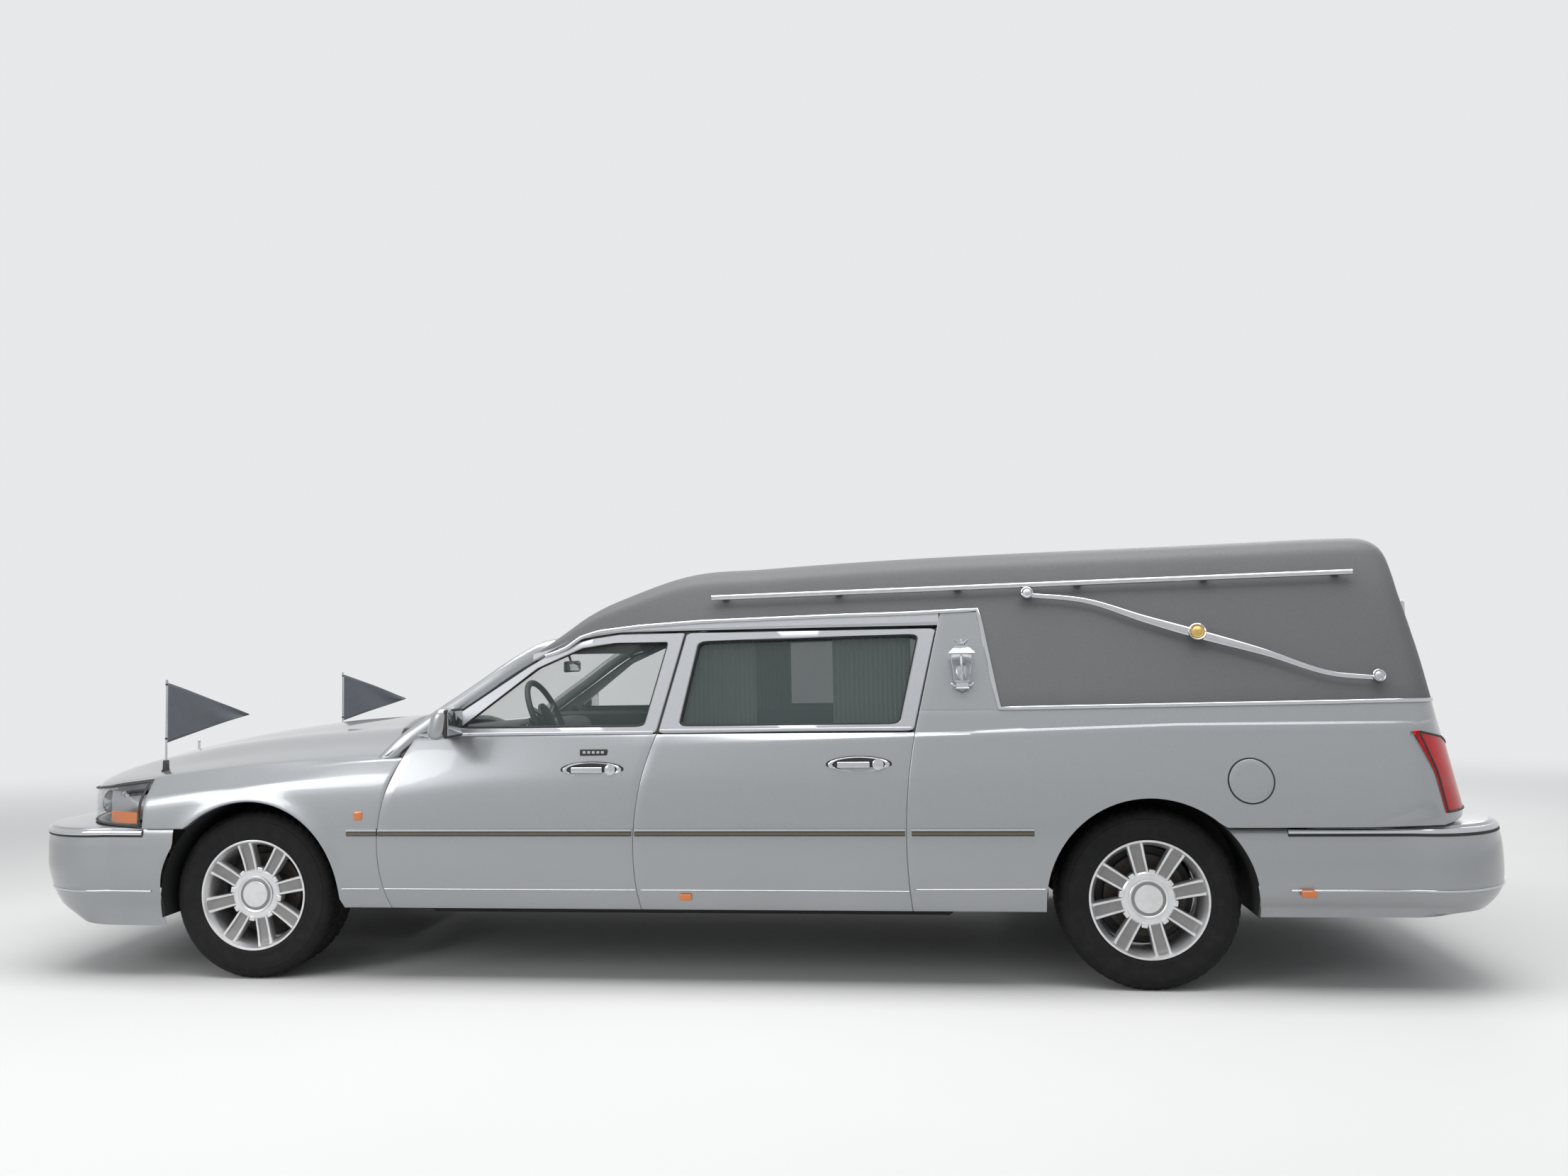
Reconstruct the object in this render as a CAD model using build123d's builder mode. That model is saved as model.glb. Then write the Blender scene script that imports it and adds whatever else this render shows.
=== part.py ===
"""A stretched funeral car with a landau roof.

Millimetres. The front faces -X, the left side faces -Y, +Z is up. The origin lies on the
ground under the middle of the car's length. A side is -1 for the left and 1 for the right.
"""
from build123d import *
import math
import os

os.makedirs("parts", exist_ok=True)

# Driving dimensions of the whole car
WHEELBASE = 3683.0
FRONT_OVERHANG = 1072.0
REAR_OVERHANG = 1409.0
BODY_HALF_WIDTH = 990.0
ROOF_HEIGHT = 1778.0
TRACK = 1600.0
HUB_HEIGHT = 350.0

# Wheels
TYRE_RADIUS = 350.0
TYRE_WIDTH = 225.0
TYRE_SHOULDER = 30.0
RIM_RADIUS = 231.0
RIM_LIP = 12.0
SPOKE_COUNT = 8
SPOKE_START_ANGLE = 13.0
SPOKE_DEPTH = 34.0
HUB_CAP_RADIUS = 76.0
HUB_BORE_RADIUS = 24.0
SPINDLE_CLEARANCE = 1.0
BRAKE_DISC_RADIUS = 160.0
BRAKE_DISC_THICKNESS = 24.0

# Panels, glass and gaps
DOOR_THICKNESS = 70.0
SKIN = 24.0
PANEL_GAP = 8.0
GLASS = 5.0
GLASS_FIT = 2.0
BUMPER_WALL = 45.0
SEAT_GAP = 1.0

# Heights of the body's long lines
SILL_HEIGHT = 310.0
CREASE_HEIGHT = 390.0
WAIST_HEIGHT = 620.0
BUMPER_TOP = 643.0
BELT_HEIGHT = 1010.0
DOOR_TOP = 1424.0
DECK_HEIGHT = 640.0
FLOOR_HEIGHT = 300.0
FLOOR_THICKNESS = 26.0

# Places worked out from the driving dimensions
OVERALL_LENGTH = FRONT_OVERHANG + WHEELBASE + REAR_OVERHANG
NOSE_X = -OVERALL_LENGTH / 2
TAIL_X = OVERALL_LENGTH / 2
FRONT_AXLE_X = NOSE_X + FRONT_OVERHANG
REAR_AXLE_X = FRONT_AXLE_X + WHEELBASE
WHEEL_Y = TRACK / 2
HIGH = ROOF_HEIGHT + 200.0
WIDE = BODY_HALF_WIDTH + 120.0
SIDES = ((-1, "left"), (1, "right"))


def save(part, name):
    part.label = name
    export_step(part, "parts/" + name + ".step")


# Cabin and rear body: sections across the car, cut by the plan of the tail

# station x, shoulder height, shoulder half width
CABIN_STATIONS = (
    (FRONT_AXLE_X + 560, 934.0, BODY_HALF_WIDTH - 52),
    (REAR_AXLE_X + 130, 1025.0, BODY_HALF_WIDTH - 52),
    (TAIL_X, 1025.0, BODY_HALF_WIDTH - 52),
)
ROOF_EDGE_HALF_WIDTH = BODY_HALF_WIDTH - 191
BELT_HALF_WIDTH = BODY_HALF_WIDTH - 75


def cabin_section(x, shoulder_height, shoulder_half_width, wall):
    """Sill, crease, rounded flank, shoulder, belt and the sides leaning in to the roof edge."""
    low = SILL_HEIGHT if wall == 0 else SILL_HEIGHT - 100
    high = DOOR_TOP if wall == 0 else DOOR_TOP + 100
    lean = (BELT_HALF_WIDTH - ROOF_EDGE_HALF_WIDTH) / (DOOR_TOP - BELT_HEIGHT)
    top_half_width = BELT_HALF_WIDTH - lean * (high - BELT_HEIGHT) - 0.6 * wall
    belt = max(BELT_HEIGHT, shoulder_height + 8)
    sill = BODY_HALF_WIDTH - 40 - wall
    crease = BODY_HALF_WIDTH - 15 - wall
    waist = BODY_HALF_WIDTH - wall
    flank = BODY_HALF_WIDTH - 15 - wall
    with BuildSketch(Plane.YZ.offset(x)) as section:
        with BuildLine():
            Polyline((-crease, CREASE_HEIGHT), (-sill, low), (sill, low), (crease, CREASE_HEIGHT))
            ThreePointArc((crease, CREASE_HEIGHT), (waist, WAIST_HEIGHT), (flank, 850))
            Polyline(
                (flank, 850),
                (shoulder_half_width - wall, shoulder_height),
                (BELT_HALF_WIDTH - wall, belt),
                (top_half_width, high),
                (-top_half_width, high),
                (-BELT_HALF_WIDTH + wall, belt),
                (-shoulder_half_width + wall, shoulder_height),
                (-flank, 850),
            )
            ThreePointArc((-flank, 850), (-waist, WAIST_HEIGHT), (-crease, CREASE_HEIGHT))
        make_face()
    return section.sketch


# Plan of the tail at two heights: how far the body's back stands ahead of the rear bumper
TAIL_TILT = 0.2235
TAIL_LOW_X = TAIL_X + 24
TAIL_BULGE = 120.0
TAIL_FLAT_HALF_WIDTH = 700.0


def tail_plan(height, wall):
    """Plan of everything ahead of the tail, with rounded corners, at one height."""
    back = TAIL_LOW_X - TAIL_TILT * (height - SILL_HEIGHT) - wall
    corner = TAIL_FLAT_HALF_WIDTH - wall * 0.4
    side = BODY_HALF_WIDTH + 2 - wall
    shoulder_x = back - TAIL_BULGE
    start = (shoulder_x - 420, side)
    with BuildSketch(Plane.XY.offset(height)) as plan:
        with BuildLine():
            Polyline(
                (start[0], -side),
                (shoulder_x - 4700, -side - 40),
                (shoulder_x - 4700, side + 40),
                (start[0], side),
            )
            ThreePointArc(start, (shoulder_x - 92, side - 84), (shoulder_x, corner))
            ThreePointArc((shoulder_x, corner), (back, 0), (shoulder_x, -corner))
            ThreePointArc((shoulder_x, -corner), (shoulder_x - 92, -side + 84), (start[0], -side))
        make_face()
    return plan.sketch


def cabin_form(wall):
    """The cabin's whole outer form, or with a wall the room inside it."""
    with BuildPart() as plan:
        loft([tail_plan(SILL_HEIGHT - 110, wall), tail_plan(HIGH, wall)], ruled=True)
    with BuildPart() as form:
        loft([cabin_section(*station, wall) for station in CABIN_STATIONS], ruled=True)
        add(plan.part, mode=Mode.INTERSECT)
    return form.part


CABIN_FORM = cabin_form(0)
CABIN_ROOM = cabin_form(DOOR_THICKNESS)
with BuildPart() as cabin_shell:
    add(CABIN_FORM)
    add(CABIN_ROOM, mode=Mode.SUBTRACT)

# Side outlines of the gaps between the panels, as x from the front axle and height
HINGE_GAP = ((642, 290), (589, 651), (718, 1004))
DOOR_GAP = ((1687, 290), (1660, 600), (1745, 1010))
DOOR_GAP_TOP = (1854, 1440)
QUARTER_GAP = ((2773, 290), (2752, 600), (2794, 1010))
QUARTER_GAP_TOP = (2895, 1440)


def from_axle(point, shift=0.0):
    """A point measured from the front axle, moved along the car by a shift."""
    return (FRONT_AXLE_X + point[0] + shift, point[1])


def gap_arc(gap, shift):
    return ThreePointArc(from_axle(gap[0], shift), from_axle(gap[1], shift), from_axle(gap[2], shift))


def front_door_outline(shrink):
    """Side outline of the front door: hinge gap, window line up the pillar, roof, rear gap."""
    with BuildSketch() as outline:
        with BuildLine():
            gap_arc(HINGE_GAP, shrink)
            Polyline(
                from_axle(HINGE_GAP[2], shrink),
                from_axle((760, 1012), shrink),
                from_axle((1180, 1292), shrink),
                from_axle((1330, 1382), shrink),
                from_axle((1460, 1410)),
                from_axle((1570, DOOR_TOP)),
                from_axle((DOOR_GAP_TOP[0] - 4, DOOR_TOP), -shrink),
                from_axle(DOOR_GAP[2], -shrink),
            )
            gap_arc(DOOR_GAP, -shrink)
            Line(from_axle(DOOR_GAP[0], -shrink), from_axle(HINGE_GAP[0], shrink))
        make_face()
    return outline.sketch


def rear_door_outline(shrink):
    """Side outline of the rear door between its two gaps."""
    with BuildSketch() as outline:
        with BuildLine():
            gap_arc(DOOR_GAP, shrink)
            Polyline(
                from_axle(DOOR_GAP[2], shrink),
                from_axle((DOOR_GAP_TOP[0] - 4, DOOR_TOP), shrink),
                from_axle((QUARTER_GAP_TOP[0] - 4, DOOR_TOP), -shrink),
                from_axle(QUARTER_GAP[2], -shrink),
            )
            gap_arc(QUARTER_GAP, -shrink)
            Line(from_axle(QUARTER_GAP[0], -shrink), from_axle(DOOR_GAP[0], shrink))
        make_face()
    return outline.sketch


def quarter_outline(shrink):
    """Side outline of the rear quarter, above the bumper behind the wheel."""
    with BuildSketch() as outline:
        with BuildLine():
            gap_arc(QUARTER_GAP, shrink)
            Polyline(
                from_axle(QUARTER_GAP[2], shrink),
                from_axle((QUARTER_GAP_TOP[0] - 4, DOOR_TOP), shrink),
                (TAIL_X + 50, DOOR_TOP),
                (TAIL_X + 50, BUMPER_TOP + SEAT_GAP),
                (REAR_AXLE_X + 200, BUMPER_TOP + SEAT_GAP),
                (REAR_AXLE_X + 200, 290),
                from_axle(QUARTER_GAP[0], shrink),
            )
        make_face()
    return outline.sketch


# Window openings as x from the front axle and height, and how far the glass reaches past them
FRONT_WINDOW = ((905, 1040), (1222, 1284), (1409, 1366), (1549, 1384), (1776, 1385), (1690, 1040))
REAR_WINDOW = ((1834, 1040), (1905, 1385), (2816, 1399), (2734, 1040))
GLASS_REACH = 14.0
GLASS_DEPTH = 22.0


def window_outline(points, grow):
    """A window's side outline, grown on all sides."""
    with BuildSketch() as outline:
        with BuildLine():
            Polyline([from_axle(p) for p in points], close=True)
        make_face()
        if grow:
            offset(amount=grow, kind=Kind.INTERSECTION)
    return outline.sketch


def side_prism(side, outline, near=300.0, far=WIDE):
    """A side outline carried across one side of the car between two half widths."""
    with BuildPart() as prism:
        with BuildSketch(Plane.XZ.offset(-side * near)):
            add(outline)
        extrude(amount=-side * (far - near))
    return prism.part


def leaning_slab(side, inset, thickness):
    """A slab parallel to the leaning side windows, an inset under the outer skin."""
    lean = (BELT_HALF_WIDTH - ROOF_EDGE_HALF_WIDTH) / (DOOR_TOP - BELT_HEIGHT)
    low, high = BELT_HEIGHT - 120, DOOR_TOP + 60
    low_y = BELT_HALF_WIDTH + lean * (BELT_HEIGHT - low) - inset
    high_y = BELT_HALF_WIDTH - lean * (high - BELT_HEIGHT) - inset
    with BuildPart() as slab:
        with BuildSketch(Plane.YZ.offset(FRONT_AXLE_X + 500)):
            with BuildLine():
                Polyline(
                    (side * low_y, low),
                    (side * high_y, high),
                    (side * (high_y - thickness), high),
                    (side * (low_y - thickness), low),
                    close=True,
                )
            make_face()
        extrude(amount=REAR_AXLE_X - FRONT_AXLE_X)
    return slab.part


# Door handles: x from the front axle and height of the middle, size
HANDLE_LENGTH = 250.0
HANDLE_HEIGHT = 34.0
HANDLE_STAND_OUT = 30.0
# Mirror on the front door: x from the front axle, height, size
MIRROR_X = 900.0
MIRROR_HEIGHT = 1070.0
MIRROR_WIDTH = 190.0
MIRROR_TALL = 130.0
MIRROR_DEPTH = 95.0


def door(side, outline, window, handle_x, handle_height, mirror=False):
    """A whole door, as thick as the real one, with its window cut and its pull handle."""
    glass_slot = side_prism(side, window_outline(window, GLASS_REACH + GLASS_FIT))
    slot_slab = leaning_slab(side, GLASS_DEPTH - GLASS_FIT, GLASS + 2 * GLASS_FIT)
    with BuildPart() as panel:
        add(cabin_shell.part)
        add(side_prism(side, outline(PANEL_GAP / 2)), mode=Mode.INTERSECT)
        add(side_prism(side, window_outline(window, 0)), mode=Mode.SUBTRACT)
        add(glass_slot & slot_slab, mode=Mode.SUBTRACT)
        with Locations((FRONT_AXLE_X + handle_x, side * (BODY_HALF_WIDTH - 20), handle_height)):
            Box(HANDLE_LENGTH, 2 * HANDLE_STAND_OUT, HANDLE_HEIGHT)
        if mirror:
            housing_y = side * (BELT_HALF_WIDTH + 130)
            with Locations((FRONT_AXLE_X + MIRROR_X, housing_y, MIRROR_HEIGHT)):
                Box(MIRROR_DEPTH, MIRROR_WIDTH, MIRROR_TALL)
            with Locations((FRONT_AXLE_X + MIRROR_X - 40, side * (BELT_HALF_WIDTH + 42), 1035)):
                Box(50, 120, 50)
    return panel.part


def door_glass(side, window):
    """The pane of a side door, standing in the slot round its opening."""
    with BuildPart() as pane:
        add(side_prism(side, window_outline(window, GLASS_REACH)))
        add(leaning_slab(side, GLASS_DEPTH, GLASS), mode=Mode.INTERSECT)
    return pane.part


for side, word in SIDES:
    save(door(side, front_door_outline, FRONT_WINDOW, 1489, 873, mirror=True), "front_door_" + word)
    save(door_glass(side, FRONT_WINDOW), "front_glass_" + word)
    save(door(side, rear_door_outline, REAR_WINDOW, 2570, 887), "rear_door_" + word)
    save(door_glass(side, REAR_WINDOW), "rear_glass_" + word)

# Wheel arches: middle from the axle, half length, height of the top above the hub
ARCH_SHIFT = 18.0
ARCH_HALF_LENGTH = 398.0
ARCH_RISE = 405.0


def arch_space(axle_x, shift, inner_half_width):
    """The space of both wheel arches of one axle, outside an inner half width."""
    with BuildPart() as space:
        for side, word in SIDES:
            with BuildSketch(Plane.XZ.offset(-side * inner_half_width)):
                with Locations((axle_x + shift, HUB_HEIGHT)):
                    Ellipse(ARCH_HALF_LENGTH, ARCH_RISE)
            extrude(amount=-side * (WIDE - inner_half_width))
    return space.part


# Rear loading door: half width, foot, head
GATE_HALF_WIDTH = 640.0
GATE_FOOT = 668.0
GATE_HEAD = ROOF_HEIGHT - 146
# Fuel flap in the left quarter: x from the front axle, height, radius
FLAP_X = 4060.0
FLAP_HEIGHT = 815.0
FLAP_RADIUS = 83.0
FLAP_THICKNESS = 10.0


def gate_block(grow):
    """The space of the loading door, grown at its edges, from well inside to behind the car."""
    with BuildPart() as block:
        with BuildSketch(Plane.YZ.offset(TAIL_X - 700)):
            with Locations((0, (GATE_FOOT + GATE_HEAD) / 2)):
                RectangleRounded(2 * (GATE_HALF_WIDTH + grow), GATE_HEAD - GATE_FOOT + 2 * grow, 60 + grow)
        extrude(amount=900)
    return block.part


def flap_cylinder(radius, near, far):
    """A round plug across the left flank at the fuel filler."""
    with BuildSketch() as disc:
        with Locations((FRONT_AXLE_X + FLAP_X, FLAP_HEIGHT)):
            Circle(radius)
    return side_prism(-1, disc.sketch, near, far)


FLAP_FLOOR = BODY_HALF_WIDTH - 50
for side, word in SIDES:
    with BuildPart() as quarter:
        add(cabin_shell.part)
        add(side_prism(side, quarter_outline(PANEL_GAP / 2), near=0), mode=Mode.INTERSECT)
        add(gate_block(PANEL_GAP), mode=Mode.SUBTRACT)
        add(arch_space(REAR_AXLE_X, 0, 600), mode=Mode.SUBTRACT)
        if side < 0:
            add(flap_cylinder(FLAP_RADIUS + PANEL_GAP - 2, FLAP_FLOOR, WIDE), mode=Mode.SUBTRACT)
    save(quarter.part, "quarter_" + word)

with BuildPart() as fuel_flap:
    add(CABIN_FORM)
    add(flap_cylinder(FLAP_RADIUS, BODY_HALF_WIDTH - 28 - FLAP_THICKNESS, WIDE), mode=Mode.INTERSECT)
save(fuel_flap.part, "fuel_flap")

# Roof: station x from the front axle, rail height, rail half width, then the shoulder's drop and
# the crown's height over the door tops, both as shares of the roof's rise
ROOF_RISE = ROOF_HEIGHT - DOOR_TOP
ROOF_RAIL = DOOR_TOP + PANEL_GAP
ROOF_STATIONS = (
    (1235, DOOR_TOP - 52, ROOF_EDGE_HALF_WIDTH + 14, 0.13, 0.02),
    (1370, DOOR_TOP - 8, ROOF_EDGE_HALF_WIDTH + 6, 0.21, 0.24),
    (1570, ROOF_RAIL, ROOF_EDGE_HALF_WIDTH - 2, 0.30, 0.50),
    (1830, ROOF_RAIL, ROOF_EDGE_HALF_WIDTH - 2, 0.31, 0.74),
    (2150, ROOF_RAIL, ROOF_EDGE_HALF_WIDTH - 2, 0.31, 0.80),
    (4080, ROOF_RAIL, ROOF_EDGE_HALF_WIDTH - 2, 0.31, 0.97),
    (4570, ROOF_RAIL, ROOF_EDGE_HALF_WIDTH - 2, 0.31, 1.00),
    (4720, ROOF_RAIL, ROOF_EDGE_HALF_WIDTH - 4, 0.31, 0.965),
    (4900, ROOF_RAIL, ROOF_EDGE_HALF_WIDTH - 14, 0.31, 0.69),
)
ROOF_WALL = 40.0


def roof_section(x, rail_height, rail_half_width, drop_share, crown_share, wall):
    """Side rail, upright flank, rounded shoulder and the arched crown."""
    drop = drop_share * ROOF_RISE
    crown = DOOR_TOP + crown_share * ROOF_RISE
    low = rail_height if wall == 0 else rail_height - 90
    rail = rail_half_width - wall
    side_top = rail_half_width - 0.3 * (crown - drop - rail_height) - wall
    top = crown - wall
    bend = (side_top - 0.2 * drop, top - 0.48 * drop)
    edge = (side_top - 0.8 * drop, top - 0.2 * drop)
    with BuildSketch(Plane.YZ.offset(FRONT_AXLE_X + x)) as section:
        with BuildLine():
            Polyline((-side_top, top - drop), (-rail, low), (rail, low), (side_top, top - drop))
            ThreePointArc((side_top, top - drop), bend, edge)
            ThreePointArc(edge, (0, top), (-edge[0], edge[1]))
            ThreePointArc((-edge[0], edge[1]), (-bend[0], bend[1]), (-side_top, top - drop))
        make_face()
    return section.sketch


def roof_form(wall):
    """The roof's outer form, or with a wall the room inside it."""
    with BuildPart() as plan:
        loft([tail_plan(SILL_HEIGHT - 110, 1.4 * wall), tail_plan(HIGH, 1.4 * wall)], ruled=True)
    with BuildPart() as form:
        loft([roof_section(*station, wall) for station in ROOF_STATIONS], ruled=True)
        add(plan.part, mode=Mode.INTERSECT)
    return form.part


# Pillars: foot and head, as x from the front axle, half width and height, and their size
WINDSHIELD_PILLAR = ((650, 872, 985), (1240, 792, 1390), 70, 62)
CENTRE_PILLAR = ((1752, 842, FLOOR_HEIGHT + 100), (1862, 705, ROOF_HEIGHT - 128), 90, 34)


def pillar(side, foot, head, length, width):
    """A straight post between two heights, of one length and width."""
    with BuildPart() as post:
        for x, y, z in (foot, head):
            with BuildSketch(Plane.XY.offset(z)):
                with Locations((FRONT_AXLE_X + x, side * y)):
                    Rectangle(length, width)
        loft(ruled=True)
    return post.part


with BuildPart() as header:
    with Locations((FRONT_AXLE_X + ROOF_STATIONS[0][0], 0, 1400)):
        Box(150, 2 * WIDE, 400)
with BuildPart() as roof_room:
    add(roof_form(ROOF_WALL))
    add(header.part, mode=Mode.SUBTRACT)
with BuildPart() as roof:
    add(roof_form(0))
    add(roof_room.part, mode=Mode.SUBTRACT)
    add(gate_block(PANEL_GAP), mode=Mode.SUBTRACT)
    for side, word in SIDES:
        add(pillar(side, *CENTRE_PILLAR))
        add(pillar(side, *WINDSHIELD_PILLAR))
save(roof.part, "roof")

# Rear loading door, as thick as the tail wall, with its window
GATE_WINDOW_HALF_WIDTH = 520.0
GATE_WINDOW_FOOT = 1080.0
GATE_WINDOW_HEAD = GATE_HEAD - 72


def tail_slab(near_wall, far_wall):
    """A layer of the tail between two depths under its outer face."""
    with BuildPart() as outer:
        loft([tail_plan(SILL_HEIGHT, near_wall), tail_plan(HIGH, near_wall)], ruled=True)
    with BuildPart() as slab:
        add(outer.part)
        loft([tail_plan(SILL_HEIGHT - 9, far_wall), tail_plan(HIGH + 9, far_wall)], ruled=True,
             mode=Mode.SUBTRACT)
    return slab.part


def gate_window(grow):
    """The space of the loading door's window, grown at its edges."""
    with BuildPart() as space:
        with BuildSketch(Plane.YZ.offset(TAIL_X - 700)):
            with Locations((0, (GATE_WINDOW_FOOT + GATE_WINDOW_HEAD) / 2)):
                RectangleRounded(
                    2 * (GATE_WINDOW_HALF_WIDTH + grow),
                    GATE_WINDOW_HEAD - GATE_WINDOW_FOOT + 2 * grow,
                    50 + grow,
                )
        extrude(amount=900)
    return space.part


with BuildPart() as rear_loading_door:
    add(tail_slab(0, 55))
    add(gate_block(0), mode=Mode.INTERSECT)
    add(gate_window(0), mode=Mode.SUBTRACT)
    add(gate_window(GLASS_REACH + GLASS_FIT) & tail_slab(20, 20 + GLASS + 2 * GLASS_FIT),
        mode=Mode.SUBTRACT)
save(rear_loading_door.part, "rear_loading_door")
with BuildPart() as rear_loading_glass:
    add(tail_slab(20 + GLASS_FIT, 20 + GLASS_FIT + GLASS))
    add(gate_window(GLASS_REACH), mode=Mode.INTERSECT)
save(rear_loading_glass.part, "rear_loading_glass")

# Front of the body: station x from the front axle, height of the hood's side gap, crown height
FRONT_STATIONS = (
    (-1072, 735, 745),
    (-960, 765, 816),
    (-800, 798, 884),
    (-500, 838, 958),
    (-100, 885, 1018),
    (400, 920, 1056),
    (760, 932, 1075),
)
HOOD_HALF_WIDTH = BODY_HALF_WIDTH - 85
NOSE_BULGE = 100.0


def front_section(x, gap_height, crown, wall):
    """Sill, crease, rounded flank, the turn-in to the hood's gap and the hood's arch."""
    low = SILL_HEIGHT if wall == 0 else SILL_HEIGHT - 100
    flank = BODY_HALF_WIDTH - 15 - wall
    flank_top = gap_height - 85
    crease = (flank, CREASE_HEIGHT)
    turn = (HOOD_HALF_WIDTH - wall, gap_height - wall)
    waist = (BODY_HALF_WIDTH - wall, (CREASE_HEIGHT + flank_top) / 2)
    with BuildSketch(Plane.YZ.offset(FRONT_AXLE_X + x)) as section:
        with BuildLine():
            Polyline(
                (-crease[0], crease[1]),
                (-flank + 25, low),
                (flank - 25, low),
                crease,
            )
            ThreePointArc(crease, waist, (flank, flank_top))
            Line((flank, flank_top), turn)
            ThreePointArc(turn, (0, crown - wall), (-turn[0], turn[1]))
            Line((-turn[0], turn[1]), (-flank, flank_top))
            ThreePointArc((-flank, flank_top), (-waist[0], waist[1]), (-crease[0], crease[1]))
        make_face()
    return section.sketch


def nose_plan(wall):
    """Plan of the body behind the nose, with swept-back corners round the lamps."""
    front = FRONT_AXLE_X - 1000 + wall
    corner = (front + NOSE_BULGE, 620 - 0.4 * wall)
    side = (FRONT_AXLE_X - 290 + wall, BODY_HALF_WIDTH + 1 - wall)
    middle = (FRONT_AXLE_X - 655 + 0.8 * wall, 905 - 0.8 * wall)
    with BuildSketch(Plane.XY) as plan:
        with BuildLine():
            Polyline(side, (FRONT_AXLE_X + 900, side[1] + 20), (FRONT_AXLE_X + 900, -side[1] - 20),
                     (side[0], -side[1]))
            ThreePointArc((side[0], -side[1]), (middle[0], -middle[1]), (corner[0], -corner[1]))
            ThreePointArc((corner[0], -corner[1]), (front, 0), corner)
            ThreePointArc(corner, middle, side)
        make_face()
    return plan.sketch


def front_form(wall):
    """The front's outer form, or with a wall the room inside it."""
    with BuildPart() as plan:
        with BuildSketch():
            add(nose_plan(wall))
        extrude(amount=HIGH)
    with BuildPart() as form:
        loft([front_section(*station, wall) for station in FRONT_STATIONS], ruled=True)
        add(plan.part, mode=Mode.INTERSECT)
    return form.part


FRONT_FORM = front_form(0)
with BuildPart() as front_shell:
    add(FRONT_FORM)
    add(front_form(SKIN), mode=Mode.SUBTRACT)

# Hood: its rear edge, and the line in side view that parts it from the lamps and grille
HOOD_REAR_MIDDLE_X = FRONT_AXLE_X + 420
HOOD_REAR_SIDE_X = FRONT_AXLE_X + 640
LAMP_LINE = ((-1100, 752), (-450, 826))
FENDER_FRONT_X = FRONT_AXLE_X - 450


def side_band(points, half_width=WIDE):
    """An outline in side view carried right across the car."""
    with BuildPart() as band:
        with BuildSketch(Plane.XZ.offset(-half_width)):
            with BuildLine():
                Polyline(points, close=True)
            make_face()
        extrude(amount=2 * half_width)
    return band.part


def above_lamps(shift):
    """Everything above the line over the lamps and grille, raised by a shift."""
    (front_x, front_z), (back_x, back_z) = LAMP_LINE
    return side_band([
        (FRONT_AXLE_X + front_x, front_z + shift),
        (FENDER_FRONT_X, back_z + shift),
        (FENDER_FRONT_X, 700),
        (FRONT_AXLE_X + 900, 700),
        (FRONT_AXLE_X + 900, HIGH),
        (FRONT_AXLE_X + front_x, HIGH),
    ])


with BuildPart() as hood:
    add(front_shell.part)
    with BuildSketch():
        with BuildLine():
            half = HOOD_HALF_WIDTH - PANEL_GAP / 2
            Polyline((HOOD_REAR_SIDE_X, half), (NOSE_X, half), (NOSE_X, -half), (HOOD_REAR_SIDE_X, -half))
            ThreePointArc((HOOD_REAR_SIDE_X, -half), (HOOD_REAR_MIDDLE_X, 0), (HOOD_REAR_SIDE_X, half))
        make_face()
    extrude(amount=HIGH, mode=Mode.INTERSECT)
    add(above_lamps(PANEL_GAP / 2), mode=Mode.INTERSECT)
save(hood.part, "hood")

for side, word in SIDES:
    with BuildPart() as fender:
        add(front_shell.part)
        with BuildSketch():
            with BuildLine():
                near = side * (HOOD_HALF_WIDTH + PANEL_GAP / 2)
                Polyline((FENDER_FRONT_X, near), (FRONT_AXLE_X + 900, near),
                         (FRONT_AXLE_X + 900, side * WIDE), (FENDER_FRONT_X, side * WIDE), close=True)
            make_face()
        extrude(amount=HIGH, mode=Mode.INTERSECT)
        with BuildSketch() as behind:
            with BuildLine():
                gap_arc(HINGE_GAP, -PANEL_GAP / 2)
                Polyline(from_axle(HINGE_GAP[2], -PANEL_GAP / 2), (FRONT_AXLE_X - 1100, 1004),
                         (FRONT_AXLE_X - 1100, BUMPER_TOP + SEAT_GAP),
                         (FRONT_AXLE_X - 200, BUMPER_TOP + SEAT_GAP),
                         (FRONT_AXLE_X - 200, 290), from_axle(HINGE_GAP[0], -PANEL_GAP / 2))
            make_face()
        add(side_prism(side, behind.sketch), mode=Mode.INTERSECT)
        add(arch_space(FRONT_AXLE_X, ARCH_SHIFT, 600), mode=Mode.SUBTRACT)
    save(fender.part, "fender_" + word)

# Lamps and grille stand in the nose, between the bumper's top and the hood's front edge
GRILLE_HALF_WIDTH = 330.0
LAMP_DEPTH = 110.0
NOSE_FLOOR = BUMPER_TOP + SEAT_GAP
with BuildPart() as nose_block:
    with Locations((FENDER_FRONT_X - PANEL_GAP / 2, 0, NOSE_FLOOR)):
        Box(700, 2 * WIDE, 300, align=(Align.MAX, Align.CENTER, Align.MIN))
    add(above_lamps(-PANEL_GAP / 2), mode=Mode.SUBTRACT)
with BuildPart() as lamp_shell:
    add(FRONT_FORM)
    add(front_form(LAMP_DEPTH), mode=Mode.SUBTRACT)
    add(nose_block.part, mode=Mode.INTERSECT)
with BuildPart() as headlamps:
    add(lamp_shell.part)
    with Locations((FRONT_AXLE_X - 1000, 0, NOSE_FLOOR)):
        Box(600, 2 * GRILLE_HALF_WIDTH + 12, 400, mode=Mode.SUBTRACT)
save(headlamps.part, "headlamps")

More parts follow.
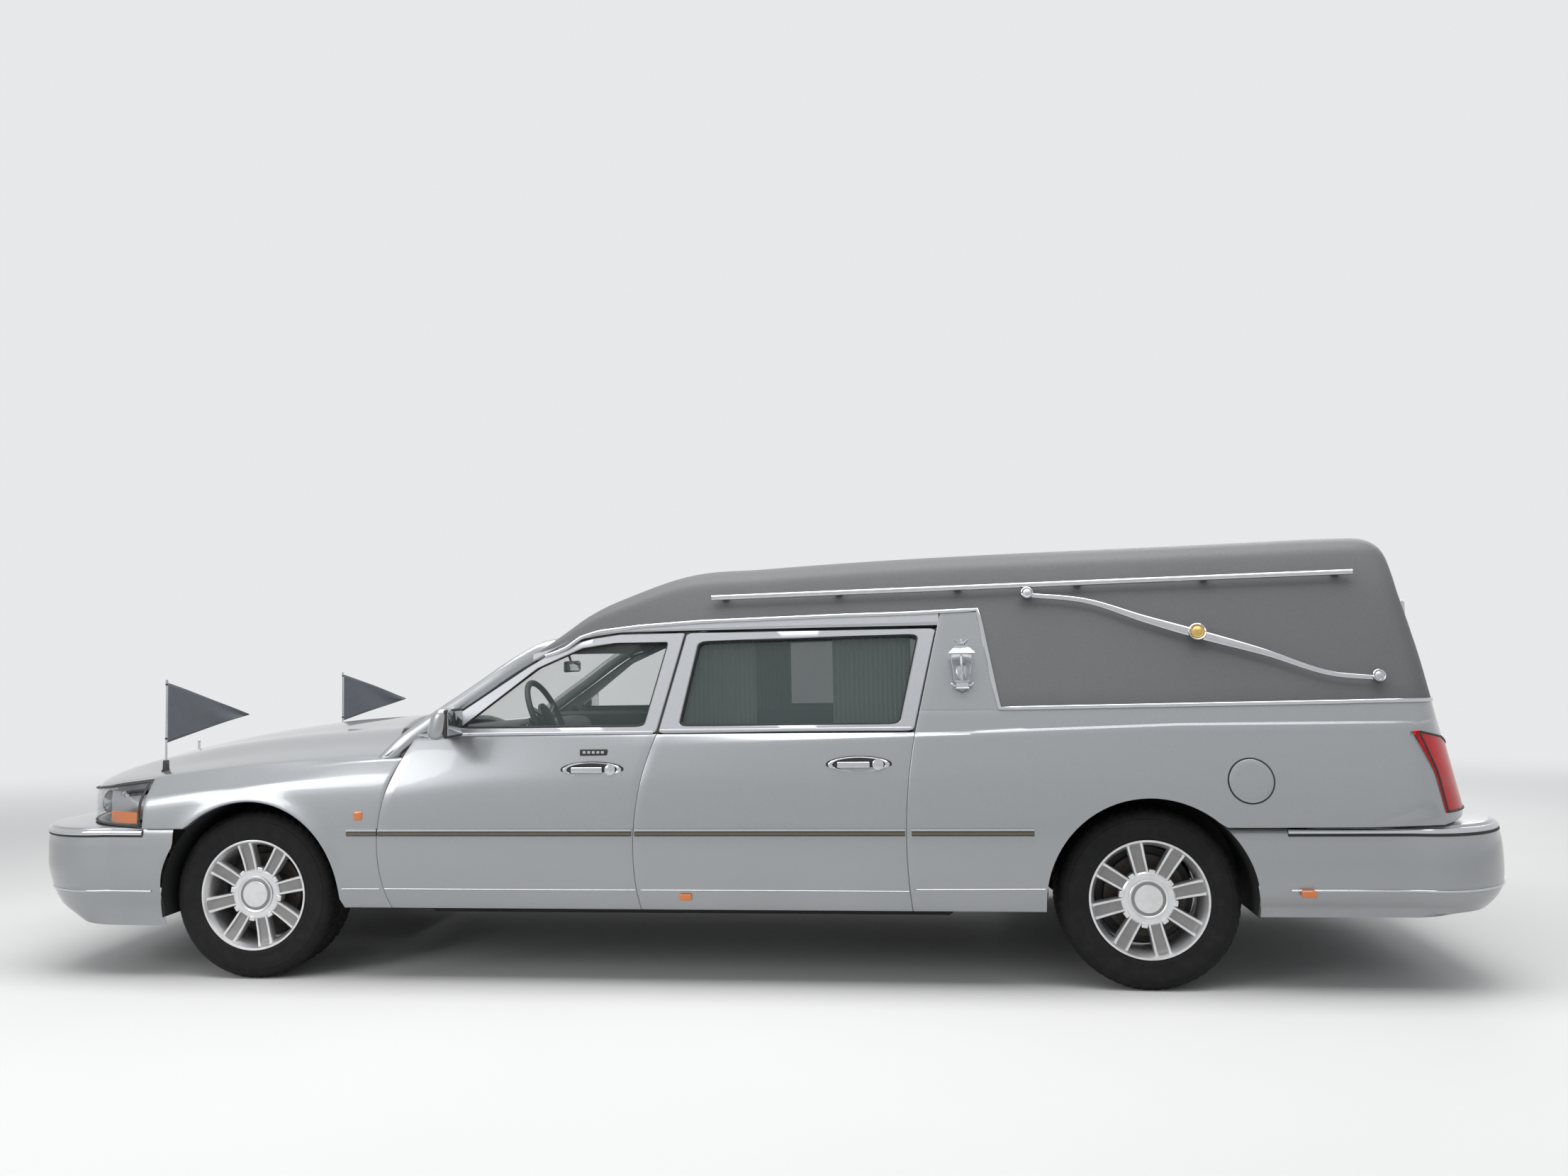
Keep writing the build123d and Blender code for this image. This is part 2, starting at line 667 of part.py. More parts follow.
# Grille: a frame of one outer size with upright bars
GRILLE_FRAME = 22.0
GRILLE_BARS = 21
GRILLE_BAR_WIDTH = 8.0
GRILLE_HEAD = 772.0
GRILLE_DEPTH = 60.0
grille_height = GRILLE_HEAD - NOSE_FLOOR - 24
with BuildPart() as grille:
    with BuildSketch(Plane.YZ.offset(FRONT_AXLE_X - 1010)):
        with Locations((0, NOSE_FLOOR + grille_height / 2)):
            Rectangle(2 * GRILLE_HALF_WIDTH, grille_height)
            Rectangle(2 * (GRILLE_HALF_WIDTH - GRILLE_FRAME), grille_height - 2 * GRILLE_FRAME,
                      mode=Mode.SUBTRACT)
    extrude(amount=GRILLE_DEPTH)
    with BuildSketch(Plane.YZ.offset(FRONT_AXLE_X - 1004)):
        spacing = 2 * (GRILLE_HALF_WIDTH - GRILLE_FRAME) / (GRILLE_BARS + 1)
        with Locations((0, NOSE_FLOOR + grille_height / 2)):
            with GridLocations(spacing, 0, GRILLE_BARS, 1):
                Rectangle(GRILLE_BAR_WIDTH, grille_height - GRILLE_FRAME)
    extrude(amount=GRILLE_DEPTH - 20)
save(grille.part, "grille")

# Bumpers: rings in plan at several heights, as height and inset from the foremost line
FRONT_BUMPER_RINGS = (
    (228, 150), (300, 48), (400, 12), (470, 0), (560, 0), (622, 6), (BUMPER_TOP, 12),
)
REAR_BUMPER_RINGS = (
    (296, 150), (306, 74), (337, 33), (388, 7), (500, 0), (613, 14), (BUMPER_TOP, 34),
)
BUMPER_SHELF = 20.0
BUMPER_SHELF_WIDTH = 75.0
BUMPER_LIP = 30.0


def bumper_plan(end, height, inset, wall):
    """Plan of a bumper at one height: bowed front, round corner, flank back to the arch."""
    tip = OVERALL_LENGTH / 2 - inset - wall
    tuck = min(inset, 40) + wall
    face = (end * (tip - 17), 600)
    corner = (end * (tip - 118), 880 - 0.7 * tuck)
    flank = (end * (OVERALL_LENGTH / 2 - 440 - wall), BODY_HALF_WIDTH - 18 - tuck)
    root = (end * (OVERALL_LENGTH / 2 - 1200), BODY_HALF_WIDTH - 1 - tuck)
    with BuildSketch(Plane.XY.offset(height)) as plan:
        with BuildLine():
            Polyline(flank, root, (root[0], -root[1]), (flank[0], -flank[1]))
            ThreePointArc((flank[0], -flank[1]), (corner[0], -corner[1]), (face[0], -face[1]))
            ThreePointArc((face[0], -face[1]), (end * tip, 0), face)
            ThreePointArc(face, corner, flank)
        make_face()
    return plan.sketch


def bumper(end, rings, axle_x, reach, shift):
    """A hollow cover open towards the car, ending at the wheel arch."""
    with BuildPart() as room:
        inner_rings = [(h, i) for h, i in rings if rings[0][0] + 30 < h < BUMPER_TOP - BUMPER_SHELF]
        low = (rings[0][0] - 10, rings[0][1] + BUMPER_LIP)
        inner_rings = [low] + inner_rings + [(BUMPER_TOP - BUMPER_SHELF, inner_rings[-1][1] + 4)]
        loft([bumper_plan(end, h, i, BUMPER_WALL) for h, i in inner_rings], ruled=True)
    with BuildPart() as cover:
        loft([bumper_plan(end, h, i, 0) for h, i in rings], ruled=True)
        add(room.part, mode=Mode.SUBTRACT)
        add(arch_space(axle_x, shift, 0), mode=Mode.SUBTRACT)
        with Locations((axle_x + end * reach, 0, 0)):
            Box(2000, 2 * WIDE, HIGH, align=(Align.MIN if end < 0 else Align.MAX, Align.CENTER, Align.MIN),
                mode=Mode.SUBTRACT)
        with BuildSketch(Plane.XY.offset(BUMPER_TOP - BUMPER_SHELF - 5)):
            add(bumper_plan(end, 0, 12, BUMPER_SHELF_WIDTH))
        extrude(amount=60, mode=Mode.SUBTRACT)
    return cover.part


save(bumper(-1, FRONT_BUMPER_RINGS, FRONT_AXLE_X, 318, ARCH_SHIFT), "front_bumper")
save(bumper(1, REAR_BUMPER_RINGS, REAR_AXLE_X, 278, 0), "rear_bumper")

# Tail lamps wrap round the rear corners; the high brake lamp sits over the loading door
TAIL_LAMP_FOOT = 690.0
TAIL_LAMP_HEAD = 996.0
TAIL_LAMP_STAND_OUT = 8.0
with BuildPart() as tail_lamps:
    with BuildPart(mode=Mode.PRIVATE) as lamp_layer:
        add(tail_slab(-TAIL_LAMP_STAND_OUT, -SEAT_GAP / 2))
    for side, word in SIDES:
        with BuildSketch(Plane.XZ.offset(-side * 700)):
            with BuildLine():
                Polyline((TAIL_X - 420, TAIL_LAMP_HEAD), (TAIL_X - 344, 975), (TAIL_X - 150, 925),
                         (TAIL_X - 60, TAIL_LAMP_FOOT), (TAIL_X - 318, TAIL_LAMP_FOOT),
                         (TAIL_X - 350, 845), close=True)
            make_face()
        extrude(amount=-side * 235)
    add(lamp_layer.part, mode=Mode.INTERSECT)
    with Locations((TAIL_X - 247, 0, (GATE_HEAD + ROOF_HEIGHT) / 2 - 15)):
        Box(60, 260, 40)
save(tail_lamps.part, "tail_lamps")

# Windshield: a bowed pane from the cowl to the roof, one sheet of glass
GLASS_FOOT = (1000.0, FRONT_AXLE_X + 560, FRONT_AXLE_X + 775, 826.0)
GLASS_TOP = (1402.0, FRONT_AXLE_X + 1150, FRONT_AXLE_X + 1220, 742.0)


def bowed_strip(height, middle_x, side_x, half_width, thickness):
    """A bowed strip in plan, of one thickness along the car."""
    with BuildSketch(Plane.XY.offset(height)) as strip:
        with BuildLine():
            ThreePointArc((side_x, -half_width), (middle_x, 0), (side_x, half_width))
            Line((side_x, half_width), (side_x + thickness, half_width))
            ThreePointArc((side_x + thickness, half_width), (middle_x + thickness, 0),
                          (side_x + thickness, -half_width))
            Line((side_x + thickness, -half_width), (side_x, -half_width))
        make_face()
    return strip.sketch


with BuildPart() as windshield:
    loft([bowed_strip(*GLASS_FOOT, 9), bowed_strip(*GLASS_TOP, 9)], ruled=True)
save(windshield.part, "windshield")

# Cowl: the panel under the windshield's foot, with two wiper arms lying on it
COWL_TOP = 985.0
# wiper pivot x from the front axle, y, and the angle of the arm that lies to its left
WIPERS = ((528, -420, 15), (504, 180, 4))
with BuildPart() as cowl:
    with BuildSketch(Plane.XY.offset(COWL_TOP - 90)):
        with BuildLine():
            ThreePointArc((FRONT_AXLE_X + 655, -835), (FRONT_AXLE_X + 440, 0), (FRONT_AXLE_X + 655, 835))
            Polyline((FRONT_AXLE_X + 655, 835), (FRONT_AXLE_X + 820, 800), (FRONT_AXLE_X + 820, -800),
                     (FRONT_AXLE_X + 655, -835))
        make_face()
    extrude(amount=90)
    for x, y, angle in WIPERS:
        with Locations((FRONT_AXLE_X + x, y, COWL_TOP)):
            Cylinder(14, 24, align=(Align.CENTER, Align.CENTER, Align.MIN))
            Box(14, 430, 10, rotation=(0, 0, angle), align=(Align.CENTER, Align.MAX, Align.MIN))
    for side, word in SIDES:
        with Locations((FRONT_AXLE_X + 652, side * 824, COWL_TOP - 48)):
            Box(28, 82, 47, align=(Align.MIN, Align.MIN if side > 0 else Align.MAX, Align.MIN))
save(cowl.part, "cowl")

# Floor pan: floor, sills, firewall, step up to the rear floor and the rear wheel houses
PAN_DOOR_GAP = 52.0
PAN_HALF_WIDTH = BODY_HALF_WIDTH - DOOR_THICKNESS - PAN_DOOR_GAP
REAR_FLOOR_HEIGHT = 560.0
STEP_X = REAR_AXLE_X - 780
FIREWALL_X = FRONT_AXLE_X + 600
PAN_REAR_X = TAIL_X - 310
WHEEL_HOUSE_HALF_WIDTH = 650.0
with BuildPart() as floor_pan:
    with BuildSketch(Plane.XZ.offset(-PAN_HALF_WIDTH)):
        with BuildLine():
            Polyline(
                (FIREWALL_X, COWL_TOP - 92),
                (FIREWALL_X, FLOOR_HEIGHT + 120),
                (FIREWALL_X + 150, FLOOR_HEIGHT),
                (STEP_X, FLOOR_HEIGHT),
                (STEP_X, REAR_FLOOR_HEIGHT),
                (PAN_REAR_X, REAR_FLOOR_HEIGHT),
                (PAN_REAR_X, REAR_FLOOR_HEIGHT + FLOOR_THICKNESS),
                (STEP_X - FLOOR_THICKNESS, REAR_FLOOR_HEIGHT + FLOOR_THICKNESS),
                (STEP_X - FLOOR_THICKNESS, FLOOR_HEIGHT + FLOOR_THICKNESS),
                (FIREWALL_X + 160, FLOOR_HEIGHT + FLOOR_THICKNESS),
                (FIREWALL_X + FLOOR_THICKNESS, FLOOR_HEIGHT + 132),
                (FIREWALL_X + FLOOR_THICKNESS, COWL_TOP - 92),
                close=True,
            )
        make_face()
    extrude(amount=2 * PAN_HALF_WIDTH)
    for side, word in SIDES:
        with Locations((FIREWALL_X + 100, side * (PAN_HALF_WIDTH - 35), FLOOR_HEIGHT + 10)):
            Box(STEP_X - FIREWALL_X - 90, 70, 90, align=(Align.MIN, Align.CENTER, Align.MIN))
        with Locations((REAR_AXLE_X, side * WIDE, REAR_FLOOR_HEIGHT)):
            Box(900, 2 * (WIDE - WHEEL_HOUSE_HALF_WIDTH), 200, mode=Mode.SUBTRACT)
        with BuildSketch(Plane.XZ.offset(-side * WHEEL_HOUSE_HALF_WIDTH)):
            with Locations((REAR_AXLE_X, HUB_HEIGHT)):
                Ellipse(ARCH_HALF_LENGTH + 60, ARCH_RISE + 20)
                Ellipse(ARCH_HALF_LENGTH + 46, ARCH_RISE + 6, mode=Mode.SUBTRACT)
                with Locations((0, -300)):
                    Rectangle(1200, 2 * 360, mode=Mode.SUBTRACT)
        extrude(amount=-side * (PAN_HALF_WIDTH - WHEEL_HOUSE_HALF_WIDTH))
        with BuildSketch(Plane.XZ.offset(-side * (WHEEL_HOUSE_HALF_WIDTH - 8))):
            with Locations((REAR_AXLE_X, HUB_HEIGHT)):
                Ellipse(ARCH_HALF_LENGTH + 60, ARCH_RISE + 20)
                with Locations((0, -300)):
                    Rectangle(1200, 2 * 360, mode=Mode.SUBTRACT)
        extrude(amount=-side * 10)
save(floor_pan.part, "floor_pan")

# Engine bay: liners over the front wheels, aprons beside the engine, radiator support
LINER_HALF_WIDTH = 500.0
LINER_FLANK_GAP = 106.0
LINER_OUTER_HALF_WIDTH = BODY_HALF_WIDTH - LINER_FLANK_GAP
LINER_HALF_LENGTH = 422.0
LINER_RISE = 424.0
with BuildPart() as engine_bay:
    for side, word in SIDES:
        with BuildSketch(Plane.XZ.offset(-side * LINER_HALF_WIDTH)):
            with Locations((FRONT_AXLE_X + 15, HUB_HEIGHT)):
                Ellipse(LINER_HALF_LENGTH + 12, LINER_RISE + 12)
                Ellipse(LINER_HALF_LENGTH, LINER_RISE, mode=Mode.SUBTRACT)
                with Locations((0, -240)):
                    Rectangle(1200, 2 * 360, mode=Mode.SUBTRACT)
        extrude(amount=-side * (LINER_OUTER_HALF_WIDTH - LINER_HALF_WIDTH))
        with BuildSketch(Plane.XZ.offset(-side * (LINER_HALF_WIDTH - 12))):
            with BuildLine():
                Polyline((FRONT_AXLE_X - 640, 470), (FRONT_AXLE_X + 590, 470), (FRONT_AXLE_X + 590, 850),
                         (FRONT_AXLE_X - 300, 790), (FRONT_AXLE_X - 640, 700), close=True)
            make_face()
        extrude(amount=-side * 14)
    with Locations((FRONT_AXLE_X - 625, 0, 432)):
        Box(40, 2 * LINER_HALF_WIDTH, 260, align=(Align.CENTER, Align.CENTER, Align.MIN))
save(engine_bay.part, "engine_bay")

with BuildPart() as engine_block:
    with Locations((FRONT_AXLE_X + 90, 0, 338)):
        Box(620, 480, 440, align=(Align.CENTER, Align.CENTER, Align.MIN))
save(engine_block.part, "engine_block")

# Chassis frame: two rails that rise over the axles, joined by cross members
RAIL_Y = 430.0
RAIL_WIDTH = 70.0
RAIL_DEPTH = 100.0
RAIL_LINE = (
    (FRONT_AXLE_X - 760, 330), (FRONT_AXLE_X + 420, 330), (FRONT_AXLE_X + 620, 190),
    (REAR_AXLE_X - 760, 190), (REAR_AXLE_X - 420, 440), (REAR_AXLE_X + 420, 440),
    (REAR_AXLE_X + 700, 400), (TAIL_X - 200, 400),
)
CROSS_MEMBERS = (
    (FRONT_AXLE_X - 720, 330), (FRONT_AXLE_X - 40, 240), (FRONT_AXLE_X + 900, 196),
    (REAR_AXLE_X - 1500, 196), (REAR_AXLE_X - 800, 196), (REAR_AXLE_X + 760, 406),
)
with BuildPart() as chassis_frame:
    for side, word in SIDES:
        with BuildSketch(Plane.XZ.offset(-side * RAIL_Y + RAIL_WIDTH / 2)):
            with BuildLine():
                Polyline([*RAIL_LINE, *[(x, z + RAIL_DEPTH) for x, z in reversed(RAIL_LINE)]], close=True)
            make_face()
        extrude(amount=-RAIL_WIDTH)
    for x, z in CROSS_MEMBERS:
        with Locations((x, 0, z)):
            Box(90, 2 * RAIL_Y, RAIL_DEPTH - 6, align=(Align.CENTER, Align.CENTER, Align.MIN))
save(chassis_frame.part, "chassis_frame")

# Wheels: a tyre ring and a rim with eight spokes, turning about the car's Y direction
SIDEWALL_FOOT = 96.0
SIDEWALL_HEAD_RADIUS = 312.0
BEAD_RADIUS = 216.0
RIM_THICKNESS = 9.0
SPOKE_FACE = 84.0
SPOKE_TIP_WIDTH = 66.0
HUB_RADIUS = 70.0
HUB_INNER = 30.0
DISC_INNER = -18.0


def across_wheel(x):
    """Plane through an axle, facing rearwards: local x is +Y and local y is +Z."""
    return Plane(origin=(x, 0, HUB_HEIGHT), x_dir=(0, 1, 0), z_dir=(1, 0, 0))


def wheel_face(x, side, out):
    """Plane over a wheel's outer face, at a distance outside the wheel's middle."""
    return Plane(origin=(x, side * (WHEEL_Y + out), HUB_HEIGHT), x_dir=(1, 0, 0), z_dir=(0, side, 0))


def ring(x, side, profile):
    """A profile of (distance outside the wheel's middle, radius) revolved about the axle."""
    with BuildPart() as turned:
        with BuildSketch(across_wheel(x)):
            with BuildLine():
                Polyline([(side * (WHEEL_Y + out), radius) for out, radius in profile], close=True)
            make_face()
        revolve(axis=Axis((x, 0, HUB_HEIGHT), (0, 1, 0)))
    return turned.part


def tyre(x, side):
    """A ring with leaning sidewalls, chamfered shoulders and a flat tread."""
    half = TYRE_WIDTH / 2
    tread = half - TYRE_SHOULDER
    return ring(x, side, (
        (-SIDEWALL_FOOT, BEAD_RADIUS),
        (SIDEWALL_FOOT, BEAD_RADIUS),
        (half, SIDEWALL_HEAD_RADIUS),
        (tread, TYRE_RADIUS),
        (-tread, TYRE_RADIUS),
        (-half, SIDEWALL_HEAD_RADIUS),
    ))


def rim(x, side):
    """Barrel, eight straight spokes, hub with its cap, and the brake disc behind them."""
    seat = BEAD_RADIUS - 0.5
    lip = SIDEWALL_FOOT + RIM_LIP
    barrel = (
        (-SIDEWALL_FOOT, seat),
        (-SIDEWALL_FOOT, seat - RIM_THICKNESS),
        (SIDEWALL_FOOT - 10, seat - RIM_THICKNESS),
        (lip, RIM_RADIUS - 12),
        (lip, RIM_RADIUS),
        (SIDEWALL_FOOT + 4, RIM_RADIUS),
        (SIDEWALL_FOOT + 4, seat),
    )
    hub = (
        (DISC_INNER, HUB_BORE_RADIUS + SPINDLE_CLEARANCE),
        (DISC_INNER, BRAKE_DISC_RADIUS),
        (DISC_INNER + BRAKE_DISC_THICKNESS, BRAKE_DISC_RADIUS),
        (DISC_INNER + BRAKE_DISC_THICKNESS, HUB_RADIUS),
        (SPOKE_FACE, HUB_RADIUS),
        (SPOKE_FACE + 8, HUB_CAP_RADIUS - 18),
        (SPOKE_FACE + 8, 0),
        (HUB_INNER, 0),
        (HUB_INNER, HUB_BORE_RADIUS + SPINDLE_CLEARANCE),
    )
    with BuildPart() as cast:
        add(ring(x, side, barrel))
        add(ring(x, side, hub))
        with BuildSketch(wheel_face(x, side, SPOKE_FACE)):
            for number in range(SPOKE_COUNT):
                angle = -side * (SPOKE_START_ANGLE + number * 360 / SPOKE_COUNT)
                with Locations(Rotation(0, 0, angle)):
                    with Locations((HUB_RADIUS - 12, 0)):
                        Trapezoid(SPOKE_TIP_WIDTH, seat - HUB_RADIUS + 8, 90 - 2.2, rotation=90,
                                  align=(Align.CENTER, Align.MAX))
        extrude(amount=-SPOKE_DEPTH)
    return cast.part


AXLES = (("front", FRONT_AXLE_X), ("rear", REAR_AXLE_X))
for place, x in AXLES:
    for side, word in SIDES:
        save(tyre(x, side), "tyre_" + place + "_" + word)
        save(rim(x, side), "rim_" + place + "_" + word)

# Steering knuckles: an upright inside the wheel, its spindle and a steering arm
KNUCKLE_HALF_HEIGHT = 125.0
KNUCKLE_THICKNESS = 36.0
SPINDLE_REACH = 20.0
DISC_GAP = 8.0
for side, word in SIDES:
    with BuildPart() as knuckle:
        upright_y = side * (WHEEL_Y + DISC_INNER - DISC_GAP - KNUCKLE_THICKNESS / 2)
        with Locations((FRONT_AXLE_X, upright_y, HUB_HEIGHT)):
            Box(70, KNUCKLE_THICKNESS, 2 * KNUCKLE_HALF_HEIGHT)
        with Locations((FRONT_AXLE_X + 75, upright_y - side * 12, HUB_HEIGHT - 60)):
            Box(120, 24, 30)
        with BuildSketch(Plane.XZ.offset(-upright_y)):
            with Locations((FRONT_AXLE_X, HUB_HEIGHT)):
                Circle(HUB_BORE_RADIUS)
        extrude(amount=-side * (abs(WHEEL_Y + SPINDLE_REACH) - abs(upright_y)))
    save(knuckle.part, "knuckle_" + word)

# Front suspension: lower and upper arms from the frame to beside the knuckles
ARM_END_Y = WHEEL_Y + DISC_INNER - DISC_GAP - KNUCKLE_THICKNESS - 24
with BuildPart() as front_suspension:
    for side, word in SIDES:
        for z, root_y in ((HUB_HEIGHT - KNUCKLE_HALF_HEIGHT, RAIL_Y + 3), (466, LINER_HALF_WIDTH + 4)):
            with BuildSketch(Plane.XY.offset(z)):
                with BuildLine():
                    Polyline(
                        (FRONT_AXLE_X - 150, side * root_y),
                        (FRONT_AXLE_X + 150, side * root_y),
                        (FRONT_AXLE_X + 34, side * ARM_END_Y),
                        (FRONT_AXLE_X - 34, side * ARM_END_Y),
                        close=True,
                    )
                make_face()
            extrude(amount=24)
save(front_suspension.part, "front_suspension")

# Rear axle: a tube with the differential, spring perches and the ends inside the hubs
AXLE_TUBE_RADIUS = 38.0
with BuildPart() as rear_axle:
    end = WHEEL_Y + DISC_INNER - DISC_GAP
    with BuildSketch(Plane.XZ.offset(-end)):
        with Locations((REAR_AXLE_X, HUB_HEIGHT)):
            Circle(AXLE_TUBE_RADIUS)
    extrude(amount=2 * end)
    with BuildSketch(Plane.XZ.offset(-WHEEL_Y - SPINDLE_REACH)):
        with Locations((REAR_AXLE_X, HUB_HEIGHT)):
            Circle(HUB_BORE_RADIUS)
    extrude(amount=2 * (WHEEL_Y + SPINDLE_REACH))
    with Locations((REAR_AXLE_X, 0, HUB_HEIGHT)):
        Cylinder(115, 150, rotation=(90, 0, 0))
    for side, word in SIDES:
        with Locations((REAR_AXLE_X, side * RAIL_Y, HUB_HEIGHT + 20)):
            Box(110, 60, 70, align=(Align.CENTER, Align.CENTER, Align.MIN))
save(rear_axle.part, "rear_axle")

# Exhaust: a pipe under the floor to a silencer and a tail pipe; the fuel tank behind the axle
with BuildPart() as exhaust:
    with BuildLine() as pipe_line:
        FilletPolyline(
            (FRONT_AXLE_X + 480, 250, 290),
            (FRONT_AXLE_X + 720, 250, 156),
            (REAR_AXLE_X - 700, 250, 156),
            radius=300,
        )
    with BuildSketch(Plane(origin=pipe_line.line @ 0, z_dir=pipe_line.line % 0)):
        Circle(28)
    sweep(path=pipe_line.line)
    with Locations((REAR_AXLE_X - 700, 250, 154)):
        Box(560, 210, 74, align=(Align.MAX, Align.CENTER, Align.CENTER))
save(exhaust.part, "exhaust")

with BuildPart() as fuel_tank:
    with Locations((REAR_AXLE_X + 300, 0, 300)):
        Box(400, 760, 230, align=(Align.MIN, Align.CENTER, Align.MIN))
save(fuel_tank.part, "fuel_tank")

# Dashboard with the steering column, its outline in side view carried across the car
DASH_HALF_WIDTH = 700.0
WHEEL_CENTRE = (FRONT_AXLE_X + 1112, -370.0, 1052.0)
COLUMN_TILT = 24.0
STEERING_RADIUS = 190.0
STEERING_RIM = 15.0
with BuildPart() as dashboard:
    with BuildSketch(Plane.XZ.offset(-DASH_HALF_WIDTH)):
        with BuildLine():
            Polyline(
                (FRONT_AXLE_X + 826, 985),
                (FRONT_AXLE_X + 900, 1012),
                (FRONT_AXLE_X + 1010, 1008),
                (FRONT_AXLE_X + 1040, 940),
                (FRONT_AXLE_X + 1000, 700),
                (FRONT_AXLE_X + 900, 640),
                (FRONT_AXLE_X + 826, 680),
                close=True,
            )
        make_face()
    extrude(amount=2 * DASH_HALF_WIDTH)
    with Locations((FRONT_AXLE_X + 990, WHEEL_CENTRE[1], 1005)):
        Box(110, 300, 62)
    column_plane = Plane(
        origin=WHEEL_CENTRE,
        z_dir=(-math.cos(math.radians(COLUMN_TILT)), 0, -math.sin(math.radians(COLUMN_TILT))),
    )
    with BuildSketch(column_plane.offset(34)):
        Circle(36)
    extrude(amount=120)
save(dashboard.part, "dashboard")

with BuildPart() as steering_wheel:
    with BuildSketch(Plane(origin=WHEEL_CENTRE, x_dir=column_plane.x_dir, z_dir=column_plane.y_dir)):
        with Locations((STEERING_RADIUS - STEERING_RIM, 0)):
            RegularPolygon(STEERING_RIM, 8)
    revolve(axis=Axis(WHEEL_CENTRE, column_plane.z_dir))
    with BuildSketch(column_plane.offset(-14)):
        RectangleRounded(130, 150, 30)
        for angle in (20, 160, 215, 325):
            with Locations(Rotation(0, 0, angle)):
                with Locations((110, 0)):
                    Rectangle(140, 30)
    extrude(amount=28)
save(steering_wheel.part, "steering_wheel")

# Front seat: one bench with a leaning back and two head rests
SEAT_FRONT_X = FRONT_AXLE_X + 1240
SEAT_HALF_WIDTH = 660.0
with BuildPart() as front_seat:
    with BuildSketch(Plane.XZ.offset(-SEAT_HALF_WIDTH)):
        with BuildLine():
            Polyline(
                (SEAT_FRONT_X, FLOOR_HEIGHT + FLOOR_THICKNESS + SEAT_GAP),
                (SEAT_FRONT_X - 30, 590),
                (SEAT_FRONT_X + 30, 625),
                (SEAT_FRONT_X + 430, 590),
                (SEAT_FRONT_X + 560, 1060),
                (SEAT_FRONT_X + 660, 1050),
                (SEAT_FRONT_X + 570, FLOOR_HEIGHT + FLOOR_THICKNESS + SEAT_GAP),
                close=True,
            )
        make_face()
    extrude(amount=2 * SEAT_HALF_WIDTH)
    for side, word in SIDES:
        with Locations((SEAT_FRONT_X + 618, side * 370, 1045)):
            Box(80, 260, 190, align=(Align.CENTER, Align.CENTER, Align.MIN))
save(front_seat.part, "front_seat")

# Casket deck: a long table with rollers across it, on side skirts
DECK_FRONT_X = SEAT_FRONT_X + 720
DECK_REAR_X = TAIL_X - 300
DECK_HALF_WIDTH = 560.0
DECK_BOARD = 24.0
ROLLER_RADIUS = 22.0
ROLLERS = 7
deck_length = DECK_REAR_X - DECK_FRONT_X
side_board_depth = DECK_HEIGHT - DECK_BOARD - FLOOR_HEIGHT - FLOOR_THICKNESS - SEAT_GAP
with BuildPart() as casket_deck:
    with Locations((DECK_FRONT_X, 0, DECK_HEIGHT)):
        Box(deck_length, 2 * DECK_HALF_WIDTH, DECK_BOARD, align=(Align.MIN, Align.CENTER, Align.MAX))
    for side, word in SIDES:
        with Locations((DECK_FRONT_X, side * (DECK_HALF_WIDTH - 15), DECK_HEIGHT - DECK_BOARD)):
            Box(STEP_X - FLOOR_THICKNESS - SEAT_GAP - DECK_FRONT_X, 30, side_board_depth,
                align=(Align.MIN, Align.CENTER, Align.MAX))
    with Locations((STEP_X, 0, REAR_FLOOR_HEIGHT + FLOOR_THICKNESS + SEAT_GAP)):
        Box(DECK_REAR_X - STEP_X, 900, DECK_HEIGHT - REAR_FLOOR_HEIGHT - FLOOR_THICKNESS - 10,
            align=(Align.MIN, Align.CENTER, Align.MIN))
    for number in range(ROLLERS):
        x = DECK_FRONT_X + (number + 0.5) * deck_length / ROLLERS
        with Locations((x, 0, DECK_HEIGHT + 10)):
            Cylinder(ROLLER_RADIUS, 700, rotation=(90, 0, 0))
save(casket_deck.part, "casket_deck")

# Curtains inside the rear door windows: one pleated panel at each end of each window
CURTAIN_WIDTH = 170.0
CURTAIN_DEPTH = 26.0
CURTAIN_FOOT = BELT_HEIGHT + 10
CURTAIN_HEAD = DOOR_TOP - 4
# front edge of each curtain, x from the front axle
CURTAIN_STARTS = (1945, 2605)
with BuildPart() as curtains:
    for side, word in SIDES:
        for x in CURTAIN_STARTS:
            with BuildSketch(Plane.XZ.offset(-side * 690)):
                with BuildLine():
                    Polyline((FRONT_AXLE_X + x, CURTAIN_FOOT), (FRONT_AXLE_X + x + CURTAIN_WIDTH, CURTAIN_FOOT),
                             (FRONT_AXLE_X + x + CURTAIN_WIDTH, CURTAIN_HEAD),
                             (FRONT_AXLE_X + x, CURTAIN_HEAD), close=True)
                make_face()
            extrude(amount=-side * CURTAIN_DEPTH)
save(curtains.part, "curtains")

# Landau bars, coach lamps and roof rails on both sides
TRIM_GAP = 0.4
LANDAU_POINTS = ((3259, 1550), (3500, 1518), (3720, 1440), (3913, 1378), (4160, 1302), (4400, 1216),
                 (4570, 1197))
LANDAU_BAR_RADIUS = 11.0
LANDAU_STAND_OFF = 26.0
LANDAU_BOSS_RADIUS = 36.0
LANDAU_END_RADIUS = 25.0


def side_half_width(height):
    """Half width of the rear quarter's leaning side at a height above the belt."""
    belt = CABIN_STATIONS[-1][1] + 8
    lean = (BELT_HALF_WIDTH - ROOF_EDGE_HALF_WIDTH) / (DOOR_TOP - belt)
    if height <= DOOR_TOP:
        return BELT_HALF_WIDTH - lean * (height - belt)
    return ROOF_EDGE_HALF_WIDTH - 2 - 0.3 * (height - DOOR_TOP - PANEL_GAP)


def on_side(side, x, height, out=0.0):
    """A point on the leaning side, x from the front axle, a distance outside it."""
    return (FRONT_AXLE_X + x, side * (side_half_width(height) + out), height)


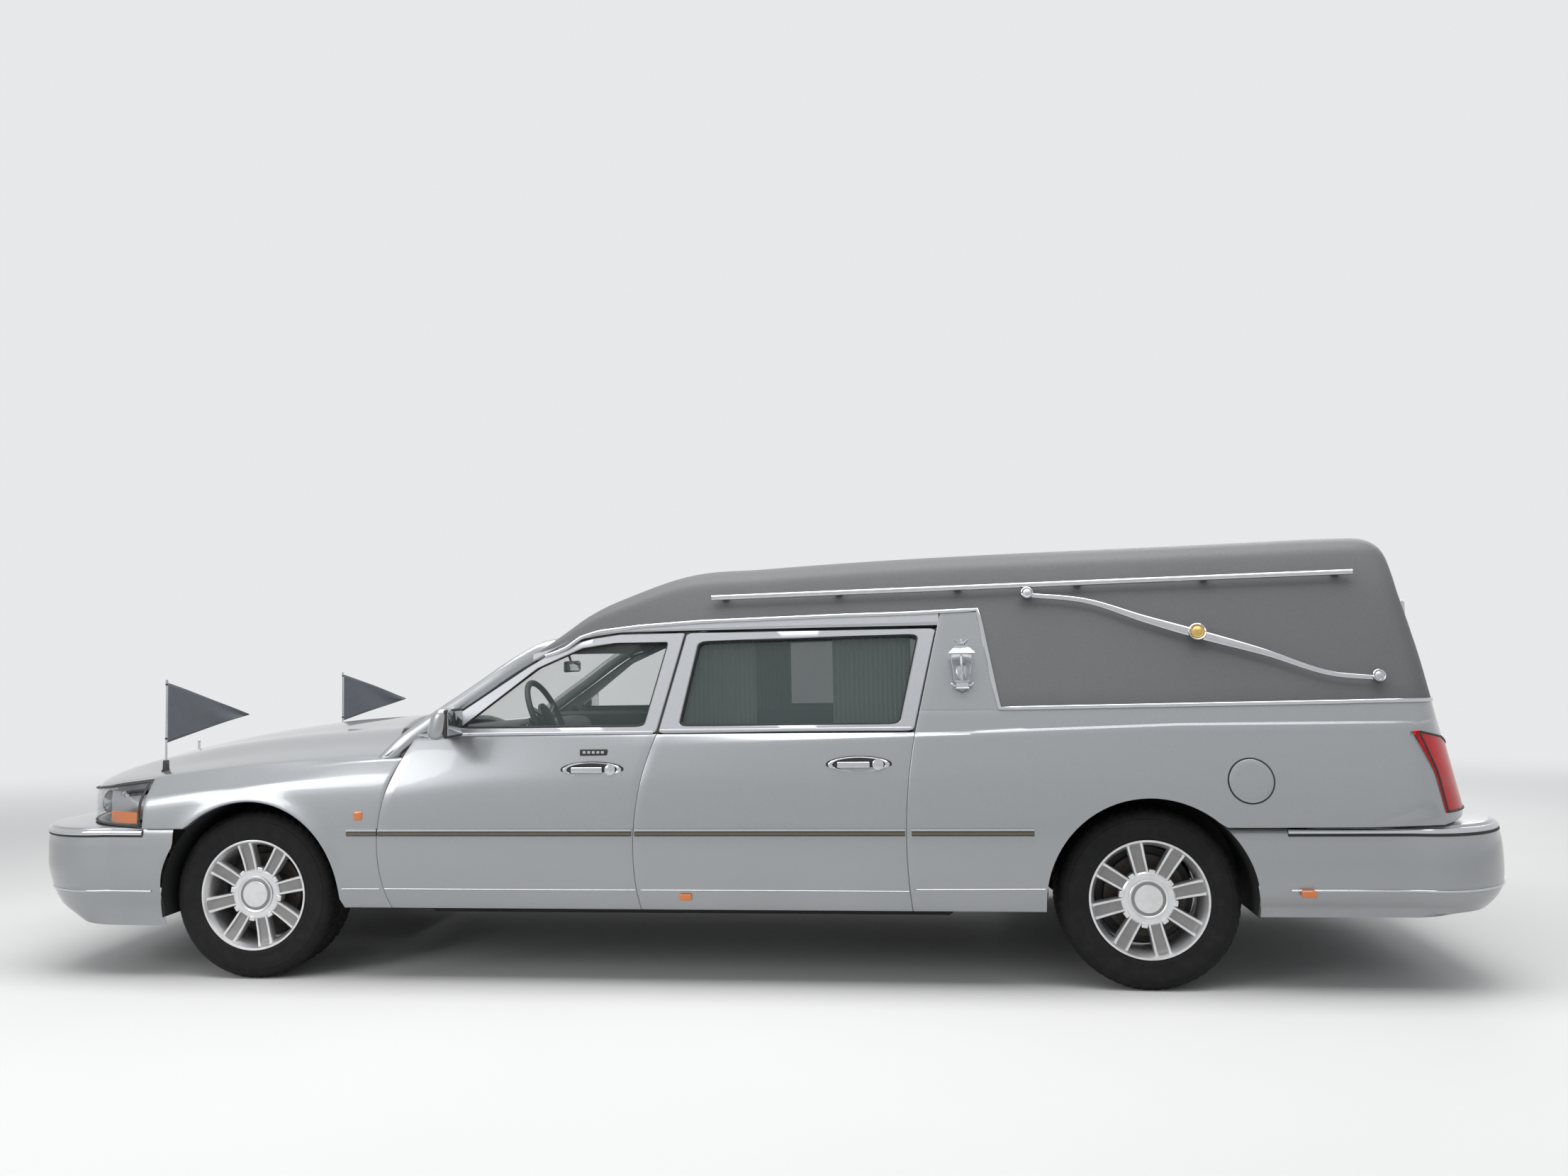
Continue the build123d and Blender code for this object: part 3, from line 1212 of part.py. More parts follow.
with BuildPart() as landau_bars:
    for side, word in SIDES:
        with BuildLine() as bar_line:
            FilletPolyline([on_side(side, x, z, LANDAU_STAND_OFF) for x, z in LANDAU_POINTS], radius=150)
        with BuildSketch(Plane(origin=bar_line.line @ 0, z_dir=bar_line.line % 0)):
            RegularPolygon(LANDAU_BAR_RADIUS, 8)
        sweep(path=bar_line.line)
        for (x, z), radius in ((LANDAU_POINTS[0], LANDAU_END_RADIUS), (LANDAU_POINTS[3], LANDAU_BOSS_RADIUS),
                               (LANDAU_POINTS[-1], LANDAU_END_RADIUS)):
            foot = on_side(side, x, z, TRIM_GAP + radius * 0.32)
            with BuildSketch(Plane(origin=foot, z_dir=(0, side, 0))):
                Circle(radius)
            extrude(amount=LANDAU_STAND_OFF - radius * 0.1)
save(landau_bars.part, "landau_bars")

# Coach lamp on each centre of the landau's front: back plate, lantern and finials
with BuildPart() as coach_lamps:
    for side, word in SIDES:
        x, foot, head = 2986, 1165, 1376
        middle = (foot + head) / 2
        y = side * (side_half_width(middle) + 46)
        for z, radius, length in ((middle, 42, 96), (middle + 62, 26, 30), (middle - 62, 26, 30),
                                  (middle, 12, head - foot)):
            with Locations((FRONT_AXLE_X + x, y, z)):
                Cylinder(radius * 0.7, length)
        with Locations((FRONT_AXLE_X + x, y - side * 26, middle)):
            Box(90, 20, 60)
save(coach_lamps.part, "coach_lamps")

RAIL_POSTS_X = (2015, 2492, 2981, 3464, 3963, 4471)
RAIL_FRONT = (1959, 1567)
RAIL_REAR = (4532, 1614)
ROOF_RAIL_RADIUS = 12.0
with BuildPart() as roof_rails:
    for side, word in SIDES:
        start = on_side(side, *RAIL_FRONT, 30)
        finish = on_side(side, *RAIL_REAR, 30)
        with BuildLine() as rail_line:
            Line(start, finish)
        with BuildSketch(Plane(origin=start, z_dir=rail_line.line % 0)):
            RegularPolygon(ROOF_RAIL_RADIUS, 8)
        sweep(path=rail_line.line)
        for x in RAIL_POSTS_X:
            share = (x - RAIL_FRONT[0]) / (RAIL_REAR[0] - RAIL_FRONT[0])
            z = RAIL_FRONT[1] + share * (RAIL_REAR[1] - RAIL_FRONT[1]) - 22
            with Locations(on_side(side, x, z, 20)):
                Box(34, 24, 44)
save(roof_rails.part, "roof_rails")

# Flag poles clamped to the hood's gaps at the front, each with a pennant, and a slim hood post
FLAG_X = FRONT_AXLE_X - 470
FLAG_Y = HOOD_HALF_WIDTH - 105
FLAG_FOOT = 876.0
FLAG_TOP = 1262.0
PENNANT_LENGTH = 380.0
PENNANT_HOIST = 262.0
with BuildPart() as flag_poles:
    for side, word in SIDES:
        with Locations((FLAG_X, side * FLAG_Y, FLAG_FOOT)):
            Cylinder(13, 34, align=(Align.CENTER, Align.CENTER, Align.MIN))
            Cylinder(4, FLAG_TOP - FLAG_FOOT, align=(Align.CENTER, Align.CENTER, Align.MIN))
            with Locations((0, 0, FLAG_TOP - FLAG_FOOT)):
                Sphere(8)
save(flag_poles.part, "flag_poles")

with BuildPart() as pennants:
    for side, word in SIDES:
        with BuildSketch(Plane.XZ.offset(-side * FLAG_Y + 3)):
            with BuildLine():
                Polyline((FLAG_X + 5, FLAG_TOP - 14), (FLAG_X + 5, FLAG_TOP - 14 - PENNANT_HOIST),
                         (FLAG_X + PENNANT_LENGTH, FLAG_TOP - 14 - PENNANT_HOIST / 2), close=True)
            make_face()
        extrude(amount=-6)
save(pennants.part, "pennants")
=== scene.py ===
import math
from itertools import product

import bmesh
import bpy
import numpy as np
from bpy.props import FloatProperty, FloatVectorProperty, IntProperty, PointerProperty
from mathutils import Matrix, Vector


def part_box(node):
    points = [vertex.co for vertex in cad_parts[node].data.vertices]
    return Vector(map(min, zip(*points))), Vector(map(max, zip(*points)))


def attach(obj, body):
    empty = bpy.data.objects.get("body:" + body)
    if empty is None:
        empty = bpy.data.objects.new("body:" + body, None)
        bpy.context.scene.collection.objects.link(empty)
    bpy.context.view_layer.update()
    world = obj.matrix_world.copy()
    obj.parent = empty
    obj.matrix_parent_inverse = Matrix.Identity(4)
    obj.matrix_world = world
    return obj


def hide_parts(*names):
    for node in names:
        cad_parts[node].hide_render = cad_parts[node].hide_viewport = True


bl_info = {
    "name": "Hearse Looks",
    "version": (1, 0, 0),
    "blender": (4, 5, 0),
    "location": "3D View > Sidebar > Hearse",
    "description": "Panels, glass, trim, wheels and stage of a landau hearse",
    "category": "Add Mesh",
}

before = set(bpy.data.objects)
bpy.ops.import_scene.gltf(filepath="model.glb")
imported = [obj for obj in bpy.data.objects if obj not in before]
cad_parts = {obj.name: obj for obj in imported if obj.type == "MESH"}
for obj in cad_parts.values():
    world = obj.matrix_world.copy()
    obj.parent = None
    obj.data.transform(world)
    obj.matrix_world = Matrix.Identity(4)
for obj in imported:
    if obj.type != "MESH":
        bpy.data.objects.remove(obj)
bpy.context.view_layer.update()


def middle(node):
    """Middle of a node's box."""
    low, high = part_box(node)
    return (Vector(low) + Vector(high)) / 2


# Everything below counts x from the front axle and z from the ground, in metres. Grids are given
# for the left side, where y is negative.
AXLE_X = middle("tyre_front_left").x
REAR_AXLE = middle("tyre_rear_left").x - AXLE_X
HUB_Z = middle("tyre_front_left").z
WHEEL_Y = middle("tyre_front_right").y
SIDES = ((-1, "left"), (1, "right"))
ORIGIN = np.array((AXLE_X, 0.0, 0.0))
UP = (0.0, 0.0, 1.0)
MERGE = 2e-5


# Tools for shapes

def unit(vectors):
    """Vectors scaled to length one."""
    return vectors / np.maximum(np.linalg.norm(vectors, axis=-1, keepdims=True), 1e-9)


def spread(*spans):
    """Values that run through spans of (start, end, count), each start counted once."""
    parts = [np.linspace(a, b, n, endpoint=False) for a, b, n in spans]
    return np.concatenate(parts + [[spans[-1][1]]])


def smooth_table(x, table):
    """Cubic Hermite curve through a table of (x, value), its slopes those of the neighbours'
    chord, and straight on beyond both ends."""
    xs, ys = np.array(table, float).T
    slopes = np.gradient(ys, xs)
    x = np.asarray(x, float)
    inside = np.clip(x, xs[0], xs[-1])
    i = np.clip(np.searchsorted(xs, inside) - 1, 0, len(xs) - 2)
    h = xs[i + 1] - xs[i]
    t = (inside - xs[i]) / h
    value = ((1 + 2 * t) * (1 - t) ** 2 * ys[i] + t * (1 - t) ** 2 * h * slopes[i]
             + t * t * (3 - 2 * t) * ys[i + 1] + t * t * (t - 1) * h * slopes[i + 1])
    return (value + np.where(x < xs[0], (x - xs[0]) * slopes[0], 0)
            + np.where(x > xs[-1], (x - xs[-1]) * slopes[-1], 0))


def soft_min(radius, *values):
    """Minimum with rounded corners: minus radius times the log of the sum of exp(-value / radius)."""
    values = np.broadcast_arrays(*values)
    least = np.minimum.reduce(values)
    return least - radius * np.log(sum(np.exp((least - v) / radius) for v in values))


def ease(share):
    """A share from 0 to 1 that starts and ends level: 3 t^2 - 2 t^3."""
    return share * share * (3 - 2 * share)


def bend(a, b, c, t):
    """Quadratic curve from a to c that heads for b."""
    return (1 - t) ** 2 * a + 2 * t * (1 - t) * b + t * t * c


def hump(x, at, width):
    """A bell curve of height 1: exp of minus the square of the distance over the width."""
    return np.exp(-((x - at) / width) ** 2)


def arc(start, via, end, count):
    """Points in equal steps on the circle through three points of a plane."""
    a, b, c = (complex(*p) for p in (start, via, end))
    w = (c - a) / (b - a)
    centre = (b - a) * (w - abs(w) ** 2) / (2j * w.imag) + a
    sweep = np.angle((c - centre) / (a - centre))
    if np.angle((b - centre) / (a - centre)) * sweep < 0:
        sweep -= math.copysign(2 * math.pi, sweep)
    z = centre + (a - centre) * np.exp(1j * np.linspace(0, sweep, count))
    return np.stack([z.real, z.imag], -1)


def outward(grid, core):
    """Unit normals, the cross product of the two central differences, turned away from a core."""
    n = unit(np.cross(np.gradient(grid, axis=0), np.gradient(grid, axis=1)))
    return n * (1 if np.sum(n * (grid - np.array(core))) > 0 else -1)


def rolled(grid, radius, depth, core, borders="abcd"):
    """Each border goes on in a quarter circle of the radius and a straight return of the depth."""
    turn = np.radians((30, 60, 90))[:, None, None]
    for axis, letters in ((0, "ab"), (1, "cd")):
        g = np.swapaxes(grid, 0, axis)
        n = outward(g, core)
        for letter in letters:
            if letter in borders:
                ahead = g[0] - g[1]
                ahead = unit(ahead - np.sum(ahead * n[0], -1, keepdims=True) * n[0])
                rows = g[0] + ahead * radius * np.sin(turn) - n[0] * radius * (1 - np.cos(turn))
                g = np.concatenate([rows[-1:] - n[0] * depth, rows[::-1], g])
                n = np.concatenate([n[:1].repeat(4, 0), n])
            g, n = g[::-1], n[::-1]
        grid = np.swapaxes(g, 0, axis)
    return grid


def lathe(profile, centre, axis, steps=48):
    """A profile of (distance along the axis, radius) turned about it: grid of angle by profile."""
    axis = unit(np.array(axis, float))
    across = unit(np.cross(axis, UP if abs(axis[2]) < 0.9 else (1.0, 0.0, 0.0)))
    up = np.cross(across, axis)
    angle = np.linspace(0, 2 * math.pi, steps, endpoint=False)[:, None, None]
    along, radius = np.array(profile, float).T
    spoke = across * np.cos(angle) + up * np.sin(angle)
    return np.array(centre) + axis * along[None, :, None] + spoke * radius[None, :, None]


def swept(path, profile, up=UP, scale=None):
    """A closed profile of (across, up) carried along a path, square to it, its ends drawn to a
    point."""
    path = np.asarray(path, float)
    ahead = unit(np.gradient(path, axis=0))
    across = unit(np.cross(ahead, np.array(up, float)))
    rise = np.cross(across, ahead)
    size = np.ones(len(path)) if scale is None else np.asarray(scale)
    shape = np.asarray(profile, float)[None] * size[:, None, None]
    grid = path[:, None] + across[:, None] * shape[..., :1] + rise[:, None] * shape[..., 1:]
    first, last = (np.broadcast_to(path[end], grid[:1].shape) for end in (0, -1))
    return np.concatenate([first, grid, last])


def oval(width, height, count=12, power=2.0):
    """A closed superellipse: |x / width|^power + |y / height|^power = 1, with half sizes."""
    a = np.linspace(0, 2 * math.pi, count, endpoint=False)
    c, s = np.cos(a), np.sin(a)
    r = (np.abs(c) ** power + np.abs(s) ** power) ** (-1 / power)
    return np.stack([width * r * c, height * r * s], -1)


def rounded_box(low, high, radius, steps=3):
    """A box whose corners are eighths of a sphere of the radius, carried out to its corners."""
    low, high = np.array(low, float), np.array(high, float)
    centre, half = (low + high) / 2, (high - low) / 2
    radius = min(radius, half.min() * 0.999)
    turn = np.linspace(0, math.pi / 2, steps + 1)
    around = np.concatenate([turn + q * math.pi / 2 for q in range(4)])
    tilt = np.concatenate([turn - math.pi / 2, turn])
    sx, sy = (np.repeat(signs, steps + 1) for signs in ((1, -1, -1, 1), (1, 1, -1, -1)))
    sz = np.repeat((-1, 1), steps + 1)[:, None]
    flat, up = np.cos(tilt)[:, None], np.sin(tilt)[:, None]
    n = np.stack(np.broadcast_arrays(flat * np.cos(around), flat * np.sin(around), up), -1)
    corner = np.stack(np.broadcast_arrays(sx[None], sy[None], sz), -1) * (half - radius)
    grid = centre + corner + radius * n
    foot, head = (np.broadcast_to((*centre[:2], z), grid[:1].shape) for z in (low[2], high[2]))
    grid = np.concatenate([foot, grid, head])
    return np.concatenate([grid, grid[:, :1]], 1)


def ring_of(outline, centre, angles):
    """Where rays at the given angles from a centre leave a closed outline."""
    pts = np.array(outline, float) - centre
    edge = np.roll(pts, -1, 0) - pts
    ray = np.stack([np.cos(angles), np.sin(angles)], -1)
    cross = ray[:, :1] * edge[:, 1] - ray[:, 1:] * edge[:, 0]
    cross = np.where(np.abs(cross) < 1e-12, 1e-12, cross)
    far = (pts[:, 0] * edge[:, 1] - pts[:, 1] * edge[:, 0]) / cross
    share = (pts[:, 0] * ray[:, 1:] - pts[:, 1] * ray[:, :1]) / cross
    hit = (far > 0) & (share > -1e-6) & (share < 1 + 1e-6)
    return centre + ray * np.where(hit, far, np.inf).min(1)[:, None]


def matched_rings(outer, inner, centre):
    """Two outlines at the same angles: evenly spread ones and those of every corner."""
    corners = [np.arctan2(p[1] - centre[1], p[0] - centre[0]) for o in (outer, inner) for p in o]
    even = np.linspace(-math.pi, math.pi, 72, endpoint=False)
    angles = np.unique(np.round(np.concatenate([even, corners]), 5))
    return ring_of(outer, centre, angles), ring_of(inner, centre, angles)


def rounded_outline(half_width, low, high, radius, count=6):
    """A rectangle about x = 0 with round corners, as a closed list of points."""
    turn = np.linspace(0, math.pi / 2, count)
    parts = []
    for quarter, (sx, sz) in enumerate(((1, 1), (-1, 1), (-1, -1), (1, -1))):
        centre = (sx * (half_width - radius), (high if sz > 0 else low) - sz * radius)
        a = turn + quarter * math.pi / 2
        parts.append(np.stack([centre[0] + radius * np.cos(a), centre[1] + radius * np.sin(a)], -1))
    return np.concatenate(parts)


def stacked(x, y, z):
    """Points from arrays of their coordinates."""
    return np.stack(np.broadcast_arrays(x, y, z), -1)


def welded(mesh, clean):
    """Merges a mesh's doubled points, and cleans it by a function of the mesh in work."""
    work = bmesh.new()
    work.from_mesh(mesh)
    bmesh.ops.remove_doubles(work, verts=work.verts, dist=MERGE)
    clean(work)
    work.to_mesh(mesh)
    work.free()


def finished(mesh, finishes, body, replaces, sharp):
    """A mesh as an object: smooth but at sharp edges, with its finishes, riding its body."""
    for finish in finishes:
        mesh.materials.append(look(finish))
    mesh.shade_smooth()
    mesh.set_sharp_from_angle(angle=math.radians(sharp))
    piece = bpy.data.objects.new(mesh.name, mesh)
    bpy.context.scene.collection.objects.link(piece)
    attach(piece, body)
    if replaces:
        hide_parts(*replaces)
    return piece


class Pile:
    """Grids of points that become one mesh, each with the number of its material.

    Grids are given for the left side. A pile of side 1 mirrors them, and one of both sides
    takes each grid and its mirror image."""

    def __init__(self, *sides):
        self.sides = sides or (-1,)
        self.points, self.faces, self.marks, self.count = [], [], [], 0

    def add(self, grid, mark=0, core=None, loop="", once=False):
        """Adds a grid, closed on itself along u or v where asked, facing away from the core."""
        grid = np.asarray(grid, float)
        nu, nv = grid.shape[:2]
        index = np.arange(nu * nv).reshape(nu, nv)
        if "u" in loop:
            index = np.vstack([index, index[:1]])
        if "v" in loop:
            index = np.hstack([index, index[:, :1]])
        corners = (index[:-1, :-1], index[1:, :-1], index[1:, 1:], index[:-1, 1:])
        for side in (-1,) if once else self.sides:
            quads = np.stack(corners, -1).reshape(-1, 4)
            flat = grid.reshape(-1, 3) * (1, -side, 1)
            inside = flat.mean(0) if core is None else np.array(core) * (1, -side, 1)
            a, b, c, d = (flat[quads[:, k]] for k in range(4))
            if np.sum(np.cross(c - a, d - b) * ((a + c) / 2 - inside)) < 0:
                quads = quads[:, ::-1]
            self.points.append(flat + ORIGIN)
            self.faces.append(quads + self.count)
            self.marks.append(np.full(len(quads), mark))
            self.count += len(flat)

    def turn(self, profile, centre, axis, mark=0, steps=48, core=None):
        """Adds a lathe."""
        self.add(lathe(profile, centre, axis, steps), mark, core, loop="u")

    def tube(self, path, width, height, mark=0, count=8, power=2.0, up=UP, scale=None):
        """Adds an oval carried along a path."""
        self.add(swept(path, oval(width, height, count, power), up, scale), mark, loop="v")

    def block(self, low, high, radius, mark=0, steps=3, once=False):
        """Adds a rounded box."""
        self.add(rounded_box(low, high, radius, steps), mark, once=once)

    def piece(self, name, finishes, body="root", replaces=(), slot="paint", wall=0.0, sharp=38):
        """The finished object, with a wall where one is given."""
        mesh = bpy.data.meshes.new(name)
        mesh.from_pydata(np.concatenate(self.points).tolist(), [], np.concatenate(self.faces).tolist())
        mesh.polygons.foreach_set("material_index", np.concatenate(self.marks).astype(np.int32))
        welded(mesh, lambda work: bmesh.ops.dissolve_degenerate(work, dist=1e-6, edges=work.edges))
        piece = finished(mesh, finishes, body, replaces, sharp)
        if wall:
            solid = piece.modifiers.new("wall", "SOLIDIFY")
            solid.thickness = wall
            solid.offset = -1
        return piece


def dress(node, finish, body="root", bevel=0.0, name=None):
    """A merged copy of a CAD node with its edges eased, in its own finish."""
    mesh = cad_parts[node].data.copy()
    mesh.name = name or node + "_shell"
    mesh.materials.clear()
    welded(mesh, lambda work: bmesh.ops.dissolve_limit(
        work, angle_limit=math.radians(1.0), verts=work.verts, edges=work.edges))
    piece = finished(mesh, (finish,), body, (node,), 30)
    if bevel:
        eased = piece.modifiers.new("eased", "BEVEL")
        eased.width = bevel
        eased.segments = 2
        eased.limit_method = "ANGLE"
        eased.angle_limit = math.radians(35)
        eased.harden_normals = True


# Tools for finishes

def arithmetic(operation, swapped=False):
    """A method that adds a Math node, with the other value first where swapped."""
    def method(self, other):
        values = (other, self) if swapped else (self, other)
        return self.shade.node("ShaderNodeMath", {"operation": operation}, *values)
    return method


class Field:
    """A socket's value, with arithmetic that adds Math nodes."""

    def __init__(self, shade, socket):
        self.shade, self.socket = shade, socket

    __add__ = __radd__ = arithmetic("ADD")
    __mul__ = __rmul__ = arithmetic("MULTIPLY")
    __sub__, __rsub__ = arithmetic("SUBTRACT"), arithmetic("SUBTRACT", swapped=True)
    __truediv__, __rtruediv__ = arithmetic("DIVIDE"), arithmetic("DIVIDE", swapped=True)
    __pow__ = arithmetic("POWER")

    def clamp(self):
        """Kept between 0 and 1."""
        return self.shade.node("ShaderNodeClamp", {}, self)

    def step(self, low, high):
        """Runs smoothly from 0 at low to 1 at high."""
        return self.shade.node("ShaderNodeMapRange", {"interpolation_type": "SMOOTHSTEP"},
                               self, low, high, 0.0, 1.0)


class Shade:
    """The nodes of one material, or of the world."""

    def __init__(self, name, block=None):
        self.material = block or bpy.data.materials.new(name)
        self.material.use_nodes = True
        self.tree = self.material.node_tree
        self.tree.nodes.clear()
        self.place = self.node("ShaderNodeTexCoord", {}, out="Object")

    def node(self, kind, settings, *values, out=0, **named):
        """Adds a node: its settings first, then the values or links of its sockets. A colour
        may be given without its alpha."""
        made = self.tree.nodes.new(kind)
        for key, value in settings.items():
            setattr(made, key, value)
        for key, value in [*enumerate(values), *named.items()]:
            socket = made.inputs[key.replace("_", " ") if isinstance(key, str) else key]
            if isinstance(value, Field):
                self.tree.links.new(value.socket, socket)
            elif value is not None:
                socket.default_value = (*value, 1.0)[:4] if socket.type == "RGBA" else value
        return Field(self, made.outputs[out]) if made.outputs else None

    def axis(self, letter):
        """One of the object's coordinates."""
        return self.node("ShaderNodeSeparateXYZ", {}, self.place, out="XYZ".index(letter))

    def stretched(self, stretch):
        """The object's coordinates, each times its own factor."""
        return self.node("ShaderNodeMapping", {}, self.place, Scale=stretch)

    def noise(self, scale, detail=4.0, stretch=(1, 1, 1)):
        """Cloudy noise, scale in features per metre."""
        return self.node("ShaderNodeTexNoise", {}, Vector=self.stretched(stretch), Scale=scale,
                         Detail=detail, Roughness=0.5)

    def cells(self, scale, feature="SMOOTH_F1", out="Distance"):
        """Distance to the middle of the nearest cell."""
        return self.node("ShaderNodeTexVoronoi", {"feature": feature},
                         Vector=self.stretched((1, 1, 1)), Scale=scale, out=out)

    def waves(self, direction, scale):
        """Bands across one direction."""
        return self.node("ShaderNodeTexWave", {"bands_direction": direction}, self.place,
                         Scale=scale, out=1)

    def tint(self, share, first, second):
        """A colour between two, by a share."""
        return self.node("ShaderNodeMix", {"data_type": "RGBA"}, share, *[None] * 5, first, second,
                         out=2)

    def bump(self, height, strength, distance):
        """A normal tilted by the slope of a height."""
        return self.node("ShaderNodeBump", {}, Strength=strength, Distance=distance, Height=height)

    def seen(self):
        """1 for what the camera sees straight, in a reflection or through glass, else 0."""
        rays = [self.node("ShaderNodeLightPath", {}, out=f"Is {ray} Ray")
                for ray in ("Camera", "Glossy", "Transmission")]
        return (rays[0] + rays[1] + rays[2]).clamp()

    def finish(self, **sockets):
        """The Principled shader with its sockets, and the output."""
        self.node("ShaderNodeOutputMaterial", {}, self.node("ShaderNodeBsdfPrincipled", {}, **sockets))
        return self.material


LOOKS = {}


def look(name):
    """A material by name, made once."""
    if name not in LOOKS:
        LOOKS[name] = RECIPES[name]()
    return LOOKS[name]


def settings():
    """The values that the panel shows."""
    return bpy.context.scene.hearse


def colour(name):
    """A colour of the settings."""
    return tuple(getattr(settings(), name))


def metres(name):
    """A size of the settings, which are kept in single precision."""
    return round(getattr(settings(), name), 6)


# Finishes. In most of them one noise sets both the colour and the roughness.

def mottled(name, noise, colours, rough, grain=None, relief=None, **sockets):
    """Colour and roughness follow one noise: rough is (gain, least). Grain is (cells per metre,
    strength, depth) of fine bumps, and relief (strength, depth) of the noise's own."""
    s = Shade(name)
    field = s.noise(*noise)
    if grain:
        sockets["Normal"] = s.bump(s.cells(grain[0]), *grain[1:])
    if relief:
        sockets["Normal"] = s.bump(field, *relief)
    return s.finish(Base_Color=s.tint(field, *colours), Roughness=field * rough[0] + rough[1], **sockets)


def glass(name, tone, rough, alpha, **sockets):
    """A thin film of dust on clear or dark glass: rough and alpha are (gain, least)."""
    s = Shade(name)
    film = s.noise(4.0, 5.0)
    return s.finish(Base_Color=tone, Roughness=film * rough[0] + rough[1],
                    Alpha=film * alpha[0] + alpha[1], **sockets)


def cloth(name, light, dark, scale=900.0):
    """Plain woven cloth: threads from two crossed waves, mottled by noise."""
    s = Shade(name)
    thread = s.waves("X", scale / 6) * s.waves("Z", scale / 6)
    mottle = s.noise(35.0)
    return s.finish(Base_Color=s.tint((mottle * 0.6 + thread * 0.4).clamp(), light, dark),
                    Roughness=mottle * 0.1 + 0.8, Sheen_Weight=0.3, Normal=s.bump(thread, 0.3, 0.0004))


def paint():
    """Metallic lacquer: fine flakes, a slight ripple, and road film with painted shade towards the sill.
    """
    s = Shade("metallic_paint")
    flake = s.node("ShaderNodeSeparateColor", {}, s.cells(1500.0, "F1", out="Color"))
    # Painted shade: film tints the colour towards the darker shade colour near the sill, where the lower
    # flank lies in shade; its noise also dulls and roughens the coat as road film.
    film = s.noise(3.0, 5.0) * (1 - s.axis("Z").step(0.25, 0.62))
    base = s.tint(flake * 0.22 + film * 0.35, colour("paint_colour"), colour("paint_shade"))
    return s.finish(Base_Color=base, Metallic=0.72, Roughness=film * 0.16 + flake * 0.08 + 0.27,
                    Coat_Weight=0.85 - film * 0.4, Coat_Roughness=0.035,
                    Normal=s.bump(s.noise(160.0, 2.0), 0.02, 0.001))


def vinyl():
    """Grained roof cloth: leathery cells under fine wrinkles, faded a little on top."""
    s = Shade("grained_vinyl")
    grain, wrinkle, broad = s.cells(420.0), s.noise(900.0, 3.0), s.noise(2.2)
    faded = s.axis("Z").step(1.45, 1.8) * 0.6 + broad * 0.35
    base = s.tint(faded, colour("vinyl_colour"), colour("vinyl_faded"))
    base = s.tint(grain.step(0.25, 0.75) * 0.25, base, (0.05, 0.05, 0.05))
    return s.finish(Base_Color=base, Roughness=grain * 0.25 + 0.47, Specular_IOR_Level=0.4,
                    Normal=s.bump(grain + wrinkle * 0.35, 0.55, 0.0009))


def lens():
    """Nearly clear plastic with faint flutes."""
    s = Shade("lamp_lens")
    flute = s.noise(14.0, 2.0, stretch=(1, 1, 3))
    return s.finish(Base_Color=(0.95, 0.97, 1.0), Roughness=0.03, Transmission_Weight=1.0, IOR=1.2,
                    Alpha=flute * 0.1 + 0.3, Coat_Weight=1.0)


def amber():
    """Orange lens with square prisms."""
    s = Shade("amber_lens")
    prism = s.node("ShaderNodeTexChecker", {}, s.place, Scale=170.0, out=1)
    base = s.tint(prism * 0.5, (0.62, 0.16, 0.012), (0.42, 0.085, 0.006))
    return s.finish(Base_Color=base, Roughness=0.12, Coat_Weight=1.0, Emission_Color=(0.9, 0.2, 0.02),
                    Emission_Strength=0.03, Normal=s.bump(prism, 0.3, 0.001))


def red_lens():
    """Deep red lens with fine upright prisms."""
    s = Shade("red_lens")
    deep, prism = s.axis("Z").step(0.72, 0.95), s.waves("Z", 60.0)
    base = s.tint(deep * 0.5 + prism * 0.2, (0.40, 0.001, 0.004), (0.52, 0.004, 0.008))
    return s.finish(Base_Color=base, Roughness=prism * 0.08 + 0.16, Specular_IOR_Level=0.2,
                    Coat_Weight=0.22, Coat_Roughness=0.04, Emission_Color=(0.5, 0.005, 0.008),
                    Emission_Strength=0.05, Normal=s.bump(prism, 0.15, 0.001))


def tyre_rubber():
    """Black rubber with a fine grain, dusty here and there."""
    s = Shade("tyre_rubber")
    dust = s.noise(26.0, 6.0)
    base = s.tint(dust.step(0.35, 0.8) * 0.4, (0.006, 0.006, 0.0065), (0.028, 0.027, 0.025))
    return s.finish(Base_Color=base, Roughness=dust * 0.25 + 0.62, Specular_IOR_Level=0.25,
                    Normal=s.bump(s.noise(500.0, 2.0), 0.25, 0.0006))


def alloy():
    """Machined metal under lacquer, with brake dust."""
    s = Shade("machined_alloy")
    brushed, dust = s.noise(200.0, 2.0), s.noise(18.0, 5.0)
    base = s.tint(dust.step(0.4, 0.9) * 0.5, (0.7, 0.7, 0.71), (0.42, 0.4, 0.37))
    return s.finish(Base_Color=base, Metallic=0.85, Coat_Weight=0.4,
                    Roughness=brushed * 0.14 + dust * 0.12 + 0.2)


def seat_leather():
    """Grained leather with soft creases."""
    s = Shade("seat_leather")
    grain, crease = s.cells(520.0), s.noise(24.0, 6.0)
    return s.finish(Base_Color=s.tint(crease, (0.1, 0.105, 0.1), (0.17, 0.172, 0.165)),
                    Roughness=crease * 0.2 + 0.45, Normal=s.bump(grain * 0.4 + crease, 0.35, 0.0015))


def wood():
    """Varnished deck boards with a straight grain along the car."""
    s = Shade("deck_wood")
    grain = s.noise(9.0, 6.0, stretch=(0.6, 9.0, 9.0))
    base = s.tint(grain.step(0.3, 0.7), (0.16, 0.075, 0.03), (0.32, 0.17, 0.075))
    return s.finish(Base_Color=base, Roughness=grain * 0.2 + 0.25, Coat_Weight=0.6,
                    Normal=s.bump(grain, 0.1, 0.001))


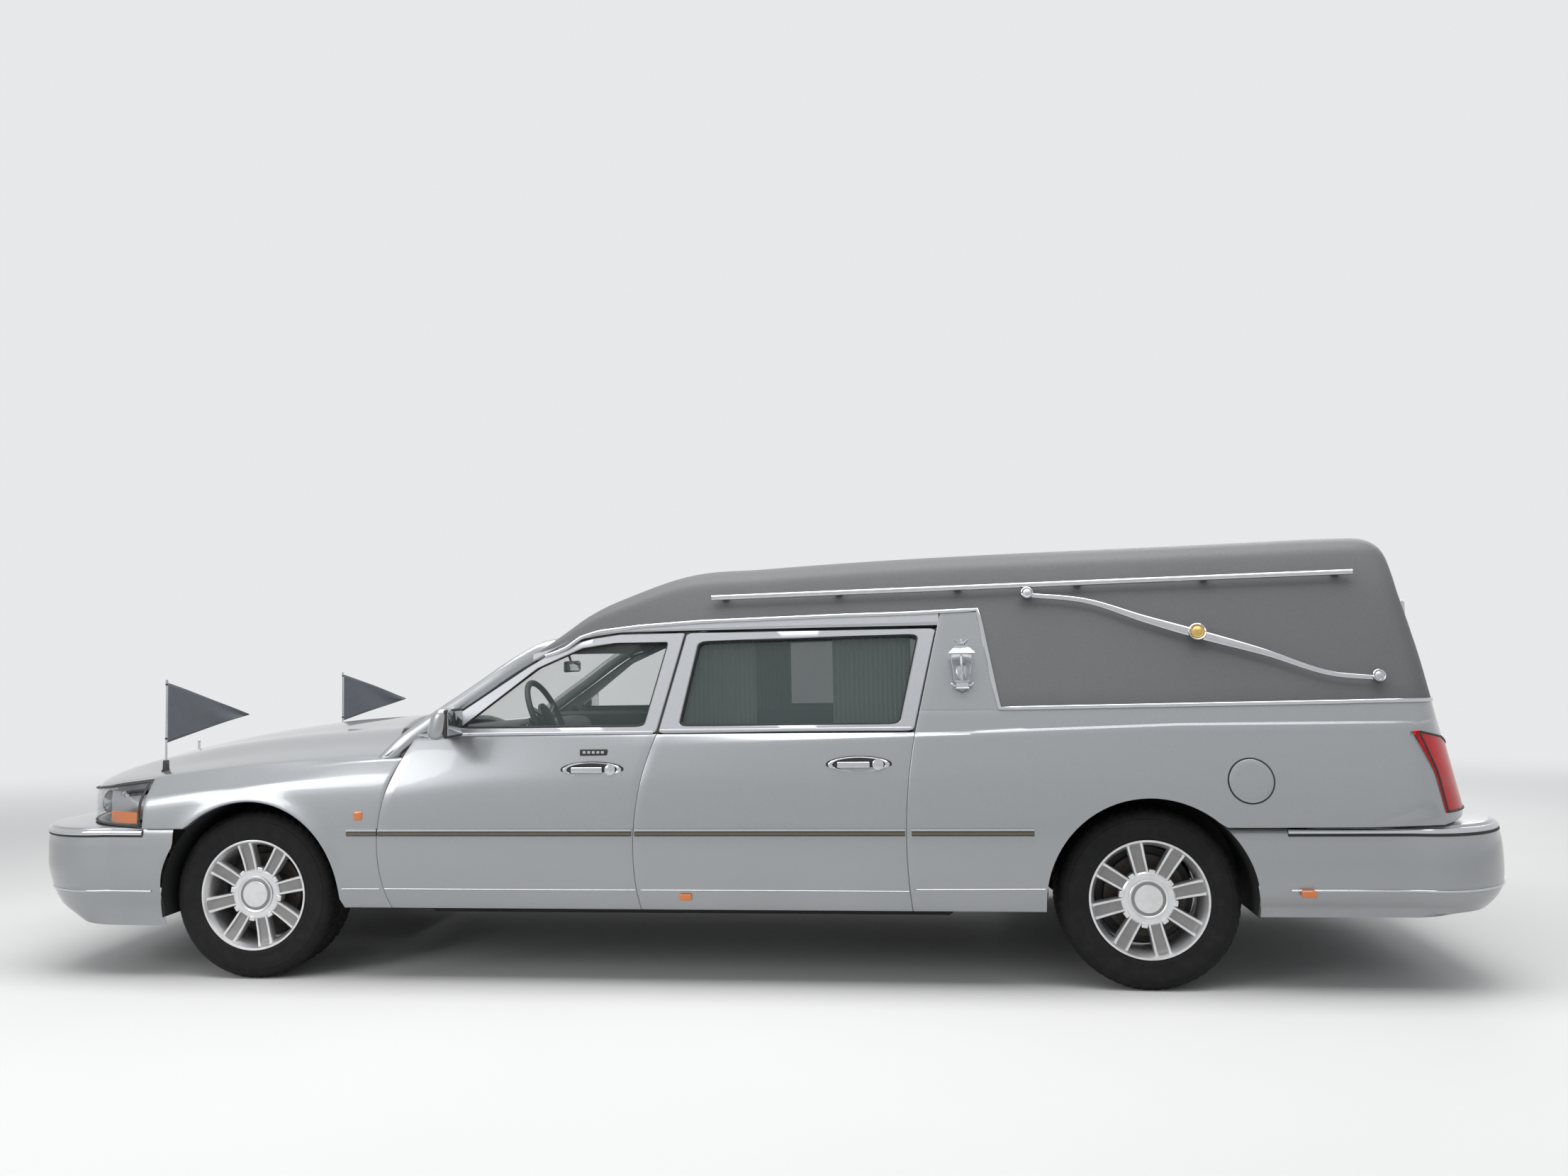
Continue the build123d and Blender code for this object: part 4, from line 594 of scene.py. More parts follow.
def under_steel():
    """Black chassis paint with dust and a trace of rust."""
    s = Shade("chassis_paint")
    dirt, rust = s.noise(9.0, 7.0), s.noise(24.0, 6.0).step(0.6, 0.78)
    base = s.tint(dirt, (0.016, 0.016, 0.016), (0.05, 0.045, 0.04))
    return s.finish(Base_Color=s.tint(rust * 0.5, base, (0.11, 0.045, 0.02)), Metallic=0.2,
                    Roughness=dirt * 0.25 + 0.6, Normal=s.bump(dirt, 0.3, 0.002))


def carpet():
    """Tufted carpet: fine bumps over broad shades."""
    s = Shade("carpet")
    tuft, shade = s.noise(700.0, 3.0), s.noise(5.0, 3.0)
    return s.finish(Base_Color=s.tint(shade, (0.022, 0.024, 0.024), (0.045, 0.046, 0.045)),
                    Roughness=tuft * 0.1 + 0.88, Normal=s.bump(tuft, 0.8, 0.003))


RECIPES = {
    "paint": paint,
    "vinyl": vinyl,
    "chrome": lambda: mottled("polished_chrome", (30.0,), ((0.60, 0.61, 0.63), (0.51, 0.52, 0.54)),
                              (0.1, 0.06), Metallic=1.0),
    "satin": lambda: mottled("satin_silver", (60.0, 3.0, (1, 12, 12)),
                             ((0.40, 0.41, 0.43), (0.50, 0.51, 0.53)), (0.15, 0.3), Metallic=0.9),
    "gold": lambda: mottled("pale_gold", (60.0, 3.0), ((0.125, 0.118, 0.088), (0.155, 0.145, 0.11)),
                            (0.05, 0.36), Metallic=0.9),
    "boss_gold": lambda: mottled("boss_gold", (60.0, 3.0), ((0.55, 0.37, 0.12), (0.66, 0.47, 0.18)),
                                 (0.1, 0.24), Metallic=1.0),
    "clear_glass": lambda: glass("clear_glass", (0.12, 0.16, 0.15), (0.02, 0.0), (0.05, 0.10),
                                 Specular_IOR_Level=0.7),
    "tinted_glass": lambda: glass("tinted_glass", (0.05, 0.072, 0.072), (0.03, 0.01), (0.06, 0.42),
                                  Specular_IOR_Level=0.6, Coat_Weight=0.6),
    "lens": lens,
    "amber": amber,
    "red_lens": red_lens,
    "tyre_rubber": tyre_rubber,
    "alloy": alloy,
    "alloy_grey": lambda: mottled("wheel_grey", (22.0, 5.0), ((0.2, 0.2, 0.205), (0.29, 0.28, 0.27)),
                                  (0.2, 0.4), Metallic=0.5),
    "black_plastic": lambda: mottled("black_plastic", (6.0, 3.0),
                                     ((0.012, 0.013, 0.013), (0.028, 0.029, 0.029)), (0.15, 0.5),
                                     grain=(700.0, 0.3, 0.0005)),
    "dash_skin": lambda: mottled("dash_skin", (5.0, 3.0), ((0.02, 0.026, 0.024), (0.04, 0.047, 0.044)),
                                 (0.1, 0.55), grain=(380.0, 0.4, 0.0006)),
    "seal_rubber": lambda: mottled("seal_rubber", (15.0, 3.0),
                                   ((0.008, 0.008, 0.008), (0.022, 0.022, 0.022)), (0.2, 0.6)),
    "seat_leather": seat_leather,
    "headliner": lambda: cloth("headliner", (0.3, 0.3, 0.28), (0.24, 0.24, 0.23)),
    "curtain": lambda: cloth("curtain_cloth", (0.56, 0.62, 0.59), (0.44, 0.5, 0.47)),
    "pennant": lambda: cloth("pennant_cloth", (0.078, 0.088, 0.102), (0.052, 0.060, 0.072), 500.0),
    "door_card": lambda: cloth("door_card", (0.035, 0.04, 0.038), (0.022, 0.026, 0.025), 600.0),
    "wood": wood,
    "under_steel": under_steel,
    "cast_iron": lambda: mottled("cast_iron", (90.0, 6.0), ((0.05, 0.048, 0.046), (0.13, 0.11, 0.09)),
                                 (0.3, 0.5), relief=(0.4, 0.002), Metallic=0.7),
    "pipe_steel": lambda: mottled("pipe_steel", (7.0, 6.0), ((0.2, 0.19, 0.18), (0.3, 0.21, 0.15)),
                                  (0.3, 0.35), Metallic=0.85),
    "carpet": carpet,
}

# The body's outer form, in tables and formulas

# x and height of the gap between hood and fender, and of the hood's crown
HOOD_SIDE = ((-1.072, 0.735), (-0.96, 0.765), (-0.8, 0.798), (-0.5, 0.838), (-0.1, 0.885), (0.4, 0.92),
             (0.76, 0.932))
HOOD_CROWN = ((-1.072, 0.745), (-0.96, 0.816), (-0.8, 0.884), (-0.5, 0.958), (-0.1, 1.018), (0.4, 1.056),
              (0.76, 1.075))
# Half widths of the hood, the waist, the belt, the roof's edge and the gate
HOOD_HALF = 0.905
WAIST_Y = 0.990
BELT_Y = 0.915
ROOF_EDGE_Y = 0.799
GATE_HALF = 0.640
# Heights of the sill, its crease, the bumpers, the belt, the doors and the gate
SILL_Z = 0.314
CREASE_Z = 0.390
BUMPER_TOP = 0.643
BELT_Z = 1.010
DOOR_TOP = 1.424
GATE_FOOT, GATE_HEAD = 0.668, 1.632
# The wheel arches' half length and rise over the hubs, and the front one's middle
ARCH_LENGTH = 0.398
ARCH_RISE = 0.405
FRONT_ARCH_X = 0.018
# Half a gap between panels, the radius of their rolled edges, the height of the waist, and the
# fender's drop from the hood's gap to its shoulder
GAP = 0.004
ROLL = 0.004
WAIST_Z = 0.62
FENDER_DROP = 0.085
# How much the sill, the glass, its frames and the roof's flank lean in, and the tail forward
SILL_SLOPE, GLASS_SLOPE, FRAME_SLOPE, ROOF_SLOPE, TAIL_SLOPE = 0.31, 0.2967, 0.2802, 0.3, 0.2235
# Heights of the lower flank's grid lines, and the shares of its upper parts
FLANK_ROWS = (SILL_Z, 0.35, 0.38, 0.386, 0.394, 0.40, *np.linspace(0.42, 0.85, 18))
SHOULDER_SHARES = (0.3, 0.6, 0.85, 0.95, 1.0)


def parabola(z, table):
    """x of a gap at a height: the parabola through three points, then a line up to the fourth."""
    (x0, z0), (x1, z1), (x2, z2), (x3, z3) = table
    a, b, c = np.polyfit((z0, z1, z2), (x0, x1, x2), 2)
    return np.where(z < z2, a * z * z + b * z + c, x2 + (z - z2) * (x3 - x2) / (z3 - z2))


def hinge_gap(z):
    """The gap ahead of the front door."""
    return parabola(z, ((0.642, 0.29), (0.589, 0.651), (0.718, 1.004), (0.72, 1.02)))


def door_gap(z):
    """The gap between the doors."""
    return parabola(z, ((1.687, 0.29), (1.66, 0.6), (1.745, 1.01), (1.854, 1.44)))


def quarter_gap(z):
    """The gap behind the rear door."""
    return parabola(z, ((2.773, 0.29), (2.752, 0.6), (2.794, 1.01), (2.895, 1.44)))


def shoulder_z(x):
    """Height of the flank's shoulder, a line that rises to the rear."""
    return np.interp(x, (0.56, 3.813), (0.934, 1.025))


def belt_z(x):
    """Height of the belt: level, then just over the shoulder."""
    return np.maximum(BELT_Z, shoulder_z(x) + 0.008)


def half_section(z, sharpness, flank, lower, upper, top):
    """Half width of a flank: sill, curved flank, shoulder and ledge, their corners rounded. The
    last two run in straight lines from a lower height to an upper and to the top one, each a
    (half width, height)."""
    (y0, z0), (y1, z1), (y2, z2) = lower, upper, top
    sill = 0.975 - (CREASE_Z - z) * SILL_SLOPE
    shoulder = y0 - (z - z0) * (y0 - y1) / (z1 - z0)
    ledge = y1 - (z - z1) * (y1 - y2) / (z2 - z1)
    return soft_min(sharpness, sill, flank, shoulder, ledge) + 0.002


def cabin_y(x, z):
    """Half width of doors and quarters; the flank is a parabola about the waist."""
    flank = WAIST_Y - (z - WAIST_Z) ** 2 * 0.284
    return half_section(z, 0.0025, flank, (0.975, 0.85), (0.938, shoulder_z(x)), (BELT_Y, belt_z(x)))


def side_plane_y(z):
    """Half width of the leaning windows and of the landau's side, up past the roof's edge."""
    return np.where(z < DOOR_TOP, ROOF_EDGE_Y + (DOOR_TOP - z) * GLASS_SLOPE,
                    0.797 - ROOF_SLOPE * (z - 1.432))


def frame_y(z):
    """Half width of the doors' window frames."""
    return BELT_Y - (z - BELT_Z) * FRAME_SLOPE


def arch_reach(x, z, wheel_x):
    """Distance from a hub as a share of the arch's ellipse."""
    return np.hypot((x - wheel_x) / ARCH_LENGTH, (z - HUB_Z) / ARCH_RISE)


def front_y(x, z):
    """Half width of the fender, with the turn towards the hood's gap and a lip round the arch."""
    gap = smooth_table(x, HOOD_SIDE)
    top = gap - FENDER_DROP
    crease = gap - 0.040 + 0.032 * ease(np.clip((x + 0.1) / 0.7, 0, 1))
    half = (top - CREASE_Z) / 2
    flank = WAIST_Y - (z - CREASE_Z - half) ** 2 * 0.015 / half ** 2
    lip = 0.006 * hump(arch_reach(x, z, FRONT_ARCH_X), 1, 0.07)
    return half_section(z, 0.004, flank, (0.975, top), (0.938, crease), (HOOD_HALF, gap)) + lip


# Plan of the tail: a wide shallow arc across, then a tighter one round each corner
TAIL_CORNER_Y = 0.7
TAIL_ARC = arc((-0.54, 0.992), (-0.212, 0.908), (-0.12, TAIL_CORNER_Y), 60)
TAIL_SWEEP = 2.1017
TAIL_FOOT_X, TAIL_FOOT_Z = 5.116, 0.31


def tail_back(z):
    """x of the tail's middle, a line that leans forward."""
    return TAIL_FOOT_X - TAIL_SLOPE * (z - TAIL_FOOT_Z)


def tail_x(y, z):
    """x of the tail's outer face."""
    y = np.abs(y)
    by_width = TAIL_ARC[np.argsort(TAIL_ARC[:, 1])]
    corner = np.interp(y, by_width[:, 1], by_width[:, 0])
    face = np.sqrt(np.maximum(TAIL_SWEEP ** 2 - np.minimum(y, TAIL_CORNER_Y) ** 2, 0)) - TAIL_SWEEP
    return tail_back(z) + np.where(y > TAIL_CORNER_Y, corner, face)


# Roof sections: x, rail height, rail half width, shoulder drop, crown height
ROOF = np.array((
    (1.235, 1.372, 0.813, 0.046, 1.431),
    (1.370, 1.416, 0.805, 0.074, 1.509),
    (1.570, 1.432, 0.797, 0.106, 1.601),
    (1.830, 1.432, 0.797, 0.110, 1.686),
    (2.150, 1.432, 0.797, 0.110, 1.707),
    (4.080, 1.432, 0.797, 0.110, 1.767),
    (4.570, 1.432, 0.797, 0.110, 1.778),
    (4.900, 1.432, 0.795, 0.110, 1.778),
))
# Lower edge of the vinyl, x and height: over the doors, then down the landau's front and back
VINYL_EDGE = ((1.13, 1.325), (1.235, 1.352), (1.286, 1.368), (1.371, 1.409), (1.475, 1.433),
              (1.65, 1.452), (1.91, 1.467), (2.507, 1.481), (2.773, 1.484), (3.06, 1.494),
              (3.128, 1.096), (4.45, 1.106), (4.95, 1.118))


def vinyl_z(x):
    """Height of the vinyl's lower edge."""
    return np.interp(x, *np.array(VINYL_EDGE).T)


def roof_rows(x, upright, crown):
    """(y, z) of the roof's half section: the flank from the vinyl's edge, then a superellipse."""
    rail_z, rail, drop, top = (smooth_table(x, ROOF[:, (0, column)])[:, None] for column in (1, 2, 3, 4))
    low, shoulder = vinyl_z(x)[:, None], top - drop
    half = rail - ROOF_SLOPE * (shoulder - rail_z)
    z1 = low + (np.maximum(shoulder, low + 0.002) - low) * np.linspace(0, 1, upright)
    over = half + ROOF_SLOPE * (shoulder - z1)
    y1 = np.where(z1 < rail_z, rail + (rail_z - z1) * GLASS_SLOPE, over)
    angle = np.linspace(0, math.pi / 2, crown)[1:]
    c, s = np.cos(angle), np.sin(angle)
    power = 4.2
    r = (c ** power + s ** power) ** (-1 / power)
    z2 = shoulder + drop * (r * s)
    y2 = (half - ROOF_SLOPE * (z2 - shoulder)) * (r * c)
    return np.concatenate([y1, y2], -1), np.concatenate([z1, z2], -1)


def side_grid(x, y, z):
    """Points on the left side from x, half width and height."""
    return stacked(x, -y, z)


def on_flank(x, z, y_of=cabin_y):
    """Half width of a flank at one point."""
    return float(y_of(np.array(x), np.array(z)))


def from_lower(lower, knots):
    """Heights that climb through the knots, each a little above the one before where the edge
    cuts in."""
    knots = np.array(knots)
    steps = 0.0015 * np.arange(len(knots))[:, None]
    z = np.maximum(knots, lower[None] + steps)
    z[0] = lower
    return z


def flank_knots(shoulder, belt, shares):
    """Grid heights of a flank up to its belt, from rows at fixed heights and shares above them."""
    rows = [np.full_like(shoulder, v) for v in FLANK_ROWS]
    rows += [FLANK_ROWS[-1] + (shoulder - FLANK_ROWS[-1]) * t for t in SHOULDER_SHARES]
    return rows + [shoulder + (belt - shoulder) * t for t in shares]


def arch_z(x, wheel_x, low_front, low_back):
    """Lower edge of a wing: straight runs ahead and behind, the wheel's ellipse between."""
    inside = np.clip(1 - ((x - wheel_x) / ARCH_LENGTH) ** 2, 0, None)
    ellipse = HUB_Z + ARCH_RISE * np.sqrt(inside)
    run = np.where(x < wheel_x, low_front, low_back)
    return np.where(np.abs(x - wheel_x) <= ARCH_LENGTH, np.maximum(ellipse, run), run)


def arch_columns(wheel_x):
    """x of the grid's columns over an arch, in equal steps of angle."""
    return wheel_x - ARCH_LENGTH * np.cos(np.linspace(0, math.pi, 41))


BODY_LOOKS = ("paint", "chrome", "gold", "black_plastic", "amber", "seal_rubber", "satin", "door_card",
              "headliner", "vinyl")
PAINT, CHROME, GOLD, BLACK, AMBER, SEAL, SATIN, CARD, LINER, VINYL = range(10)


def add_strip(pile, start, stop, heights, half, proud, mark, y_of):
    """A raised moulding along a side: foot, two shoulders and foot again, its ends down on the
    panel."""
    xs, zs = np.linspace(start, stop, 20), np.linspace(*heights, 20)
    y = y_of(xs, zs)[:, None]
    rises = zs[:, None] + np.array((-half, -half + 0.0025, half - 0.0025, half))
    sunk = 0.001
    grid = side_grid(xs[:, None], y + np.array((-sunk, proud, proud, -sunk)), rises)
    foot = side_grid(xs[:, None], y - sunk, rises)
    middle_z = (heights[0] + heights[1]) / 2
    core = ((start + stop) / 2, 0.05 - on_flank(xs.mean(), middle_z, y_of), middle_z)
    pile.add(np.concatenate([foot[:1], grid, foot[-1:]]), mark, core)


def waist_strips(pile, start, stop, y_of):
    """Chrome mouldings at the waist with a gold line between them."""
    for height, half, proud, mark in ((0.634, 0.0065, 0.007, CHROME), (0.620, 0.0080, 0.004, GOLD),
                                      (0.6095, 0.0030, 0.006, CHROME)):
        add_strip(pile, start, stop, (height, height), half, proud, mark, y_of)


def sill_strip(pile, start, stop, heights, y_of):
    """A thin chrome line along the sill's crease."""
    add_strip(pile, start, stop, heights, 0.003, 0.002, CHROME, y_of)


def gap_seal(pile, gap, top=1.42):
    """Dark weather strip behind a door gap, from the sill up beside the window."""
    z = np.linspace(0.318, top, 40)
    y = np.where(z < BELT_Z, cabin_y(gap(z), z), side_plane_y(z)) - 0.017
    pile.tube(side_grid(gap(z), y, z), 0.009, 0.006, SEAL, up=(0, 1, 0))


def wheel_house(pile, wheel_x, first, last):
    """Dark liner: the arch's ellipse carried inwards, down past the axle at both ends."""
    turn = np.radians(np.linspace(first, last, 40))[:, None]
    x = wheel_x - (ARCH_LENGTH + 0.003) * np.cos(turn)
    z = HUB_Z + (ARCH_RISE + 0.003) * np.sin(turn)
    pile.add(side_grid(x, np.linspace(0.955, 0.600, 6), z), BLACK, (wheel_x, -0.8, 2.0))


class HEARSE_OT_fenders(bpy.types.Operator):
    """Both front fenders with their arches, repeaters and mouldings"""
    bl_idname = "hearse.fenders"
    bl_label = "Fenders"

    def execute(self, context):
        front_x, hinge_x = -0.446, 0.4162
        arch = arch_columns(FRONT_ARCH_X)
        columns = np.concatenate([np.linspace(front_x, FRONT_ARCH_X - ARCH_LENGTH, 5)[:-1], arch])
        rear = np.linspace(0, 1, 14)[1:]
        nominal = np.concatenate([columns, hinge_x + rear * 0.28])
        gap = smooth_table(nominal, HOOD_SIDE)
        top, low = gap - FENDER_DROP, 0.397
        knots = [np.full_like(gap, v) for v in (0.312, 0.35, 0.38, 0.389, low)]
        knots += [low + (top - low) * t for t in np.linspace(0, 1, 16)[1:]]
        knots += [top + (gap - top) * t
                  for t in (0.15, 0.3, 0.45, 0.55, 0.65, 0.75, 0.83, 0.9, 0.96, 1.0)]
        z = from_lower(arch_z(nominal, FRONT_ARCH_X, BUMPER_TOP + 0.001, SILL_Z), knots)
        x = np.broadcast_to(nominal, z.shape).copy()
        count = len(columns)
        x[:, count:] = hinge_x + rear * (hinge_gap(z[:, count:]) - GAP - hinge_x)
        core = (0.1, 0.0, 0.6)
        skin = rolled(side_grid(x, front_y(x, z), z), ROLL, 0.022, core)
        foot_x, head_x = np.linspace(0.560, 0.712, 12), np.linspace(0.600, 0.722, 12)
        foot = side_grid(foot_x, HOOD_HALF, smooth_table(foot_x, HOOD_SIDE) - 0.002)
        head_z = 0.935 + (head_x - 0.600) * 0.72
        head = side_grid(head_x, frame_y(head_z) - 0.002, head_z)
        corner = foot + (head - foot) * np.linspace(0, 1, 10)[:, None, None]
        for side, word in SIDES:
            pile = Pile(side)
            pile.add(skin, PAINT, core)
            waist_strips(pile, 0.455, 0.587, front_y)
            sill_strip(pile, 0.430, 0.590, (0.392, 0.392), front_y)
            pile.block((0.486, -0.996, 0.674), (0.523, -0.978, 0.710), 0.006, AMBER)
            gap_seal(pile, hinge_gap, 1.0)
            wheel_house(pile, FRONT_ARCH_X, -12, 172)
            pile.add(corner, PAINT, (0.6, 0.0, 0.9))
            pile.piece("fender_skin_" + word, BODY_LOOKS, replaces=("fender_" + word,))
        return {"FINISHED"}


# The windows' frames and openings: x and height of their corners
FRONT_DOOR_TOP = ((0.722, 1.006), (0.770, 1.016), (1.180, 1.290), (1.330, 1.380), (1.460, 1.408),
                  (1.570, 1.422), (1.846, 1.422), (1.741, 1.012))
REAR_DOOR_TOP = ((1.749, 1.012), (1.854, 1.422), (2.887, 1.422), (2.790, 1.012))
FRONT_WINDOW = ((0.905, 1.040), (1.222, 1.284), (1.409, 1.366), (1.549, 1.384), (1.776, 1.385),
                (1.690, 1.040))
REAR_WINDOW = ((1.834, 1.040), (1.905, 1.385), (2.816, 1.399), (2.734, 1.040))


def softened(outline, share=0.12, count=4):
    """A closed outline with its corners cut to quadratic curves that start a share of the side
    away."""
    pts = np.array(outline, float)
    before, after = np.roll(pts, 1, 0), np.roll(pts, -1, 0)
    t = np.linspace(0, 1, count)[None, :, None]
    a, b = ((pts + (other - pts) * share)[:, None] for other in (before, after))
    return bend(a, pts[:, None], b, t).reshape(-1, 2)


def frame_rings(outer, inner, half_width, thickness, lip=0.004):
    """A flat ring between two outlines: back edge, eased front edges and inner edge, at y from a
    half width."""
    a, b = matched_rings(outer, inner, np.array(inner, float).mean(0))
    width = np.linalg.norm(b - a, axis=-1, keepdims=True)
    cut = np.minimum(lip / np.maximum(width, 1e-6), 0.4)
    rows = [(a, thickness), (a, lip), (a + (b - a) * cut, 0.0), (b + (a - b) * cut, 0.0), (b, lip),
            (b, thickness)]
    return np.stack([side_grid(p[:, 0], half_width(p[:, 1]) - depth, p[:, 1]) for p, depth in rows])


def door_panel(first_gap, last_gap):
    """Outer skin of a door between two gap curves."""
    share, top = np.linspace(0, 1, 30), 1.008
    nominal = first_gap(0.7) + (last_gap(0.7) - first_gap(0.7)) * share
    z = np.array(flank_knots(shoulder_z(nominal), top, (0.1, 0.25, 0.5, 0.75, 1.0)))
    first, last = first_gap(z) + GAP, last_gap(z) - GAP
    x = first + (last - first) * share
    return side_grid(x, cabin_y(x, z), z)


def door_lining(first_gap, last_gap, pile):
    """Inner card of a door with an arm rest, a map pocket and a pull."""
    z = np.linspace(0.33, 1.0, 18)[:, None]
    first, last = first_gap(z) + 0.014, last_gap(z) - 0.014
    x = first + (last - first) * np.linspace(0, 1, 16)
    card = side_grid(x, cabin_y(x, z) - 0.062 - 0.006 * hump(z, 0.86, 0.05), z)
    start, stop = float(first.mean()), float(last.mean())
    core = (start, -2.0, 0.7)
    pile.add(rolled(card, 0.008, 0.030, core), CARD, core)
    for ahead, behind, low, high, back, front, radius, mark in (
            (start + 0.28, stop - 0.22, 0.76, 0.81, -0.915, -0.850, 0.02, CARD),
            (start + 0.25, stop - 0.30, 0.40, 0.52, -0.925, -0.875, 0.014, CARD),
            (stop - 0.42, stop - 0.28, 0.87, 0.90, -0.915, -0.883, 0.010, CHROME)):
        pile.block((ahead, back, low), (behind, front, high), radius, mark)


def door_handle(pile, x, z):
    """Chrome escutcheon of an oval plan with a lift paddle over a dark cup and a round key end.
    The profiles are (distance off the door, share of the half size)."""
    y = on_flank(x, z)
    for profile, mark, core_y in (
            (((-0.004, 1.0), (0.004, 0.985), (0.0065, 0.94), (0.0055, 0.86), (0.002, 0.82)),
             CHROME, -0.9),
            (((-0.003, 1.07), (0.0018, 1.05), (0.0018, 0.97)), SEAL, -0.9),
            (((0.0050, 0.86), (0.0030, 0.80), (0.0026, 0.5), (0.0026, 0.0)), BLACK, -0.8)):
        oval_plan = lathe(profile, (0, 0, 0), (0, -1, 0), 40) * (0.124, 1, 0.031)
        pile.add(oval_plan + (x, -y, z), mark, (x, core_y, z), loop="u")
    pile.block((x - 0.086, -y - 0.0125, z - 0.013), (x + 0.044, -y - 0.003, z + 0.011), 0.004, CHROME)
    pile.turn(((-0.002, 0.023), (0.009, 0.022), (0.0115, 0.018), (0.0115, 0.0)), (x + 0.076, -y, z),
              (0, -1, 0), CHROME, 24, (x + 0.078, -0.9, z))


def window_frame(pile, outer, inner):
    """Satin frame, its dark seals round the opening and a chrome bead at the belt."""
    opening = softened(inner, 0.05)
    core = (np.mean([p[0] for p in inner]), 0, 1.2)
    pile.add(frame_rings(softened(outer, 0.03), opening, frame_y, 0.042), SATIN, core, loop="v")
    smaller = np.array(inner)
    smaller = smaller + (smaller.mean(0) - smaller) * (0.014, 0.036)
    seal = frame_rings(opening, softened(smaller, 0.05), lambda z: frame_y(z) - 0.006, 0.028, 0.003)
    pile.add(seal, SEAL, core, loop="v")
    foot = min(p[1] for p in outer)
    xs = [p[0] for p in outer if p[1] < foot + 0.012]
    add_strip(pile, min(xs) + 0.01, max(xs) - 0.01, (foot + 0.010, foot + 0.010), 0.007, 0.006, CHROME,
              lambda x, z: frame_y(z))


def door_mirror(pile):
    """Painted shell with a rounded nose, black root and a framed mirror facing back."""
    shell = rounded_box((0.853, -1.138, 1.008), (0.936, -0.952, 1.137), 0.038, 5)
    shell[..., 0] += (shell[..., 2] - 1.07) * 0.25 - (shell[..., 1] + 1.045) * 0.12
    pile.add(shell, PAINT)
    pile.block((0.928, -1.132, 1.014), (0.944, -0.960, 1.130), 0.008, BLACK)
    pile.block((0.940, -1.122, 1.024), (0.947, -0.970, 1.120), 0.003, CHROME, 2)
    pile.block((0.845, -0.985, 1.016), (0.888, -0.905, 1.056), 0.012, BLACK)
    foot_x = np.array(((0.785, 0.79), (0.79, 0.905), (0.905, 0.905)))
    foot_z = np.array(((1.022, 1.028), (1.036, 1.115), (1.03, 1.03)))
    pile.add(side_grid(foot_x, frame_y(1.02) + 0.004, foot_z), BLACK, (0.86, 0, 1.05))


def keypad(pile, x, z):
    """Black strip with five plain keys."""
    y = on_flank(x, z)
    pile.block((1.433, -y - 0.005, 0.926), (1.548, -y + 0.002, 0.954), 0.005, BLACK)
    for key in 1.446 + 0.019 * np.arange(5):
        pile.block((key, -y - 0.0065, 0.935), (key + 0.013, -y, 0.945), 0.002, SATIN)


class HEARSE_OT_doors(bpy.types.Operator):
    """Four side doors: outer skins, window frames, linings, handles, mirrors and mouldings"""
    bl_idname = "hearse.doors"
    bl_label = "Doors"

    def execute(self, context):
        plans = (
            ("front", "clear_glass", hinge_gap, door_gap, FRONT_DOOR_TOP, FRONT_WINDOW, (1.489, 0.873)),
            ("rear", "tinted_glass", door_gap, quarter_gap, REAR_DOOR_TOP, REAR_WINDOW, (2.570, 0.887)),
        )
        for place, pane, first_gap, last_gap, outer, inner, handle in plans:
            skin = door_panel(first_gap, last_gap)
            core = (float(skin[..., 0].mean()), 0.0, 0.65)
            skin = rolled(skin, ROLL, 0.024, core)
            start, stop = float(first_gap(WAIST_Z)) + 0.006, float(last_gap(WAIST_Z)) - 0.006
            for side, word in SIDES:
                pile = Pile(side)
                pile.add(skin, PAINT, core)
                door_lining(first_gap, last_gap, pile)
                window_frame(pile, outer, inner)
                waist_strips(pile, start, stop, cabin_y)
                sill_strip(pile, start + 0.02, stop + 0.01, (0.393, 0.393), cabin_y)
                door_handle(pile, *handle)
                if place == "front":
                    door_mirror(pile)
                    keypad(pile, 1.49, 0.94)
                else:
                    pile.block((1.845, -0.981, 0.353), (1.893, -0.966, 0.378), 0.004, AMBER)
                door = f"{place}_door_{word}"
                pile.piece(f"{place}_door_skin_{word}", BODY_LOOKS, body=door, replaces=(door,))
        for place, pane, *_ in plans:
            for _, word in SIDES:
                dress(f"{place}_glass_{word}", pane, f"{place}_door_{word}", name=f"{place}_pane_{word}")
        return {"FINISHED"}


def tail_rows(x, y, z, round_by, steps=7, across=12):
    """Rows that meet the tail: straight to a point short of it, a quadratic bend, then over the
    tail's face to the nearest point of the gate's opening."""
    clear, radius = 0.008, 0.060
    inner_y = np.clip(np.abs(y), 0, GATE_HALF + clear - radius)
    inner_z = np.clip(z, GATE_FOOT - clear + radius, GATE_HEAD + clear - radius)
    away = np.stack([np.abs(y) - inner_y, z - inner_z], -1)
    goal = np.stack([inner_y, inner_z], -1) + radius * unit(away)
    here = np.stack([np.abs(y), z], -1)
    exit_x = tail_x(y, z)
    distance = np.maximum(np.linalg.norm(goal - here, axis=-1), 1e-4)
    start = exit_x - round_by
    turned = here + (goal - here) * np.minimum(round_by / distance, 0.85)[:, None]

    def at(x, point):
        return np.concatenate([x[:, None], point], -1)[:, None]

    t = np.linspace(0, 1, steps)[None, :, None]
    rounding = bend(at(start, here), at(exit_x, here), at(tail_x(*turned.T), turned), t)
    flat = turned[:, None] + (goal - turned)[:, None] * np.linspace(0, 1, across)[1:][None, :, None]
    face = np.concatenate([tail_x(flat[..., :1], flat[..., 1:]), flat], -1)
    return start, np.concatenate([rounding, face], 1)


